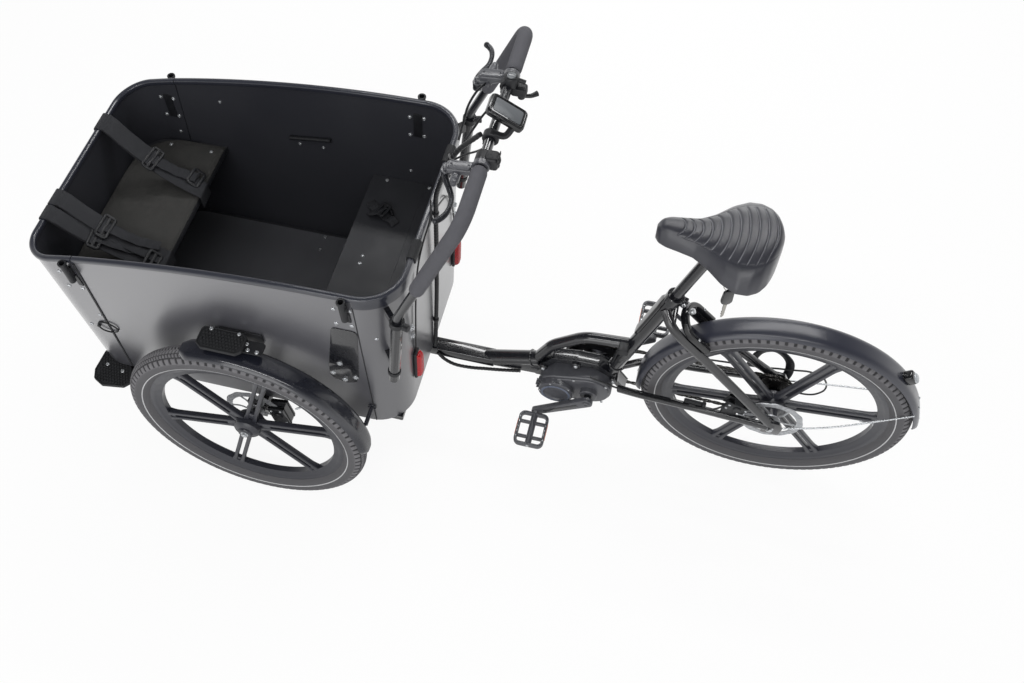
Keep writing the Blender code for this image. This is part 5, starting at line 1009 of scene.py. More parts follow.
for side, straps in HARNESS.items():
    webs = []
    sliders = []
    for k, (rim_y, edge_y, width, slider_share) in enumerate(straps):
        over = [(x, rim_y, RIM_TOP_FRONT + rise) for x, rise in
                ((-1.7735, -0.062), (-1.7765, -0.018), (-1.7745, -0.001), (-1.767, 0.0032), (-1.757, -0.001))]
        over.append((-1.744, rim_y * 0.995, RIM_TOP_FRONT - 0.014))
        start = np.array(over[-1])
        edge_x = FRONT_BENCH_REAR - (0.02 if k else 0)
        last = np.array((edge_x - 0.024, edge_y, PAD_TOP + 0.0125))
        slope = last - start
        sag = [start + slope * t - (0, 0, 0.02 * 4 * t * (1 - t)) for t in (0.25, 0.5, 0.75)]
        bends = ((-0.006, 0.0045), (0.0035, -0.002), (0.0042, -0.018), (0.004, -0.04))
        if k:
            bends = ((-0.01, 0.004), (0.006, 0.003))
        down = [last] + [(edge_x + x, edge_y, PAD_TOP + rise) for x, rise in bends]
        webs.append(strap_form(over + sag + down, width, ripple=0.0015))
        # A second ply doubles back from the slider over the first
        slide = sag[0] * (1 - slider_share) + sag[2] * slider_share
        lift = np.array((slope[2], 0, -slope[0]))
        lift *= 0.0034 / np.linalg.norm(lift) * np.sign(lift[2])
        ply = [point + lift for point in (over[4], over[5], sag[0], slide)]
        webs.append(strap_form(ply, width * 0.96, ripple=0.0012))
        tongue = [slide + lift, sag[2] + lift * 1.6 + (0, 0.01, 0), last + lift * 1.8 + (0.002, 0.02, 0.002)]
        webs.append(strap_form(tongue, width * 0.55, ripple=0.002))
        sliders.append(slider_form(slide + lift, slope, RIGHT, width + 0.012))
        if k == 0:
            foot = last + lift * 0.6 + (0.002, 0.022 * np.sign(edge_y), 0.0015)
            sliders.append(slider_form(foot, slope, (0, 1, 0.05), 0.044, 0.03))
    make("harness_webbing_" + side, join(*webs), WEBBING, "front_unit", ["harness_" + side])
    make("harness_sliders_" + side, join(*sliders), PLASTIC, "front_unit")


def pad_form():
    """Front bench pad: a plan grid (s across, t along) whose front edge follows a superellipse, puffed by
    (1 - |s|^6)(1 - |t|^6) to the 1/3, with two broad wrinkles and a sewn border 11 mm in."""
    (low_x, low_y, low_z), (high_x, high_y, high_z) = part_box("front_bench_pad")
    middle_y = (low_y + high_y) / 2
    half_y = (high_y - low_y) / 2
    s, t = np.meshgrid(np.linspace(-1, 1, 90), np.linspace(0, 1, 70), indexing="ij")
    rear_x = high_x - 0.001
    depth = (rear_x - low_x) * (1 - np.abs(s) ** 5.5) ** (1 / 3.2) + 0.0004
    side = middle_y + s * half_y * (0.985 + 0.015 * t)
    x = rear_x - depth * t
    edge = np.minimum(1 - np.abs(s) ** 6, 1 - np.clip(np.abs(2 * t - 1), 0, 1) ** 8)
    puff = np.clip(edge, 0, 1) ** (1 / 3)
    border = np.minimum((1 - np.abs(s)) * half_y, np.minimum(t, 1 - t) * np.maximum(depth, 0.001))
    sewn = np.exp(-((border - 0.011) / 0.0022) ** 2)
    wrinkle = 0.0022 * np.sin(6 * s + 4 * t) * np.sin(3.1 * t) + 0.0012 * np.sin(17 * t + 5 * s)
    top_z = low_z + 0.0035 + (high_z - low_z - 0.0035) * puff + wrinkle * puff ** 4 - 0.0016 * sewn
    top = np.stack([x, side, top_z], axis=-1)
    bottom = np.stack([x, side, low_z + 0.0035 * (1 - puff)], axis=-1)
    return surface(np.concatenate([top, bottom[:, ::-1]], axis=1) - SHIFT, False, True, True)


pad = make("bench_pad_cover", pad_form(), PAD_FABRIC, "front_unit", ["front_bench_pad"], 60)

# Strap left lying on the rear bench
crumple = [(-1.106, 0.182, 0.604), (-1.092, 0.166, 0.6105), (-1.075, 0.158, 0.607), (-1.062, 0.148, 0.614),
           (-1.048, 0.141, 0.606), (-1.035, 0.134, 0.612), (-1.022, 0.126, 0.605)]
folds = [(-1.098, 0.15, 0.6045), (-1.08, 0.142, 0.616), (-1.062, 0.16, 0.6185), (-1.046, 0.166, 0.61),
         (-1.034, 0.152, 0.6045)]
make("loose_strap", join(strap_form(crumple, 0.024, 14), strap_form(folds, 0.022, 14)), WEBBING, "bench_lid")
make("loose_strap_slider", slider_form((-1.06, 0.152, 0.6215), (1, -0.4, 0), (0.4, 1, 0.1), 0.034, 0.022),
     PLASTIC, "bench_lid")


# Steps: rubber mats with rows of studs, on arms, and screws

def studs(low, high, z, pitch, size, height, inside):
    """Rows of small pyramids without tips, every second row shifted by half a pitch."""
    x = np.arange(low[0], high[0], pitch)
    places = [shifted(each + (pitch / 2 if k % 2 else 0), y, z)
              for k, y in enumerate(np.arange(low[1], high[1], pitch)) for each in x]
    places = [place for place in places if inside(place[0][3], place[1][3])]
    ring = np.array([(1, 1), (-1, 1), (-1, -1), (1, -1)]) * size / 2
    rows = [np.column_stack([ring * scale, np.full(4, rise)])
            for scale, rise in ((1, -0.0006), (1, height * 0.6), (0.7, height))]
    return scattered(surface(np.array(rows), False, True, True), places)


def within(outline, margin):
    """Tells whether a point lies inside an anticlockwise convex outline: its distance from every edge,
    along the edge's normal, has to be over margin."""
    outline = np.array(outline, float)
    edge = np.roll(outline, -1, axis=0) - outline
    normal = np.stack([-edge[:, 1], edge[:, 0]], axis=1) / np.linalg.norm(edge, axis=1, keepdims=True)
    level = (normal * outline).sum(axis=1)
    return lambda x, y: bool(np.all(normal @ (x, y) - level > margin))


def tread_form(plan, fillet, top, sunk, low, high, pitch, size, height):
    """A mat sunk below its top, with a soft rim swept along its edge and studs between low and high."""
    edge = rounded(plan, fillet)
    rim = np.column_stack([inset(edge, 0.002), np.full(len(edge), top - 0.0022)])
    return join(slab(edge, top - 0.01, top - sunk, 0.0015),
                sweep(rim, soft_rectangle(0.0036, 0.0044, 0.0012, 3), closed=True),
                studs(low, high, top - sunk - 0.0002, pitch, size, height, within(plan, 0.0065)))


STEP_TOP = FRONT_HUB_Z + 0.326 + 0.0238
step_wall = side_face(STEP_TOP, 0.0003)
step_plan = [(-0.053, 0.0105), (0.042, 0.0105), (0.055, 0.02), (0.055, 0.058), (0.042, 0.069), (-0.042, 0.069),
             (-0.058, 0.057), (-0.058, 0.02)]
step_plan = [(x - WHEELBASE, step_wall + out) for x, out in step_plan]
step_tread = tread_form(step_plan, 0.006, STEP_TOP, 0.0022, (-1.352, step_wall + 0.012),
                        (-1.24, step_wall + 0.068), 0.0078, 0.0056, 0.0024)
arm_z = STEP_TOP - 0.012
arm_y = side_face(arm_z, 0.0003)
step_arm = join(block((0.066, 0.034, 0.004), (-1.229, 0.3185, arm_z), 0.008, 0.001),
                block((0.07, 0.034, 0.006), (0.011 - WHEELBASE, arm_y + 0.0172, arm_z), 0.004, 0.0012),
                block((0.07, 0.004, 0.036), tilted((0.046 - WHEELBASE, arm_y + 0.0022, arm_z - 0.0135), x=-0.022),
                      0.0015, 0.001))
step_screws = join(screws([(x, y, arm_z + 0.0022) for x, y in
                           ((-1.2394, 0.3127), (-1.232, 0.3273), (-1.2094, 0.3285))], UP, 0.0052, 0.003),
                   screws([(x, step_wall + 0.016, STEP_TOP + 0.0002) for x in (-1.262, -1.33)], UP, 0.0048, 0.0026))
pair("fender_step_mat", step_tread, RUBBER, "front_unit", "fender_step")
pair("fender_step_arm", step_arm, PLASTIC, "front_unit", "fender_step")
pair("fender_step_screws", step_screws, ZINC, "front_unit")

FRONT_STEP_TOP = 0.2945
FRAME_BOTTOM = 0.2793
RAIL_Y = BOX_FLOOR_HALF - 0.034
front_plan = [(0.005, -0.026), (0.022, -0.041), (0.046, -0.046), (0.096, 0.005), (0.112, 0.049), (0.098, 0.065),
              (0.04, 0.073), (0.012, 0.059), (0.002, 0.033)]
front_plan = [(BOX_FLOOR_FRONT + x, BOX_FLOOR_HALF + out) for x, out in front_plan]
front_tread = tread_form(front_plan, 0.008, FRONT_STEP_TOP, 0.0024, (BOX_FLOOR_FRONT, BOX_FLOOR_HALF - 0.045),
                         (BOX_FLOOR_FRONT + 0.112, BOX_FLOOR_HALF + 0.073), 0.008, 0.0058, 0.0026)
arm_start = RAIL_Y - 0.025
arm_end = BOX_FLOOR_HALF + 0.016
front_arm = join(block((0.04, arm_end - arm_start, 0.006),
                       (BOX_FLOOR_FRONT + 0.102, (arm_start + arm_end) / 2, FRAME_BOTTOM - 0.0033), 0.002, 0.001),
                 block((0.03, 0.02, 0.014), (BOX_FLOOR_FRONT + 0.097, BOX_FLOOR_HALF + 0.005, FRAME_BOTTOM + 0.0007),
                       0.002, 0.001))
front_screws = screws([(BOX_FLOOR_FRONT + x, BOX_FLOOR_HALF + out, FRONT_STEP_TOP)
                       for x, out in ((0.03, 0.012), (0.078, 0.022))], UP, 0.005, 0.0028)
pair("front_step_mat", front_tread, RUBBER, "front_unit", "front_step")
pair("front_step_arm", front_arm, FRAME_PAINT, "front_unit", "front_step")
pair("front_step_screws", front_screws, ZINC, "front_unit")


# Lamps

def lamp_lens():
    """A grid in width u and height v; its face bulges as (1 - u^6)^0.5 times (1 - v^10)^0.5, with upright
    flutes that follow cos(7 pi u), over a flat back."""
    u = np.linspace(-1, 1, 41)
    v = np.linspace(-1, 1, 45)[:, None]
    depth = 0.0125 * (1 - np.abs(u) ** 6) ** 0.5 + 0.0004 * np.cos(u * pi * 7)
    face = np.stack([0.0085 + depth * (1 - np.abs(v) ** 10) ** 0.5, u * 0.0105 + 0 * v, v * 0.051 + 0 * u], axis=-1)
    back = face * (0, 1, 1) + (0.008, 0, 0)
    return surface(np.concatenate([face, back[:, ::-1]], axis=1), False, True, True)


LAMP_Z = 0.47
lamp_lean = atan((BOX_TOP_REAR - BOX_FLOOR_REAR) / (RIM_HIGHEST - WALL_BOTTOM))
for side, sign in SIDES:
    place = tilted((rear_face(LAMP_Z), sign * 0.176, LAMP_Z), y=lamp_lean)
    base = block((0.0085, 0.026, 0.115), place @ shifted(0.0046, 0, 0), 0.0035, 0.003, 5)
    make("tail_lamp_base_" + side, base, PLASTIC, "front_unit", ["tail_lamp_" + side])
    make("tail_lamp_lens_" + side, moved(lamp_lens(), place), RED_ACRYLIC, "front_unit",
         ["tail_lamp_" + side])

# The fender's lamp sits at this angle round the rear wheel
lamp_angle = radians(8 + 3.5 * 178 / 18)
place = tilted(np.mean(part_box("rear_lamp"), axis=0) - SHIFT, y=pi / 2 - lamp_angle)
case = block((0.032, 0.027, 0.023), place, 0.007, 0.005, 5)
foot = block((0.036, 0.02, 0.003), place @ shifted(0, 0, -0.0102), 0.006, 0.001, 5)
lens = block((0.023, 0.025, 0.015), place @ shifted(0.006, 0, 0.0075), 0.009, 0.006, 5)
make("rear_lamp_case", join(case, foot), GLOSS_PLASTIC, "rear_frame", ["rear_lamp"])
make("rear_lamp_lens", lens, CLEAR_ACRYLIC, "rear_frame")


# Pole sockets, side strips, catches and the screws of the box

OUTSIDE = WALL / 2
INSIDE = -WALL / 2 - 0.0002
# Body, the tube's x, the plate's x and z, the gap between its screws along x, and its tilt
SOCKETS = {"rear": ("front_unit", -0.98, -0.9925, 0.806, 0.036, 0.06),
           "front": ("door", -1.642, -1.664, 0.716, 0.035, 0.02)}
SOCKET_BORE = [(0.0062, -0.034), (0.0062, 0.034), (0.0066, 0.0343), (0.0076, 0.0343), (0.008, 0.0338),
               (0.008, -0.0338), (0.0076, -0.0343), (0.0066, -0.0343)]
SOCKET_FLANGE = [(0.0064, 0.03), (0.0064, 0.035), (0.0094, 0.035), (0.01, 0.0344), (0.01, 0.0306), (0.0094, 0.03)]
for where, (body, tube_x, plate_x, plate_z, gap_x, tilt) in SOCKETS.items():
    gap_z = 0.06
    top = float(rim_height(tube_x))
    plate_y = wall_point(plate_x, plate_z, OUTSIDE + 0.0018)[0][1]
    sleeve_y = side_face(top, 0.0125)
    backing = moved(upright(slab(soft_rectangle(0.022, gap_z + 0.018, 0.003, 4), -0.0008, 0.0008, 0.0005)),
                    tilted(wall_point(plate_x + 0.002, plate_z + 0.004, -WALL / 2 - 0.001)[0], x=-0.022, y=tilt))
    sleeve = join(turned(SOCKET_BORE, 28, True), turned(SOCKET_FLANGE, 32, True))
    socket = join(backing, block((0.012, 0.003, 0.046), tilted((tube_x, plate_y, plate_z + 0.01), x=-0.022)),
                  moved(sleeve, (tube_x, sleeve_y, top - 0.028)),
                  moved(turned([(0, -0.001), (0.0064, -0.001), (0.0064, 0.001), (0, 0.001)], 20),
                        (tube_x, sleeve_y, top - 0.052)),
                  block((0.008, sleeve_y - plate_y + 0.001, 0.034),
                        (tube_x, (sleeve_y + plate_y) / 2, top - 0.039)),
                  moved(turned([(0, 0.0012), (0.005, 0.001), (0.0056, 0), (0, 0)], 16),
                        facing((tube_x + 0.008, sleeve_y, top - 0.02), (1, 0, 0))))
    heads = []
    for dx in (-1, 1):
        for dz in (-1, 1):
            x = plate_x + dx * gap_x / 2 + dz * gap_z / 2 * tan(tilt)
            z = plate_z + dz * gap_z / 2 + dx * gap_x / 2 * tan(tilt)
            heads.append(screw_head(*wall_point(x, z, OUTSIDE + 0.0002), 0.0054, 0.0032))
            heads.append(screw_head(wall_point(x, z, INSIDE)[0], (0, -1, 0), 0.0054, 0.003))
    pair("pole_socket_plate_" + where, socket, PLASTIC, body, "pole_socket_" + where)
    pair("pole_socket_screws_" + where, join(*heads), ZINC, body)

strip_edge = [(-1.028, 0.752), (-1.066, 0.56), (-1.07, 0.515), (-1.058, 0.494), (-1.032, 0.488), (-1.006, 0.5),
              (-0.994, 0.535), (-0.968, 0.752)]
strip, strip_faces = slab(rounded(strip_edge, 0.012), -0.0011, 0.0011, 0.0008)
strip = np.stack([strip[:, 0], side_face(strip[:, 1], 0.0013) + strip[:, 2], strip[:, 1]], axis=1)
strip_bolts = [hex_bolt(*wall_point(x, z, OUTSIDE + 0.0026), 0.008, 0.0042, 0.0072)
               for x, z in ((-1.035, 0.585), (-1.06, 0.53), (-1.004, 0.528), (-1.034, 0.505))]
catch_screws = wall_screws(((-1.652, 0.564), (-1.698, 0.505)), OUTSIDE, 0.0048, 0.0026)
# One screw sits on the rear corner's bend, at an angle round it from the side wall
bend, bend_z = 0.45, 0.7225
bend_out = BOX_CORNER + WALL / 2
corner_screw = screw_head((wall_at(BOX_FLOOR_REAR, BOX_TOP_REAR, bend_z) - BOX_CORNER + bend_out * sin(bend),
                           wall_at(BOX_FLOOR_HALF, BOX_TOP_HALF, bend_z) - BOX_CORNER + bend_out * cos(bend),
                           bend_z), (sin(bend), cos(bend), 0), 0.0048, 0.0026)
# The corner's own sheet ends in an upright edge beside the strip
corner_line = [wall_point(x, z, OUTSIDE + 0.0004)[0] for x, z in np.linspace((-0.964, 0.855), (-0.982, 0.3), 12)]
corner_seam = sweep(corner_line, soft_rectangle(0.0026, 0.0016, 0.0006, 2), RIGHT)
# A rubber edge on the fixed wall closes the door's seam
seam_line = [wall_point(wall_at(SEAM_LOW_X, SEAM_HIGH_X, z) - 0.0006, z, OUTSIDE + 0.0012)[0]
             for z in np.linspace(0.302, 0.794, 14)]
seam_edge = sweep(seam_line, soft_rectangle(0.0052, 0.0018, 0.0007, 2), RIGHT)
# An elastic loop holds the door shut: it lies round the post on the door and the screw behind the seam
turn = full_turn(60)
loop_path = np.stack([-1.65 + 0.0255 * np.cos(turn), side_face(0.511, 0.0032) + 0.0008 * np.sin(turn * 2),
                      0.5105 + 0.0215 * np.sin(turn)], axis=1)
post_y = loop_path[0, 1]
catch = join(sweep(loop_path, oval(0.0019, sides=12), RIGHT, closed=True),
             rod((-1.674, post_y - 0.0032, 0.5105), (-1.674, post_y + 0.003, 0.5105), 0.0042))
pair("side_strip", (strip, strip_faces), FRAME_PAINT, "front_unit")
pair("side_strip_bolts", join(*strip_bolts), ZINC, "front_unit")
pair("corner_seam", corner_seam, PLASTIC, "front_unit")
pair("door_seam_edge", seam_edge, RUBBER, "front_unit")
pair("side_screws", corner_screw, ZINC, "front_unit")
pair("catch_screws", catch_screws, ZINC, "door")
pair("door_catch", catch, RUBBER, "door")

heads = []
door_heads = []
bars = []
for sign in (-1, 1):
    for x, z in ((-1.514, 0.766), (-1.022, 0.643), (-1.318, 0.666), (-1.254, 0.668)):
        heads.append(screw_head(wall_point(x, z, INSIDE, sign)[0], (0, -sign, 0), 0.0046, 0.0024))
    door_heads.append(screw_head(wall_point(-1.66, 0.628, INSIDE, sign)[0], (0, -sign, 0), 0.0046, 0.0024))
    start, end = (wall_point(x, z, -WALL / 2 - 0.0065, sign)[0] for x, z in ((-1.339, 0.69), (-1.227, 0.706)))
    bars.append(rod(start, end, 0.006, 0.001, 20))
inside_screws = join(*heads, screws([(-0.972, y, BENCH_TOP) for y in (0.262, -0.262)], UP, 0.0048, 0.0024),
                     screws([(x, y, FLOOR_TOP + 0.0014) for x, y in
                             ((-1.3015, 0.25), (-1.302, 0.205), (-1.3015, -0.205), (-1.302, -0.25))],
                            UP, 0.0052, 0.0026),
                     screws([(x, y, PAD_TOP - 0.001) for x in (-1.675, -1.562) for y in (-0.236, 0.236)],
                            UP, 0.005, 0.0026))
lid_screws = screws([(x, y, BENCH_TOP) for x, y in
                     ((-1.086, 0.262), (-1.086, -0.262), (-1.073, 0.015), (-1.073, -0.008))], UP, 0.0048, 0.0024)
make("bench_lid_screws", lid_screws, ZINC, "bench_lid")
make("inside_screws", inside_screws, ZINC, "front_unit")
make("door_screws", join(*door_heads), ZINC, "door")
make("ledge_bars", join(*bars), PLASTIC, "front_unit")
# The floor's lighter film, a painted sheen, between the front wall and the locker's panel
sheet_front = BOX_FLOOR_FRONT + 0.012
sheet_plan = rounded([(LOCKER_FACE_X, -0.258), (LOCKER_FACE_X, 0.258), (sheet_front, 0.258), (sheet_front, -0.258)],
                     0.085)
make("floor_sheet", slab(sheet_plan, FLOOR_TOP + 0.0002, FLOOR_TOP + 0.0014, 0.0004, 2), FLOOR_SHEET, "front_unit")

# Sleeves of vinyl over the rear rim, and the two hex fittings on each rear corner
rim_z = float(rim_height(BOX_TOP_REAR))
sleeves = [sweep(np.linspace((BOX_TOP_REAR, y - 0.025, rim_z), (BOX_TOP_REAR, y + 0.025, rim_z), 5),
                 soft_rectangle(0.021, 0.023, 0.008, 5)) for y in (0.142, -0.134)]
make("rim_sleeves", join(*sleeves), RUBBER, "front_unit")
fittings = [hex_bolt((rear_face(z), y, z), (1, 0, 0.05), 0.011, 0.006, 0.009)
            for z in (0.616, 0.652) for y in (-0.186, 0.186)]
make("corner_fittings", join(*fittings), ZINC, "front_unit")


# Cords: hoses and cables on their routes

def cord(name, body, diameter, points, knots, replaces=(), wrap=0.0):
    """A round cord along a smooth curve through the knots. With wrap, its radius dips along a helix
    s / wrap + angle, as a spiral sleeve's edge does."""
    path = spaced(smooth(knots, 16), points)
    dense = spaced(smooth(path, 12), (points - 1) * 8 + 1)
    angle = full_turn(16)
    radius = np.full((len(dense), 16), diameter / 2)
    if wrap:
        length = path_length(dense)
        dense = spaced(dense, int(length / wrap * 9))
        along = np.linspace(0, length, len(dense))
        turn = (along[:, None] / wrap + angle[None] / (2 * pi)) % 1
        radius = diameter / 2 * (1 - 0.13 * (1 - step_up(np.abs(turn - 0.5), 0.14, 0.1)))
    profile = np.stack([radius * np.cos(angle), radius * np.sin(angle)], axis=-1)
    piece = make(name, sweep(dense, profile, (0.3, 0.9, 0.2)), SHEATH, body, replaces)
    return piece


LOOP = [(-0.89, -0.0252, 0.2705), (-0.872, -0.026, 0.244), (-0.842, -0.027, 0.228), (-0.8, -0.027, 0.229),
        (-0.76, -0.0265, 0.238), (-0.715, -0.0255, 0.248), (-0.66, -0.0235, 0.262)]
loop = cord("steering_loop", None, 0.0096, 30, LOOP, ["frame_cable"], 0.01)
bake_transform(loop)
cord("wrapped_bundle", "front_unit", 0.011, 36,
     [(-0.744, -0.03, 1.166), (-0.8, -0.026, 1.09), (-0.846, -0.022, 0.96), (-0.856, -0.018, 0.88),
      (-0.866, -0.012, 0.74), (-0.878, -0.01, 0.56), (-0.89, -0.012, 0.4), (-0.896, -0.014, 0.318),
      (-0.897, -0.015, 0.291)], ["wrapped_cable"], 0.012)
cord("brake_hose_right", "front_unit", 0.005, 18,
     [(-0.768, 0.112, 1.159), (-0.782, 0.09, 1.156), (-0.792, 0.055, 1.146), (-0.794, 0.02, 1.13),
      (-0.797, -0.006, 1.11)])
cord("brake_hose_left", "front_unit", 0.005, 18,
     [(-0.768, -0.112, 1.159), (-0.784, -0.098, 1.154), (-0.796, -0.076, 1.14), (-0.803, -0.052, 1.115),
      (-0.808, -0.04, 1.09)])
cord("shift_cable", "front_unit", 0.0048, 18,
     [(-0.722, 0.094, 1.166), (-0.738, 0.078, 1.15), (-0.758, 0.048, 1.138), (-0.776, 0.014, 1.118),
      (-0.792, -0.01, 1.096)])
cord("display_cable", "front_unit", 0.0042, 18,
     [(-0.706, -0.04, 1.178), (-0.722, -0.048, 1.16), (-0.745, -0.05, 1.14), (-0.772, -0.046, 1.118),
      (-0.798, -0.036, 1.086)])
cord("lamp_cable_left", "front_unit", 0.004, 30,
     [(-0.862, -0.026, 0.93), (-0.856, -0.06, 0.905), (-0.86, -0.105, 0.88), (-0.866, -0.14, 0.83),
      (-0.872, -0.16, 0.74), (-0.878, -0.17, 0.64), (-0.884, -0.175, 0.545), (-0.887, -0.176, 0.528)])
cord("lamp_cable_right", "front_unit", 0.004, 30,
     [(-0.864, 0, 0.86), (-0.866, 0.045, 0.835), (-0.869, 0.1, 0.79), (-0.873, 0.14, 0.72), (-0.879, 0.165, 0.63),
      (-0.884, 0.174, 0.545), (-0.887, 0.176, 0.528)])
cord("rear_brake_hose", "rear_frame", 0.005, 26,
     [(-0.47, -0.05, 0.352), (-0.42, -0.056, 0.345), (-0.36, -0.062, 0.34), (-0.28, -0.069, 0.346),
      (-0.2, -0.073, 0.351), (-0.15, -0.071, 0.358), (-0.12, -0.06, 0.372)])
cord("derailleur_cable", "rear_frame", 0.0048, 40,
     [(-0.42, 0.052, 0.338), (-0.34, 0.062, 0.342), (-0.24, 0.071, 0.35), (-0.14, 0.078, 0.352),
      (-0.05, 0.084, 0.352), (0, 0.094, 0.346), (0.043, 0.102, 0.341), (0.082, 0.105, 0.344),
      (0.118, 0.106, 0.331), (0.138, 0.106, 0.3), (0.14, 0.105, 0.266), (0.12, 0.104, 0.238), (0.09, 0.102, 0.233),
      (0.058, 0.1, 0.242), (0.032, 0.097, 0.262)])
clip = turned([(0.0056, -0.0045), (0.0068, -0.0045), (0.0074, -0.0038), (0.0074, 0.0038), (0.0068, 0.0045),
               (0.0056, 0.0045)], 28, True)
clips = scattered(clip, [facing((-0.8565, -0.018, 0.875), (-0.12, 0.07, -1)),
                         facing((-0.872, -0.011, 0.65), (-0.07, 0, -1)),
                         facing((-0.8885, -0.0118, 0.42), (-0.07, 0, -1))])
make("bundle_clips", clips, PLASTIC, "front_unit")


# Brake controls, shifter, pad and display on the push bar

BAR_X, BAR_Z = BAR_CORNER[0], BAR_CORNER[2]
LEVER_PIVOT = np.array((-0.79, 0.119, 1.1425))


def on_bar(x, y, z):
    """A place given from the bar's middle line."""
    return BAR_X + x, y, BAR_Z + z


def clamp_form(y, width):
    """A split clamp round the bar with rounded edges and its bolt lug below: a ring turned about the bar."""
    return join(about(hoop(0.0108, 0.0165, width / 2, 0.0018, 40), (BAR_X, BAR_Z), y),
                block((0.012, width * 0.86, 0.012), tilted(on_bar(-0.009, y, -0.015), y=0.5), 0.002),
                screw_head(on_bar(-0.015, y, -0.0165), (-0.85, 0, -0.5), 0.0032, 0.002))


def brake_housing_form():
    """Master cylinder: clamp, an arm swept along a curve to the lever's pivot, a barrel with a domed cap, a
    reservoir cover and the hose's fitting."""
    pivot_x, pivot_y, pivot_z = LEVER_PIVOT
    arm_path = smooth([on_bar(-0.01, 0.1185, -0.006), (BAR_X - 0.034, 0.1195, 1.167), (-0.776, 0.1192, 1.158),
                       (pivot_x, pivot_y, pivot_z + 0.015)], 10)
    share = np.linspace(0, 1, len(arm_path))
    arm = sweep(arm_path, soft_rectangle(0.0165, 0.0145, 0.006, 5),
                scales=1 - 0.22 * share + 0.1 * np.sin(share * pi))
    barrel = turned([(0, 0), (0.0066, 0), (0.0084, 0.0018), (0.0088, 0.006), (0.0088, 0.04), (0.0078, 0.043),
                     (0.0062, 0.044), (0.0062, 0.05), (0.0048, 0.052), (0, 0.0524)], 36)
    lid = [block((0.058, 0.025, 0.015), tilted((BAR_X - 0.04, 0.124, 1.169), y=-0.1), 0.008, 0.004, 5),
           block((0.046, 0.02, 0.004), tilted((BAR_X - 0.041, 0.124, 1.1775), y=-0.1), 0.006, 0.0015, 4)]
    fork = scattered(puck(0.0094, -0.0016, 0.0016, 0.0006, 28),
                     [shifted(pivot_x, pivot_y, z) for z in (1.1345, 1.1505)])
    return join(arm, moved(barrel, facing((BAR_X - 0.047, 0.112, 1.16), (0.05, 0.98, 0.1))), *lid,
                rod((BAR_X - 0.047, 0.1135, 1.1598), (BAR_X - 0.048, 0.102, 1.1588), 0.004, 0.0006, 6),
                rod((pivot_x, pivot_y, 1.132), (pivot_x, pivot_y, 1.164), 0.0046, 0.0012, 20), fork,
                clamp_form(0.1185, 0.015),
                screws([(BAR_X - 0.041 + x, 0.124, 1.1796 + x * 0.1) for x in (-0.017, 0.017)], (-0.1, 0, 1),
                       0.0024, 0.0014))


def brake_lever_form(plan):
    """Lever blade: a flattened oval along a hooked curve through the plan's points, narrowed as a bell curve
    near its middle, ending in a ball; the inner end is an eye round the pivot."""
    z = LEVER_PIVOT[2]
    path = smooth([(x, y, z) for x, y in plan], 10)
    share = np.linspace(0, 1, len(path))[:, None]
    width = 0.0066 - 0.0016 * np.exp(-((share - 0.55) / 0.25) ** 2)
    angle = full_turn(20)
    blade = sweep(path, np.stack([width * np.cos(angle), 0.0048 * np.sin(angle) + 0 * width], axis=-1))
    t = np.linspace(0, pi, 13)
    ball = turned(np.column_stack([0.0064 * np.sin(t), -0.0064 * np.cos(t)]), 24)
    return join(blade, moved(ball, (plan[-1][0] - 0.0012, plan[-1][1] + 0.001, z)),
                moved(hoop(0.0048, 0.0092, 0.0052, 0.001, 32), LEVER_PIVOT))


pair("brake_master", brake_housing_form(), CAST_PAINT, "front_unit", "brake_housing")
# The right lever is set further from the bar than the left one
LEVER_PLANS = {"left": [(-0.79, 0.122), (-0.785, 0.136), (-0.773, 0.156), (-0.763, 0.176), (-0.7605, 0.196),
                        (-0.7625, 0.214), (-0.7685, 0.227), (-0.776, 0.2355)],
               "right": [(-0.792, 0.124), (-0.7945, 0.136), (-0.7895, 0.157), (-0.7815, 0.179), (-0.7805, 0.2),
                         (-0.7845, 0.218), (-0.791, 0.228), (-0.7985, 0.2345)]}
for side, sign in SIDES:
    make("brake_blade_" + side, sided(brake_lever_form(LEVER_PLANS[side]), sign), ANODISED, side + "_brake_lever",
         ["brake_lever_" + side])

SHIFTER_Y = 0.094
dial = turned([(0, 0.0262), (0.0105, 0.0262), (0.0125, 0.0252), (0.0137, 0.0232), (0.0137, 0.004), (0, 0.004)], 40)
shifter = join(clamp_form(SHIFTER_Y, 0.02), moved(dial, on_bar(0.006, SHIFTER_Y, 0)),
               block((0.032, 0.0236, 0.02), on_bar(0.0215, SHIFTER_Y, -0.0084), 0.006, 0.004),
               rod(on_bar(0.008, SHIFTER_Y + 0.003, 0.0172), on_bar(0.034, SHIFTER_Y + 0.003, 0.011), 0.0045))
make("shifter_body", shifter, PLASTIC, "front_unit", ["gear_shifter"])
window = turned([(0, 0.0008), (0.0086, 0.0008), (0.009, 0.0004), (0.009, -0.0004), (0, -0.0004)], 32)
make("shifter_window", moved(window, on_bar(0.006, SHIFTER_Y, 0.0264)), SCREEN, "front_unit")
make("shifter_pointer", block((0.01, 0.0014, 0.0006), on_bar(0.006, SHIFTER_Y, 0.0274), 0.0006, 0.0002), STRIPE,
     "front_unit")
thumb_path = smooth([on_bar(0.026, SHIFTER_Y, -0.0235), on_bar(0.044, SHIFTER_Y + 0.004, -0.0235),
                     on_bar(0.056, SHIFTER_Y + 0.014, -0.0235)], 12)
swell = 1 + 0.5 * np.linspace(0, 1, len(thumb_path)) ** 2
thumb_eye = turned([(0, -0.005), (0.0068, -0.005), (0.0075, -0.0042), (0.0075, 0.0042), (0.0068, 0.005),
                    (0, 0.005)], 28)
thumb = join(sweep(thumb_path, soft_rectangle(0.0084, 0.0078, 0.0034, 4), scales=swell * 0.9),
             moved(thumb_eye, on_bar(0.026, SHIFTER_Y, -0.0235)))
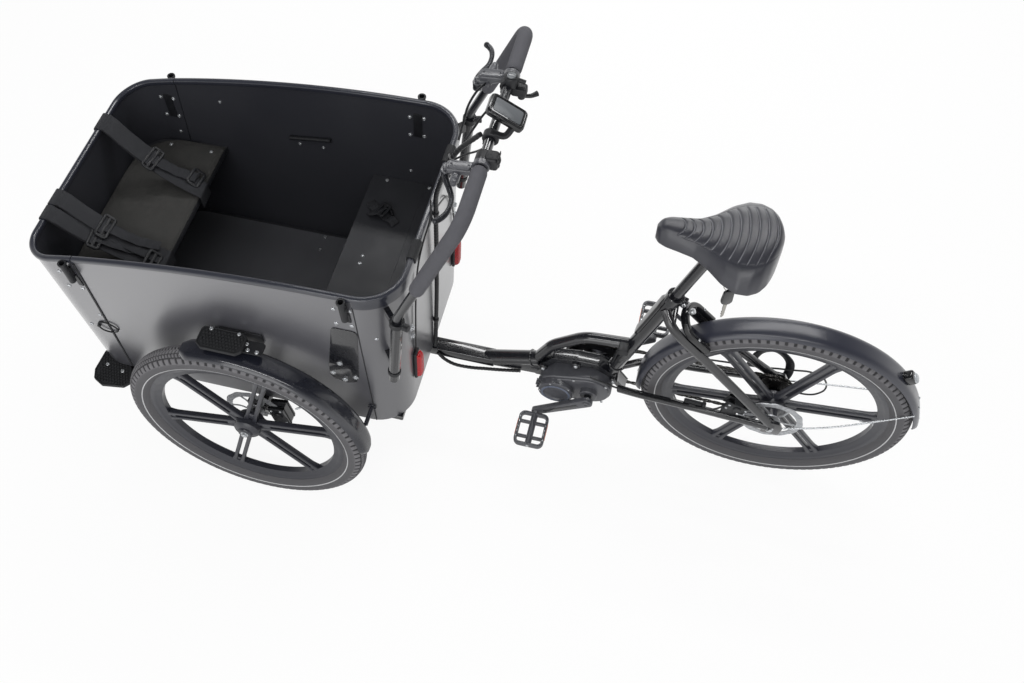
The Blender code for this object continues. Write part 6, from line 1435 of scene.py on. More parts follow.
make("shift_thumb_lever", thumb, PLASTIC, "thumb_shifter", ["shift_lever"])

CONTROL_Y = -0.105
ring = turned([(0.0064, -0.0016), (0.0064, 0.0022), (0.0078, 0.0026), (0.009, 0.0016), (0.009, -0.0016)], 32, True)
control = join(clamp_form(CONTROL_Y, 0.026),
               block((0.0265, 0.028, 0.03), on_bar(0.0165, CONTROL_Y, 0.002), 0.007, 0.005),
               moved(ring, facing(on_bar(0.029, CONTROL_Y, 0.004), (1, 0, 0))))
make("control_pad_case", control, PLASTIC, "front_unit", ["control_pad"])
button = turned([(0, 0.0024), (0.003, 0.0023), (0.0052, 0.0016), (0.006, 0.0004), (0.006, -0.0022), (0, -0.0022)], 28)
make("mode_button_cap", moved(button, facing(on_bar(0.031, CONTROL_Y, 0.004), (1, 0, 0))), RUBBER, "button",
     ["mode_button"])
keys = [block((0.0022, 0.0075, 0.007), on_bar(0.0298, CONTROL_Y + dy, dz), 0.0016, 0.0009)
        for dy, dz in ((-0.0105, 0.012), (0.0105, 0.012), (0, -0.009))]
make("control_pad_keys", join(*keys), RUBBER, "front_unit")

tilt = tilted(on_bar(0.022, -0.012, 0.0335), y=radians(30))
bezel_path = soft_rectangle(0.072, 0.042, 0.0065, 6)
bezel = sweep(np.column_stack([bezel_path, np.full(len(bezel_path), 0.0074)]),
              soft_rectangle(0.004, 0.0024, 0.001, 3),
              closed=True)
case = join(block((0.081, 0.05, 0.015), tilt, 0.009, 0.004, 5), moved(bezel, tilt))
arm_path = smooth([on_bar(0.002, -0.047, 0.012), on_bar(0.026, -0.046, 0.008), on_bar(0.038, -0.032, 0.018)], 10)
holder = join(sweep(arm_path, soft_rectangle(0.013, 0.009, 0.003, 4)), clamp_form(-0.047, 0.018))
make("display_case", case, GLOSS_PLASTIC, "front_unit", ["display"])
make("display_holder", holder, PLASTIC, "front_unit", ["display"])
make("display_glass", block((0.06, 0.033, 0.0012), tilt @ shifted(0, 0, 0.0076), 0.004, 0.0004), SCREEN,
     "front_unit")

axis = (BAR_SOCKET_TOP - BAR_FOOT) / np.linalg.norm(BAR_SOCKET_TOP - BAR_FOOT)
knob_at = BAR_SOCKET_TOP - axis * 0.01 + (0.02, 0.006, 0)
collars = [moved(hoop(0.0131, outer, depth / 2, 0.001, 36),
                 facing(BAR_SOCKET_TOP + axis * (height - depth / 2), axis))
           for height, depth, outer in ((0, 0.016, 0.0165), (-0.218, 0.012, 0.015))]
collars.append(rod(knob_at - (0.006, 0.002, 0), knob_at + (0.008, 0.0024, 0), 0.0085, 0.0015, 20))
pair("bar_socket_collars", join(*collars), PLASTIC, "front_unit")


# Rear frame: tubes, motor cradle, stays and their fittings

SEAT_FOOT = np.array((-0.437, 0, 0.275))
SEAT_HEAD = np.array((-0.304, 0, 0.716))
SEAT_LENGTH = float(np.linalg.norm(SEAT_HEAD - SEAT_FOOT))
SEAT_AXIS = (SEAT_HEAD - SEAT_FOOT) / SEAT_LENGTH
BEAM_TOP = 0.279
BEAM_FRONT = -1.232
BEAM_REAR = -0.735
POST_BORE = 0.014
STAY_FOOT = np.array((0, 0, REAR_HUB_Z + 0.0085))
STAY_TOP = np.array((-0.285, 0, 0.632))
STAY_UP = (STAY_TOP - STAY_FOOT) / np.linalg.norm(STAY_TOP - STAY_FOOT)
MOTOR_MOUNTS = ((-0.598, 0.3), (-0.512, 0.344), (-0.41, 0.306))


def oval_tube(path, wide, tall, up=UP):
    """A tube along a smooth path whose section is an ellipse of half sizes wide and tall."""
    return sweep(smooth(path, 10), oval(wide, tall), up)


def weld_bead(centre, axis, radius):
    """The rippled seam where two tubes join: a thin ring, 1 + |sin(12 angle)| / 4 times its least thickness."""
    angle = full_turn(96)
    ring = np.stack([radius * np.cos(angle), radius * np.sin(angle), 0 * angle], axis=1)
    swell = 1 + 0.25 * np.abs(np.sin(angle * 12))
    return moved(sweep(ring, oval(0.0026, sides=8), scales=swell, closed=True), facing(centre, axis))


cradle_line = [(-0.6185, 0.256), (-0.6185, 0.287), (-0.576, 0.348), (-0.51, 0.362), (-0.455, 0.362), (-0.419, 0.334),
               (-0.3723, 0.262), (-0.3845, 0.262), (-0.4295, 0.326), (-0.462, 0.3485), (-0.51, 0.3485),
               (-0.569, 0.335), (-0.6053, 0.283), (-0.6053, 0.256)]
gusset_line = [(-0.745, 0.25), (-0.615, 0.256), (-0.6, 0.3), (-0.64, 0.3), (-0.745, 0.27)]
dropout_line = [(-0.022, -0.026), (0.024, -0.026), (0.027, 0.006), (0.016, 0.028), (-0.016, 0.03), (-0.026, 0.01)]
arch = filleted([(-0.63, 0, 0.292), (-0.58, 0, 0.392), (-0.498, 0, 0.463), (-0.372, 0, 0.475)], 0.09, 12)
seat_tube = turned([(0.0175, 0), (0.0175, SEAT_LENGTH), (POST_BORE, SEAT_LENGTH), (POST_BORE, 0.1), (0, 0.1),
                    (0, 0)], 40)
collar = turned([(0.0176, -0.022), (0.0205, -0.022), (0.0215, -0.021), (0.0215, 0.002), (0.0205, 0.003),
                 (POST_BORE + 0.0002, 0.003), (POST_BORE + 0.0002, 0.001), (0.0176, 0.001)], 40, True)
clamp_at = SEAT_HEAD - SEAT_AXIS * 0.01
ears = [block((0.018, 0.007, 0.015), tilted(clamp_at + (0.0235, y, -0.006), y=0.29), 0.003, 0.002)
        for y in (-0.0055, 0.0055)]
bolt_start = clamp_at + (0.0245, -0.0125, -0.006)
clamp_bolt = join(rod(bolt_start, bolt_start + (0, 0.025, 0), 0.0032),
                  rod(bolt_start, bolt_start + (0, 0.0035, 0), 0.005))
beam_middle = ((BEAM_FRONT + BEAM_REAR) / 2, 0, BEAM_TOP - 0.017)
frame_parts = [block((BEAM_REAR - BEAM_FRONT, 0.04, 0.034), beam_middle, 0.004),
               rod((-0.765, 0, 0.2575), (-0.612, 0, 0.3119), 0.0205, 0.003, 40),
               upright(slab(rounded(gusset_line, 0.006), -0.018, 0.018, 0.002)), sweep(arch, oval(0.015, sides=28)),
               upright(slab(rounded(cradle_line, 0.004), -0.0175, 0.0175, 0.003)),
               moved(seat_tube, facing(SEAT_FOOT, SEAT_AXIS)), moved(collar, facing(SEAT_HEAD, SEAT_AXIS)), *ears]
for x, z in MOTOR_MOUNTS:
    frame_parts.append(rod((x, -0.0235, z), (x, 0.0235, z), 0.0125, 0.0015, 28))
for sign in (-1, 1):
    axle_end = (0.004, sign * 0.072)
    frame_parts += [oval_tube([(-0.392, sign * 0.036, 0.3), (-0.32, sign * 0.053, 0.322),
                               (-0.18, sign * 0.06, REAR_HUB_Z - 0.0035), (*axle_end, REAR_HUB_Z)], 0.0095, 0.012),
                    oval_tube([(-0.322, sign * 0.012, 0.672), (STAY_TOP[0], sign * 0.044, STAY_TOP[2]),
                               (-0.18, sign * 0.049, 0.5196), (*axle_end, STAY_FOOT[2])],
                              0.0095, 0.013, (0.7, 0, 0.7)),
                    moved(upright(slab(rounded(dropout_line, 0.007), -0.005, 0.005, 0.0015), sign * 0.072),
                          (0.004, 0, REAR_HUB_Z + 0.0015)),
                    weld_bead((-0.004, sign * 0.0705, REAR_HUB_Z + 0.004), (-0.9, sign * 0.12, 0.5), 0.0115)]
bridge = STAY_FOOT + STAY_UP * 0.425
frame_parts += [rod((0, -0.072, REAR_HUB_Z), (0, 0.072, REAR_HUB_Z), 0.008),
                rod(bridge - (0, 0.045, 0), bridge + (0, 0.045, 0), 0.006, 0.001, 20),
                weld_bead((-0.372, 0, 0.475), (1, 0, 0.1), 0.0152),
                weld_bead(SEAT_FOOT + SEAT_AXIS * 0.09, SEAT_AXIS, 0.0178),
                weld_bead((-0.632, 0, 0.3045), (0.9, 0, 0.33), 0.0207)]
make("frame_tubes", join(*frame_parts), FRAME_PAINT, "rear_frame", ["main_frame"])

caliper = tilted((-0.094, -REAR_DISC_Y, REAR_HUB_Z + 0.0425), y=0.35)
caliper_parts = [block((0.06, 0.0125, 0.034), caliper @ shifted(0, y, 0), 0.008, 0.003) for y in (-0.0088, 0.0088)]
caliper_parts += [block((0.026, 0.028, 0.008), caliper @ shifted(0, 0, 0.0135), 0.003, 0.002),
                  block((0.04, 0.012, 0.03), (-0.108, -0.059, REAR_HUB_Z + 0.0205), 0.004, 0.002),
                  moved(turned([(0, 0.004), (0.009, 0.004), (0.011, 0.002), (0.011, 0), (0, 0)], 28),
                        caliper @ shifted(0.004, -0.015, 0) @ spun(pi / 2, "X"))]
make("rear_caliper_body", join(*caliper_parts), PLASTIC, "rear_frame", ["main_frame"])
frame_bolts = [clamp_bolt, screws([caliper @ Vector((x, -0.0152, z)) for x, z in
                                   ((-0.022, 0.008), (0.024, 0.008), (-0.022, -0.01))], (0, -1, 0), 0.0036, 0.0024)]
for sign in (-1, 1):
    frame_bolts.append(hex_bolt((0, sign * 0.0772, REAR_HUB_Z), (0, sign, 0), 0.015, 0.0065, 0.0105))
    frame_bolts.append(screws([(x, sign * 0.0236, z) for x, z in MOTOR_MOUNTS], (0, sign, 0), 0.0058, 0.0034))
make("frame_bolts", join(*frame_bolts), ZINC, "rear_frame")

# Slim cover down the seat tube's front, with the motor's connector block on the arch
cover_out = np.cross(SEAT_AXIS, RIGHT)
cover_line = [SEAT_FOOT + SEAT_AXIS * t + cover_out * 0.0185 for t in np.linspace(0.265, 0.445, 12)]
cover_taper = np.interp(np.linspace(0, 1, 12), (0, 0.08, 0.92, 1), (0.5, 1, 1, 0.5))
make("seat_tube_cover", sweep(cover_line, soft_rectangle(0.026, 0.01, 0.0045, 5), cover_out, cover_taper),
     GLOSS_PLASTIC, "rear_frame")
connector = join(block((0.026, 0.03, 0.02), (-0.398, -0.02, 0.476), 0.004, 0.003),
                 rod((-0.408, -0.012, 0.47), (-0.425, -0.004, 0.35), 0.0035))
make("motor_connector", connector, PLASTIC, "rear_frame")


# Drive: motor, cranks, chainring, chain, sprockets and derailleur; points of the side view are (x, z)

CRANK_AXIS = np.array((-0.467, 0.278))
COVER = np.array((-0.553, 0.262))
REAR_AXLE = (0, REAR_HUB_Z)
CHAIN_LINE = 0.05
CHAINRING_RADIUS = 0.075
SPROCKET_RADIUS = 0.04
PULLEY_RADIUS = 0.017
GUIDE_PULLEY = np.array((0.02, REAR_HUB_Z - 0.0715))
TENSION_PULLEY = np.array((-0.004, REAR_HUB_Z - 0.1335))
HANGER_Z = REAR_HUB_Z - 0.0315
LINK = 0.0127
CRANK_LENGTH = 0.17


def beside(point, y):
    """A point (x, z) of the side view as a place at y."""
    return point[0], y, point[1]


def across(point, start, end, radius, bevel, segments):
    """A rod along the bike's cross axis at a point of the side view."""
    return rod(beside(point, start), beside(point, end), radius, bevel, segments)


boss = turned([(0.01, -0.066), (0.0215, -0.066), (0.023, -0.0645), (0.023, 0.0435), (0.0215, 0.045), (0.01, 0.045)],
              48, True)
cover_ribs = [block((0.0022, 0.012, 0.026), tilted(beside(polar(COVER, 0.045, a), -0.048), y=pi / 2 - a), 0.0008)
              for a in np.radians((150, 165, 180, 195, 210, 225, 240))]
motor = join(upright(slab(belt(CRANK_AXIS, 0.058, COVER, 0.052, 28), -0.047, 0.036, 0.006, 5)),
             upright(slab(belt(CRANK_AXIS, 0.053, COVER, 0.047, 28), -0.052, 0.041, 0.004, 4)),
             about(boss, CRANK_AXIS), *cover_ribs)
make("motor_body", motor, CAST_PAINT, "rear_frame", ["drive_motor"])
cover_dish = [(0, -0.066), (0.029, -0.066), (0.031, -0.0668), (0.033, -0.069), (0.035, -0.0703), (0.0385, -0.0705),
              (0.04, -0.0695), (0.0405, -0.068), (0.042, -0.0672), (0.0462, -0.0668), (0.0476, -0.065),
              (0.0476, -0.045), (0, -0.045)]
make("motor_cover", about(turned(cover_dish, 72), COVER), CAST_PAINT, "rear_frame", ["drive_motor"])
cover_ring = turned([(0.034, -0.0712), (0.0398, -0.0706), (0.0398, -0.0698), (0.034, -0.0698)], 72, True)
make("motor_cover_ring", about(cover_ring, COVER), COVER_RING, "rear_frame")
motor_bolts = join(screws([beside(polar(COVER, 0.0437, a), -0.0671) for a in np.radians((40, 112, 184, 256, 328))],
                          (0, -1, 0), 0.0026, 0.0014),
                   screws([(x, -0.0522, z) for x, z in
                           ((-0.51, 0.32), (-0.425, 0.318), (-0.43, 0.238), (-0.5, 0.221))],
                          (0, -1, 0), 0.0036, 0.0022))
make("motor_bolts", motor_bolts, ZINC, "rear_frame")


def pedal_forms():
    """Cage pedal: an outer frame swept round a plan with rounded corners, a barrel round the axle and two
    cross bars; rows of studs on its long sides; and the reflectors in its front and rear faces."""
    plan = rounded([(0.041, -0.05), (0.041, 0.05), (-0.041, 0.05), (-0.041, -0.05)], 0.014, 8)
    ring = sweep(np.column_stack([plan * (0.9, 0.93), np.zeros(len(plan))]), soft_rectangle(0.008, 0.0165, 0.0025, 3),
                 closed=True)
    bars = [block((0.072, 0.007, 0.013), (0, y, 0), 0.002) for y in (-0.024, 0.02)]
    places = [shifted(x, y, z) @ spun(0 if z > 0 else pi, "X") for x in (-0.0365, 0.0365)
              for y in (-0.03, -0.015, 0, 0.015, 0.03) for z in (0.008, -0.008)]
    stud = turned([(0, 0.0022), (0.0012, 0.0022), (0.0019, 0), (0, 0)], 10)
    reflectors = [block((0.0022, 0.046, 0.0115), (x, 0, 0), 0.0008) for x in (-0.0408, 0.0408)]
    cage = join(ring, rod((0, -0.049, 0), (0, 0.049, 0), 0.0088, 0.002, 28), *bars)
    return cage, scattered(stud, places), join(*reflectors)


pedal_cage, pedal_studs, pedal_reflectors = pedal_forms()
for side, sign in SIDES:
    angle = radians(218.5) - (0 if sign < 0 else pi)
    end = polar(CRANK_AXIS, CRANK_LENGTH, angle)
    arm = upright(slab(belt(CRANK_AXIS, 0.0165, end, 0.0125, 20), -0.007, 0.007, 0.0025, 4), sign * 0.084)
    bolt = [(0, 0.0924), (0.004, 0.0924), (0.0045, 0.0936), (0.0085, 0.0936), (0.0095, 0.0926), (0.0095, 0.09),
            (0, 0.09)]
    bolt = about(turned([(r, sign * y) for r, y in bolt], 28), CRANK_AXIS)
    groove = block((0.112, 0.0016, 0.01), tilted(beside((CRANK_AXIS + end) / 2, sign * 0.091), y=-angle), 0.0006)
    axle = join(across(end, sign * 0.084, sign * 0.196, 0.0048, 0.0008, 20),
                across(end, sign * 0.0905, sign * 0.094, 0.0078, 0.0006, 6))
    make("crank_arm_" + side, join(arm, bolt), CAST_PAINT, "crankset", ["crank_" + side])
    make("crank_groove_" + side, groove, FRAME_PAINT, "crankset")
    make("pedal_axle_" + side, axle, ZINC, "crankset", ["crank_" + side])
    place = beside(end, sign * 0.1447)
    pedal = side + "_pedal"
    make("pedal_cage_" + side, moved(pedal_cage, place), CAST_PAINT, pedal, ["pedal_" + side])
    make("pedal_studs_" + side, moved(pedal_studs, place), ZINC, pedal)
    make("pedal_reflectors_" + side, moved(pedal_reflectors, place), AMBER_ACRYLIC, pedal)


def toothed(radius, teeth, depth, low, high, hole):
    """A sprocket: its edge is radius + depth * a clipped cosine of teeth times the angle; a round hole."""
    angle = full_turn(teeth * 8)
    wave = np.clip(np.cos(angle * teeth) * 1.3, -1, 0.75)
    edge = radius + depth * (wave + 1) / 2 - depth
    rows = [np.stack([r * np.cos(angle), r * np.sin(angle), 0 * angle + y], axis=1)
            for r, y in ((hole, low), (edge, low + 0.0004), (edge, high - 0.0004), (hole, high))]
    return surface(np.array(rows), True, True)


def chain_line():
    """The chain's middle line: arcs over sprocket, pulleys and chainring, and straight runs between."""
    parts = []
    for centre, radius, start, end, steps in (
            (REAR_AXLE, SPROCKET_RADIUS, 97, -52, 30), (GUIDE_PULLEY, PULLEY_RADIUS, 128, 205, 14),
            (TENSION_PULLEY, PULLEY_RADIUS, 25, -88, 18), (CRANK_AXIS, CHAINRING_RADIUS, 272, 97, 40)):
        angle = np.radians(np.linspace(start, end, steps))
        parts.append(np.array(centre) + (radius + 0.0052) * np.stack([np.cos(angle), np.sin(angle)], axis=1))
    return np.vstack(parts + [parts[0][:1]])


line = chain_line()
links = int(round(path_length(line) / LINK / 2)) * 2
joints = spaced(line, links + 1)[:-1]
ahead = np.roll(joints, -1, axis=0)
angles = np.arctan2(ahead[:, 1] - joints[:, 1], ahead[:, 0] - joints[:, 0])
outline = belt((0, 0), 0.004, (LINK, 0), 0.004, 5)
outline[:, 1] *= np.where(np.abs(outline[:, 0] - LINK / 2) < 0.003, 0.8, 1.0)
chain_parts = []
for first, near, far in ((0, 0.0022, 0.0032), (1, 0.001, 0.002)):
    places = [shifted(*beside(joints[i], CHAIN_LINE)) @ spun(-angles[i], "Y") for i in range(first, links, 2)]
    for low, high in ((-far, -near), (near, far)):
        chain_parts.append(scattered(upright(slab(outline, low, high, 0.0002, 1)), places))
roller = turned([(0, -0.0036), (0.0017, -0.0036), (0.0017, -0.001), (0.0037, -0.001), (0.0037, 0.001),
                 (0.0017, 0.001), (0.0017, 0.0036), (0, 0.0036)], 8)
chain_parts.append(scattered(roller, [shifted(*beside(point, CHAIN_LINE)) @ AXLE_TURN for point in joints]))
make("chain_links", join(*chain_parts), CHAIN_STEEL, "rear_frame", ["chain"])

guard_ring = turned([(0.06, -0.0014), (0.0845, -0.0014), (0.086, 0), (0.0845, 0.0014), (0.06, 0.0014)], 96, True)
spider = turned([(0.0098, 0), (0.024, 0), (0.026, 0.002), (0.021, 0.034), (0.0098, 0.034)], 40, True)
ring_parts = [about(toothed(CHAINRING_RADIUS + 0.0035, 38, 0.005, -0.0016, 0.0016, 0.052), CRANK_AXIS, CHAIN_LINE),
              about(guard_ring, CRANK_AXIS, CHAIN_LINE + 0.0085), about(spider, CRANK_AXIS, CHAIN_LINE),
              across(CRANK_AXIS, -0.087, 0.084, 0.0095, 0.001, 28)]
for a in np.radians((38, 128, 218, 308)):
    end = polar(CRANK_AXIS, 0.066, a)
    arm = belt(polar(CRANK_AXIS, 0.014, a), 0.015, end, 0.0075, 12)
    ring_parts.append(upright(slab(arm, -0.002, 0.003, 0.001, 2), CHAIN_LINE + 0.0045))
    ring_parts.append(hex_bolt(beside(end, CHAIN_LINE + 0.01), RIGHT, 0.0085, 0.003, 0.006))
make("chainring_toothed", join(*ring_parts), DARK_STEEL, "crankset", ["crank_right"])

cassette = [toothed(SPROCKET_RADIUS + 0.002 - 0.0038 * k, 22 - 2 * k, 0.0045,
                    0.0038 * k - 0.0011, 0.0038 * k + 0.0011, 0.017) for k in range(-3, 3)]
lockring = turned([(0.01, 0), (0.0165, 0), (0.0165, 0.015), (0.015, 0.0165), (0.01, 0.0165)], 36, True)
cassette = join(about(join(*cassette), REAR_AXLE, CHAIN_LINE), about(lockring, REAR_AXLE, CHAIN_LINE - 0.004))
make("cassette_sprockets", cassette, CHAIN_STEEL, "back_wheel", ["rear_wheel"])

guide_z = GUIDE_PULLEY[1]
body_path = smooth([(0.018, 0.086, HANGER_Z), (0.03, 0.084, HANGER_Z - 0.023), (0.022, 0.064, guide_z),
                    (0.02, 0.0575, guide_z)], 12)
guard_path = smooth([(0.018, 0.094, HANGER_Z), (0.03, 0.106, 0.286), (0.037, 0.116, 0.308), (0.03, 0.119, 0.348),
                     (0.006, 0.119, 0.38), (-0.022, 0.119, 0.391), (-0.05, 0.118, 0.374), (-0.063, 0.114, 0.342),
                     (-0.064, 0.11, 0.314)], 12)
guard_width = np.interp(np.linspace(0, 1, len(guard_path)), (0, 0.35, 0.6, 1), (1.15, 1.2, 0.85, 1.3))
guard = sweep(guard_path, soft_rectangle(0.0052, 0.02, 0.002, 3), RIGHT,
              np.stack([0 * guard_width + 1, guard_width], axis=1))
derailleur = [across((0.018, HANGER_Z), 0.0773, 0.094, 0.011, 0.002, 28),
              sweep(body_path, soft_rectangle(0.019, 0.016, 0.006, 4)),
              across(GUIDE_PULLEY, 0.0565, 0.07, 0.0135, 0.003, 32), guard]
for y in (-0.0065, 0.0065):
    derailleur.append(upright(slab(belt(GUIDE_PULLEY, 0.012, TENSION_PULLEY, 0.012, 14), -0.001, 0.001, 0.0005, 2),
                              CHAIN_LINE + y))
for centre in (GUIDE_PULLEY, TENSION_PULLEY):
    derailleur += [about(toothed(PULLEY_RADIUS, 11, 0.0035, -0.0022, 0.0022, 0.004), centre, CHAIN_LINE),
                   hex_bolt(beside(centre, CHAIN_LINE + 0.0076), RIGHT, 0.006, 0.0025, 0.005),
                   across(centre, CHAIN_LINE - 0.0065, CHAIN_LINE + 0.0075, 0.004, 0.0004, 16)]
make("derailleur_body", join(*derailleur), DARK_STEEL, "rear_frame", ["derailleur"])
guard_bolts = join(screws([(0.018, 0.0945, HANGER_Z)], RIGHT, 0.006, 0.003),
                   screws([(x, 0.122, z) for x, z in ((0.033, 0.33), (0.034, 0.312), (-0.06, 0.33))], RIGHT,
                          0.0052, 0.003))
make("derailleur_bolt", guard_bolts, ZINC, "rear_frame")
sensor_end = (-0.176, -0.053, 0.3405)
sensor = join(rod((-0.222, -0.053, 0.344), sensor_end, 0.0062, 0.002, 24),
              rod(sensor_end, (-0.166, -0.053, 0.3398), 0.0085, 0.002, 24),
              block((0.018, 0.014, 0.01), (-0.2, -0.0555, 0.3375), 0.003, 0.002))
make("wheel_sensor", sensor, PLASTIC, "rear_frame")


# Frame lock with its key

LOCK_RADIUS = 0.372
LOCK_LIFT = 0.0133
stay_out = np.array((STAY_UP[2], 0, -STAY_UP[0]))


def lock_point(radial, side, lift):
    """A point in the lock's plane: foot + up * (LOCK_RADIUS + radial) + sideways + out * (LOCK_LIFT + lift)."""
    return STAY_FOOT + STAY_UP * (LOCK_RADIUS + radial) + (0, side, 0) + stay_out * (LOCK_LIFT + lift)


arc = np.linspace(0, pi, 41)
shoe = np.vstack([(-0.055, 0.044), (-0.028, 0.044), np.stack([0.044 * np.sin(arc), 0.044 * np.cos(arc)], axis=1),
                  (-0.028, -0.044), (-0.055, -0.044)])
shoe_path = [lock_point(r, s, 0.01) for r, s in shoe]
girth = 1 + 0.05 * np.cos(np.linspace(-pi, pi, len(shoe)))
keyhole = turned([(0, 0.001), (0.005, 0.001), (0.0062, 0.0004), (0.0062, -0.001), (0, -0.001)], 28)
case = join(sweep(shoe_path, soft_rectangle(0.0148, 0.0198, 0.005, 5), stay_out, girth * 0.97),
            moved(keyhole, facing(lock_point(-0.03, -0.044, 0.0202), stay_out)))
make("lock_case", case, GLOSS_PLASTIC, "rear_frame", ["ring_lock"])
make("lock_bolts", screws([lock_point(-0.01, s, 0.02) for s in (0.044, -0.044)], stay_out, 0.0036, 0.0022), ZINC,
     "rear_frame")
knob = turned([(0, 0.016), (0.0045, 0.0158), (0.0068, 0.0146), (0.0075, 0.0128), (0.0075, 0.0078), (0.0066, 0.0062),
               (0.0035, 0.006), (0.0035, 0), (0, 0)], 32)
make("lock_knob_turned", moved(knob, facing(lock_point(0.044, 0, 0.0203), stay_out)), ZINC, "lock_slider",
     ["lock_knob"])

KEY_TOP = np.array((-0.2045, -0.085, 0.92))
angle = full_turn(48)
ring_path = KEY_TOP + np.stack([0.014 * np.cos(angle), 0 * angle, 0.014 * np.sin(angle) - 0.014], axis=1)
eyelet = turned([(0.0022, -0.0012), (0.0048, -0.0012), (0.0048, 0.0012), (0.0022, 0.0012)], 20, True)
key_ring = join(sweep(ring_path, oval(0.001, sides=8), RIGHT, closed=True), moved(eyelet, KEY_TOP + (0, 0, 0.001)))
shank = [(-0.0036, -0.034), (0.0042, -0.034), (0.0042, -0.084), (0.0014, -0.09), (-0.0018, -0.09), (-0.0022, -0.08),
         (-0.0038, -0.077), (-0.0024, -0.073), (-0.004, -0.069), (-0.0024, -0.065), (-0.0038, -0.06)]
key_place = tilted(KEY_TOP - (0, 0, 0.036), z=0.35)
key_bow = upright(slab(belt((0, 0), 0.0115, (0, -0.026), 0.0125, 12), -0.004, 0.004, 0.002))
make("key_ring", key_ring, KEY_METAL, "seat")
make("key_bow", moved(key_bow, key_place), GLOSS_PLASTIC, "seat")
make("key_shank", moved(upright(slab(shank[::-1], -0.0011, 0.0011, 0.0004, 1)), key_place), KEY_METAL, "seat")


# Seat post, rails and the saddle's underside

CLAMP_X = -0.2475
RAIL_TOP = 0.921
post = join(rod(SEAT_FOOT + SEAT_AXIS * 0.19, (-0.2495, 0, 0.897), 0.0136, 0.001, 36),
            block((0.046, 0.05, 0.009), (CLAMP_X, 0, 0.8895), 0.005, 0.003),
            block((0.04, 0.048, 0.007), (CLAMP_X, 0, 0.903), 0.005, 0.0025),
            rod((CLAMP_X, 0, 0.878), (CLAMP_X, 0, 0.912), 0.0042, 0.001, 20))
make("seat_post_tube", post, FRAME_PAINT, "seat", ["seat_post"])
rails = [sweep(smooth([(-0.335, sign * 0.012, RAIL_TOP), (-0.322, sign * 0.013, RAIL_TOP),
                       (-0.29, sign * 0.019, 0.9035),
                       (-0.215, sign * 0.022, 0.9035), (-0.176, sign * 0.034, RAIL_TOP),
                       (-0.163, sign * 0.036, RAIL_TOP)], 10), oval(0.0035, sides=16)) for sign in (-1, 1)]
make("saddle_rails", join(*rails), DARK_STEEL, "seat", ["seat_post"])
under_half = [(-0.352, -0.006), (-0.3, -0.02), (-0.245, -0.045), (-0.205, -0.082), (-0.17, -0.092), (-0.142, -0.072),
              (-0.133, -0.03)]
under_plan = [(-0.352, 0.006)] + under_half + [(x, -y) for x, y in under_half[:0:-1]]
make("saddle_base", slab(rounded(under_plan, 0.01), 0.9205, 0.9258, 0.0018), PLASTIC, "seat")


# Hub ends, front calipers and the fenders' screws

for side, sign in SIDES:
    place = wheel_place(side)
    nut = moved(hex_bolt((0, sign * 0.0342, 0), (0, sign, 0), 0.013, 0.006, 0.01), place)
    make("axle_nut_" + side, nut, ZINC, "front_unit")
    caliper = place @ tilted((0.071, -sign * 0.047, 0.012), y=-0.17)
    piston = turned([(0, 0.004), (0.01, 0.004), (0.012, 0.002), (0.012, 0), (0, 0)], 28)
    halves = [block((0.046, 0.013, 0.064), caliper @ shifted(0, y, 0), 0.007, 0.003, 4) for y in (-0.011, 0.011)]
    halves.append(moved(piston, caliper @ shifted(0, sign * 0.0175, 0.004) @ spun(-sign * pi / 2, "X")))
    make("caliper_halves_" + side, join(*halves), PLASTIC, "front_unit")
    crown = np.array((cos(1.68), 0, sin(1.68)))
    bolts = join(screws([caliper @ Vector((x, sign * 0.0176, z)) for x, z in
                         ((0.014, -0.022), (-0.014, 0.024), (0.012, 0.025))],
                        place.to_3x3() @ Vector((0, sign, 0)), 0.0036, 0.0024),
                 moved(screw_head(0.3268 * crown, crown, 0.004, 0.002), place))
    make("caliper_bolts_" + side, bolts, ZINC, "front_unit")
fender_screws = []
for degrees, side_y in ((176, 0), (24, 0.014), (24, -0.014), (12, 0)):
    outward = np.array((cos(radians(degrees)), 0, sin(radians(degrees))))
    fender_screws.append(moved(screw_head(0.3522 * outward + (0, side_y, 0), outward, 0.004, 0.002), rear_place))
make("rear_fender_screws", join(*fender_screws), ZINC, "rear_frame")


# Floor, light and camera

# Light that matt surfaces get from the room all round them
AMBIENT = 0.45
# The floor reflects darker round this place, as where a bike keeps the room's light from it
SHADED_PLACE = (-0.10, -0.50, 0.0)


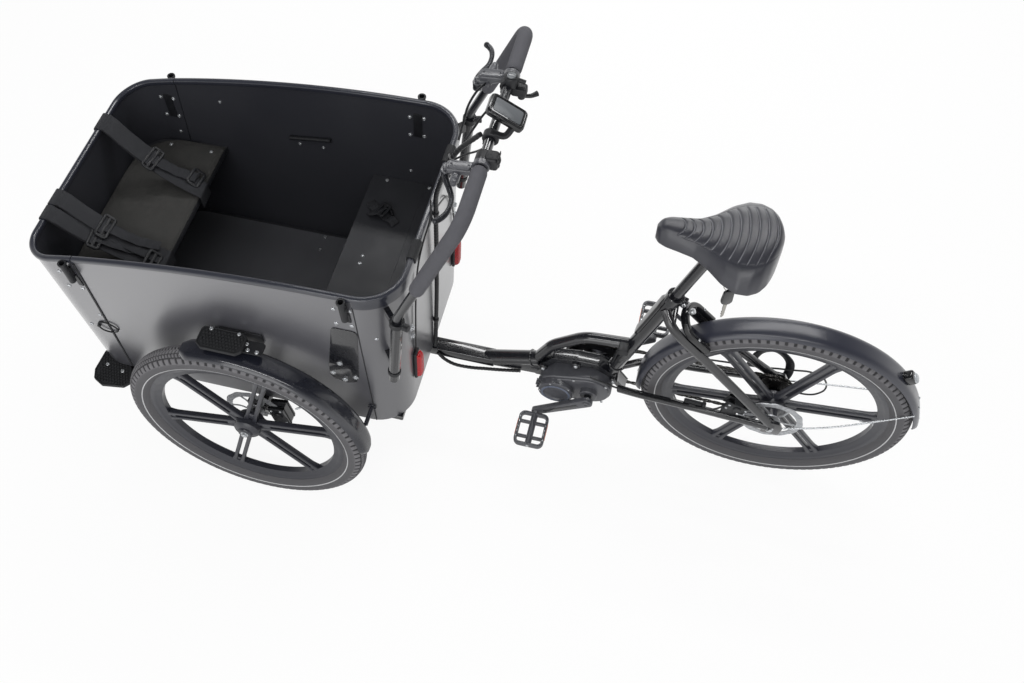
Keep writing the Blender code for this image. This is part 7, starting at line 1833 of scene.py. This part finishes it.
def studio():
    """A pale floor, a soft box above and one at each side, a strip lamp along each side, and a world that
    shows white to the camera, and in reflections fades from white at the horizon to dark overhead. The
    floor reflects darker round SHADED_PLACE, where a bike keeps the light of the room from it."""
    mesh = bpy.data.meshes.new("floor")
    reach = 30.0
    corners = [(-reach, -reach, 0), (reach, -reach, 0), (reach, reach, 0), (-reach, reach, 0)]
    mesh.from_pydata(corners, [], [(0, 1, 2, 3)])
    floor = bpy.data.objects.new("floor", mesh)
    floor.location.z = -0.0005
    bpy.context.scene.collection.objects.link(floor)
    paint = bpy.data.materials.new("white studio floor")
    paint.use_nodes = True
    tree = paint.node_tree
    shader = tree.nodes["Principled BSDF"]
    shader.inputs["Base Color"].default_value = (0.92, 0.92, 0.92, 1)
    shader.inputs["Roughness"].default_value = 0.9
    shader.inputs["Specular IOR Level"].default_value = 0.0
    glow = node(tree, "ShaderNodeEmission", {"Color": (1, 1, 1, 1), "Strength": 1.0})
    rays = node(tree, "ShaderNodeLightPath")
    seen = node(tree, "ShaderNodeMath", {0: rays.outputs["Is Camera Ray"], 1: rays.outputs["Is Glossy Ray"]},
                operation="MAXIMUM")
    seen = node(tree, "ShaderNodeMath", {0: seen.outputs[0], 1: rays.outputs["Is Transmission Ray"]},
                operation="MAXIMUM")
    share = node(tree, "ShaderNodeMath", {0: seen.outputs[0], 1: 0.92}, operation="MULTIPLY")
    place = node(tree, "ShaderNodeTexCoord")
    away = node(tree, "ShaderNodeVectorMath", {0: place.outputs["Object"], 1: SHADED_PLACE}, operation="DISTANCE")
    shade = node(tree, "ShaderNodeMapRange", {"Value": away.outputs["Value"], "From Min": 0.25, "From Max": 1.15,
                                              "To Min": 0.42, "To Max": 1.0})
    level = node(tree, "ShaderNodeMix", {0: rays.outputs["Is Glossy Ray"], 2: 1.0, 3: shade.outputs[0]})
    tree.links.new(level.outputs[0], glow.inputs["Strength"])
    blend_in = node(tree, "ShaderNodeMixShader", {0: share.outputs[0], 1: shader.outputs[0], 2: glow.outputs[0]})
    tree.links.new(blend_in.outputs[0], tree.nodes["Material Output"].inputs["Surface"])
    mesh.materials.append(paint)
    floor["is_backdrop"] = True

    world = bpy.data.worlds.new("studio")
    bpy.context.scene.world = world
    world.use_nodes = True
    tree = world.node_tree
    backdrop = tree.nodes["Background"]
    backdrop.inputs["Color"].default_value = (1, 1, 1, 1)
    rays = node(tree, "ShaderNodeLightPath")
    place = node(tree, "ShaderNodeTexCoord")
    parts = node(tree, "ShaderNodeSeparateXYZ", {0: place.outputs["Generated"]})
    sky = node(tree, "ShaderNodeMapRange", {"Value": parts.outputs["Z"], "From Min": 0.02, "From Max": 0.55,
                                            "To Min": 0.95, "To Max": 0.10})
    level = node(tree, "ShaderNodeMix", {0: rays.outputs["Is Glossy Ray"], 2: AMBIENT, 3: sky.outputs[0]})
    clear = node(tree, "ShaderNodeMath", {0: rays.outputs["Is Camera Ray"], 1: rays.outputs["Is Transmission Ray"]},
                 operation="MAXIMUM")
    shown = node(tree, "ShaderNodeMix", {0: clear.outputs[0], 2: level.outputs[0], 3: 1.0})
    tree.links.new(shown.outputs[0], backdrop.inputs["Strength"])

    for name, place, size, power in (("soft_box_above", (-0.4, 0.2, 3.6), (3.2, 3.2), 24.0),
                                     ("strip_left", (0.0, -2.3, 3.0), (3.4, 0.22), 30.0),
                                     ("strip_right", (0.0, 1.7, 3.1), (3.4, 0.22), 30.0),
                                     ("soft_box_left", (-0.6, -3.4, 1.6), (2.2, 2.2), 26.0),
                                     ("soft_box_right", (0.2, 3.4, 1.9), (2.2, 2.2), 26.0)):
        light = bpy.data.lights.new(name, "AREA")
        light.shape = "RECTANGLE"
        light.size, light.size_y = size
        light.energy = power
        lamp = bpy.data.objects.new(name, light)
        lamp.location = place
        lamp.visible_glossy = name != "soft_box_above"
        lamp.rotation_euler = (Vector((0, 0, 0.4)) - Vector(place)).to_track_quat("-Z", "Y").to_euler()
        bpy.context.scene.collection.objects.link(lamp)


def photo_camera():
    """The camera at the photograph's place: turned about the vertical, then pitched down."""
    data = bpy.data.cameras.new("photo_camera")
    data.lens = CAMERA_LENS
    data.sensor_width = SENSOR_WIDTH
    camera = bpy.data.objects.new("photo_camera", data)
    camera.location = Vector(CAMERA_PLACE) + Vector(SHIFT)
    camera.rotation_euler = (pi / 2 - CAMERA_PITCH, 0, CAMERA_TURN)
    bpy.context.scene.collection.objects.link(camera)
    bpy.context.scene.camera = camera


studio()
photo_camera()
bpy.context.scene.view_settings.view_transform = "Standard"

low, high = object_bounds()
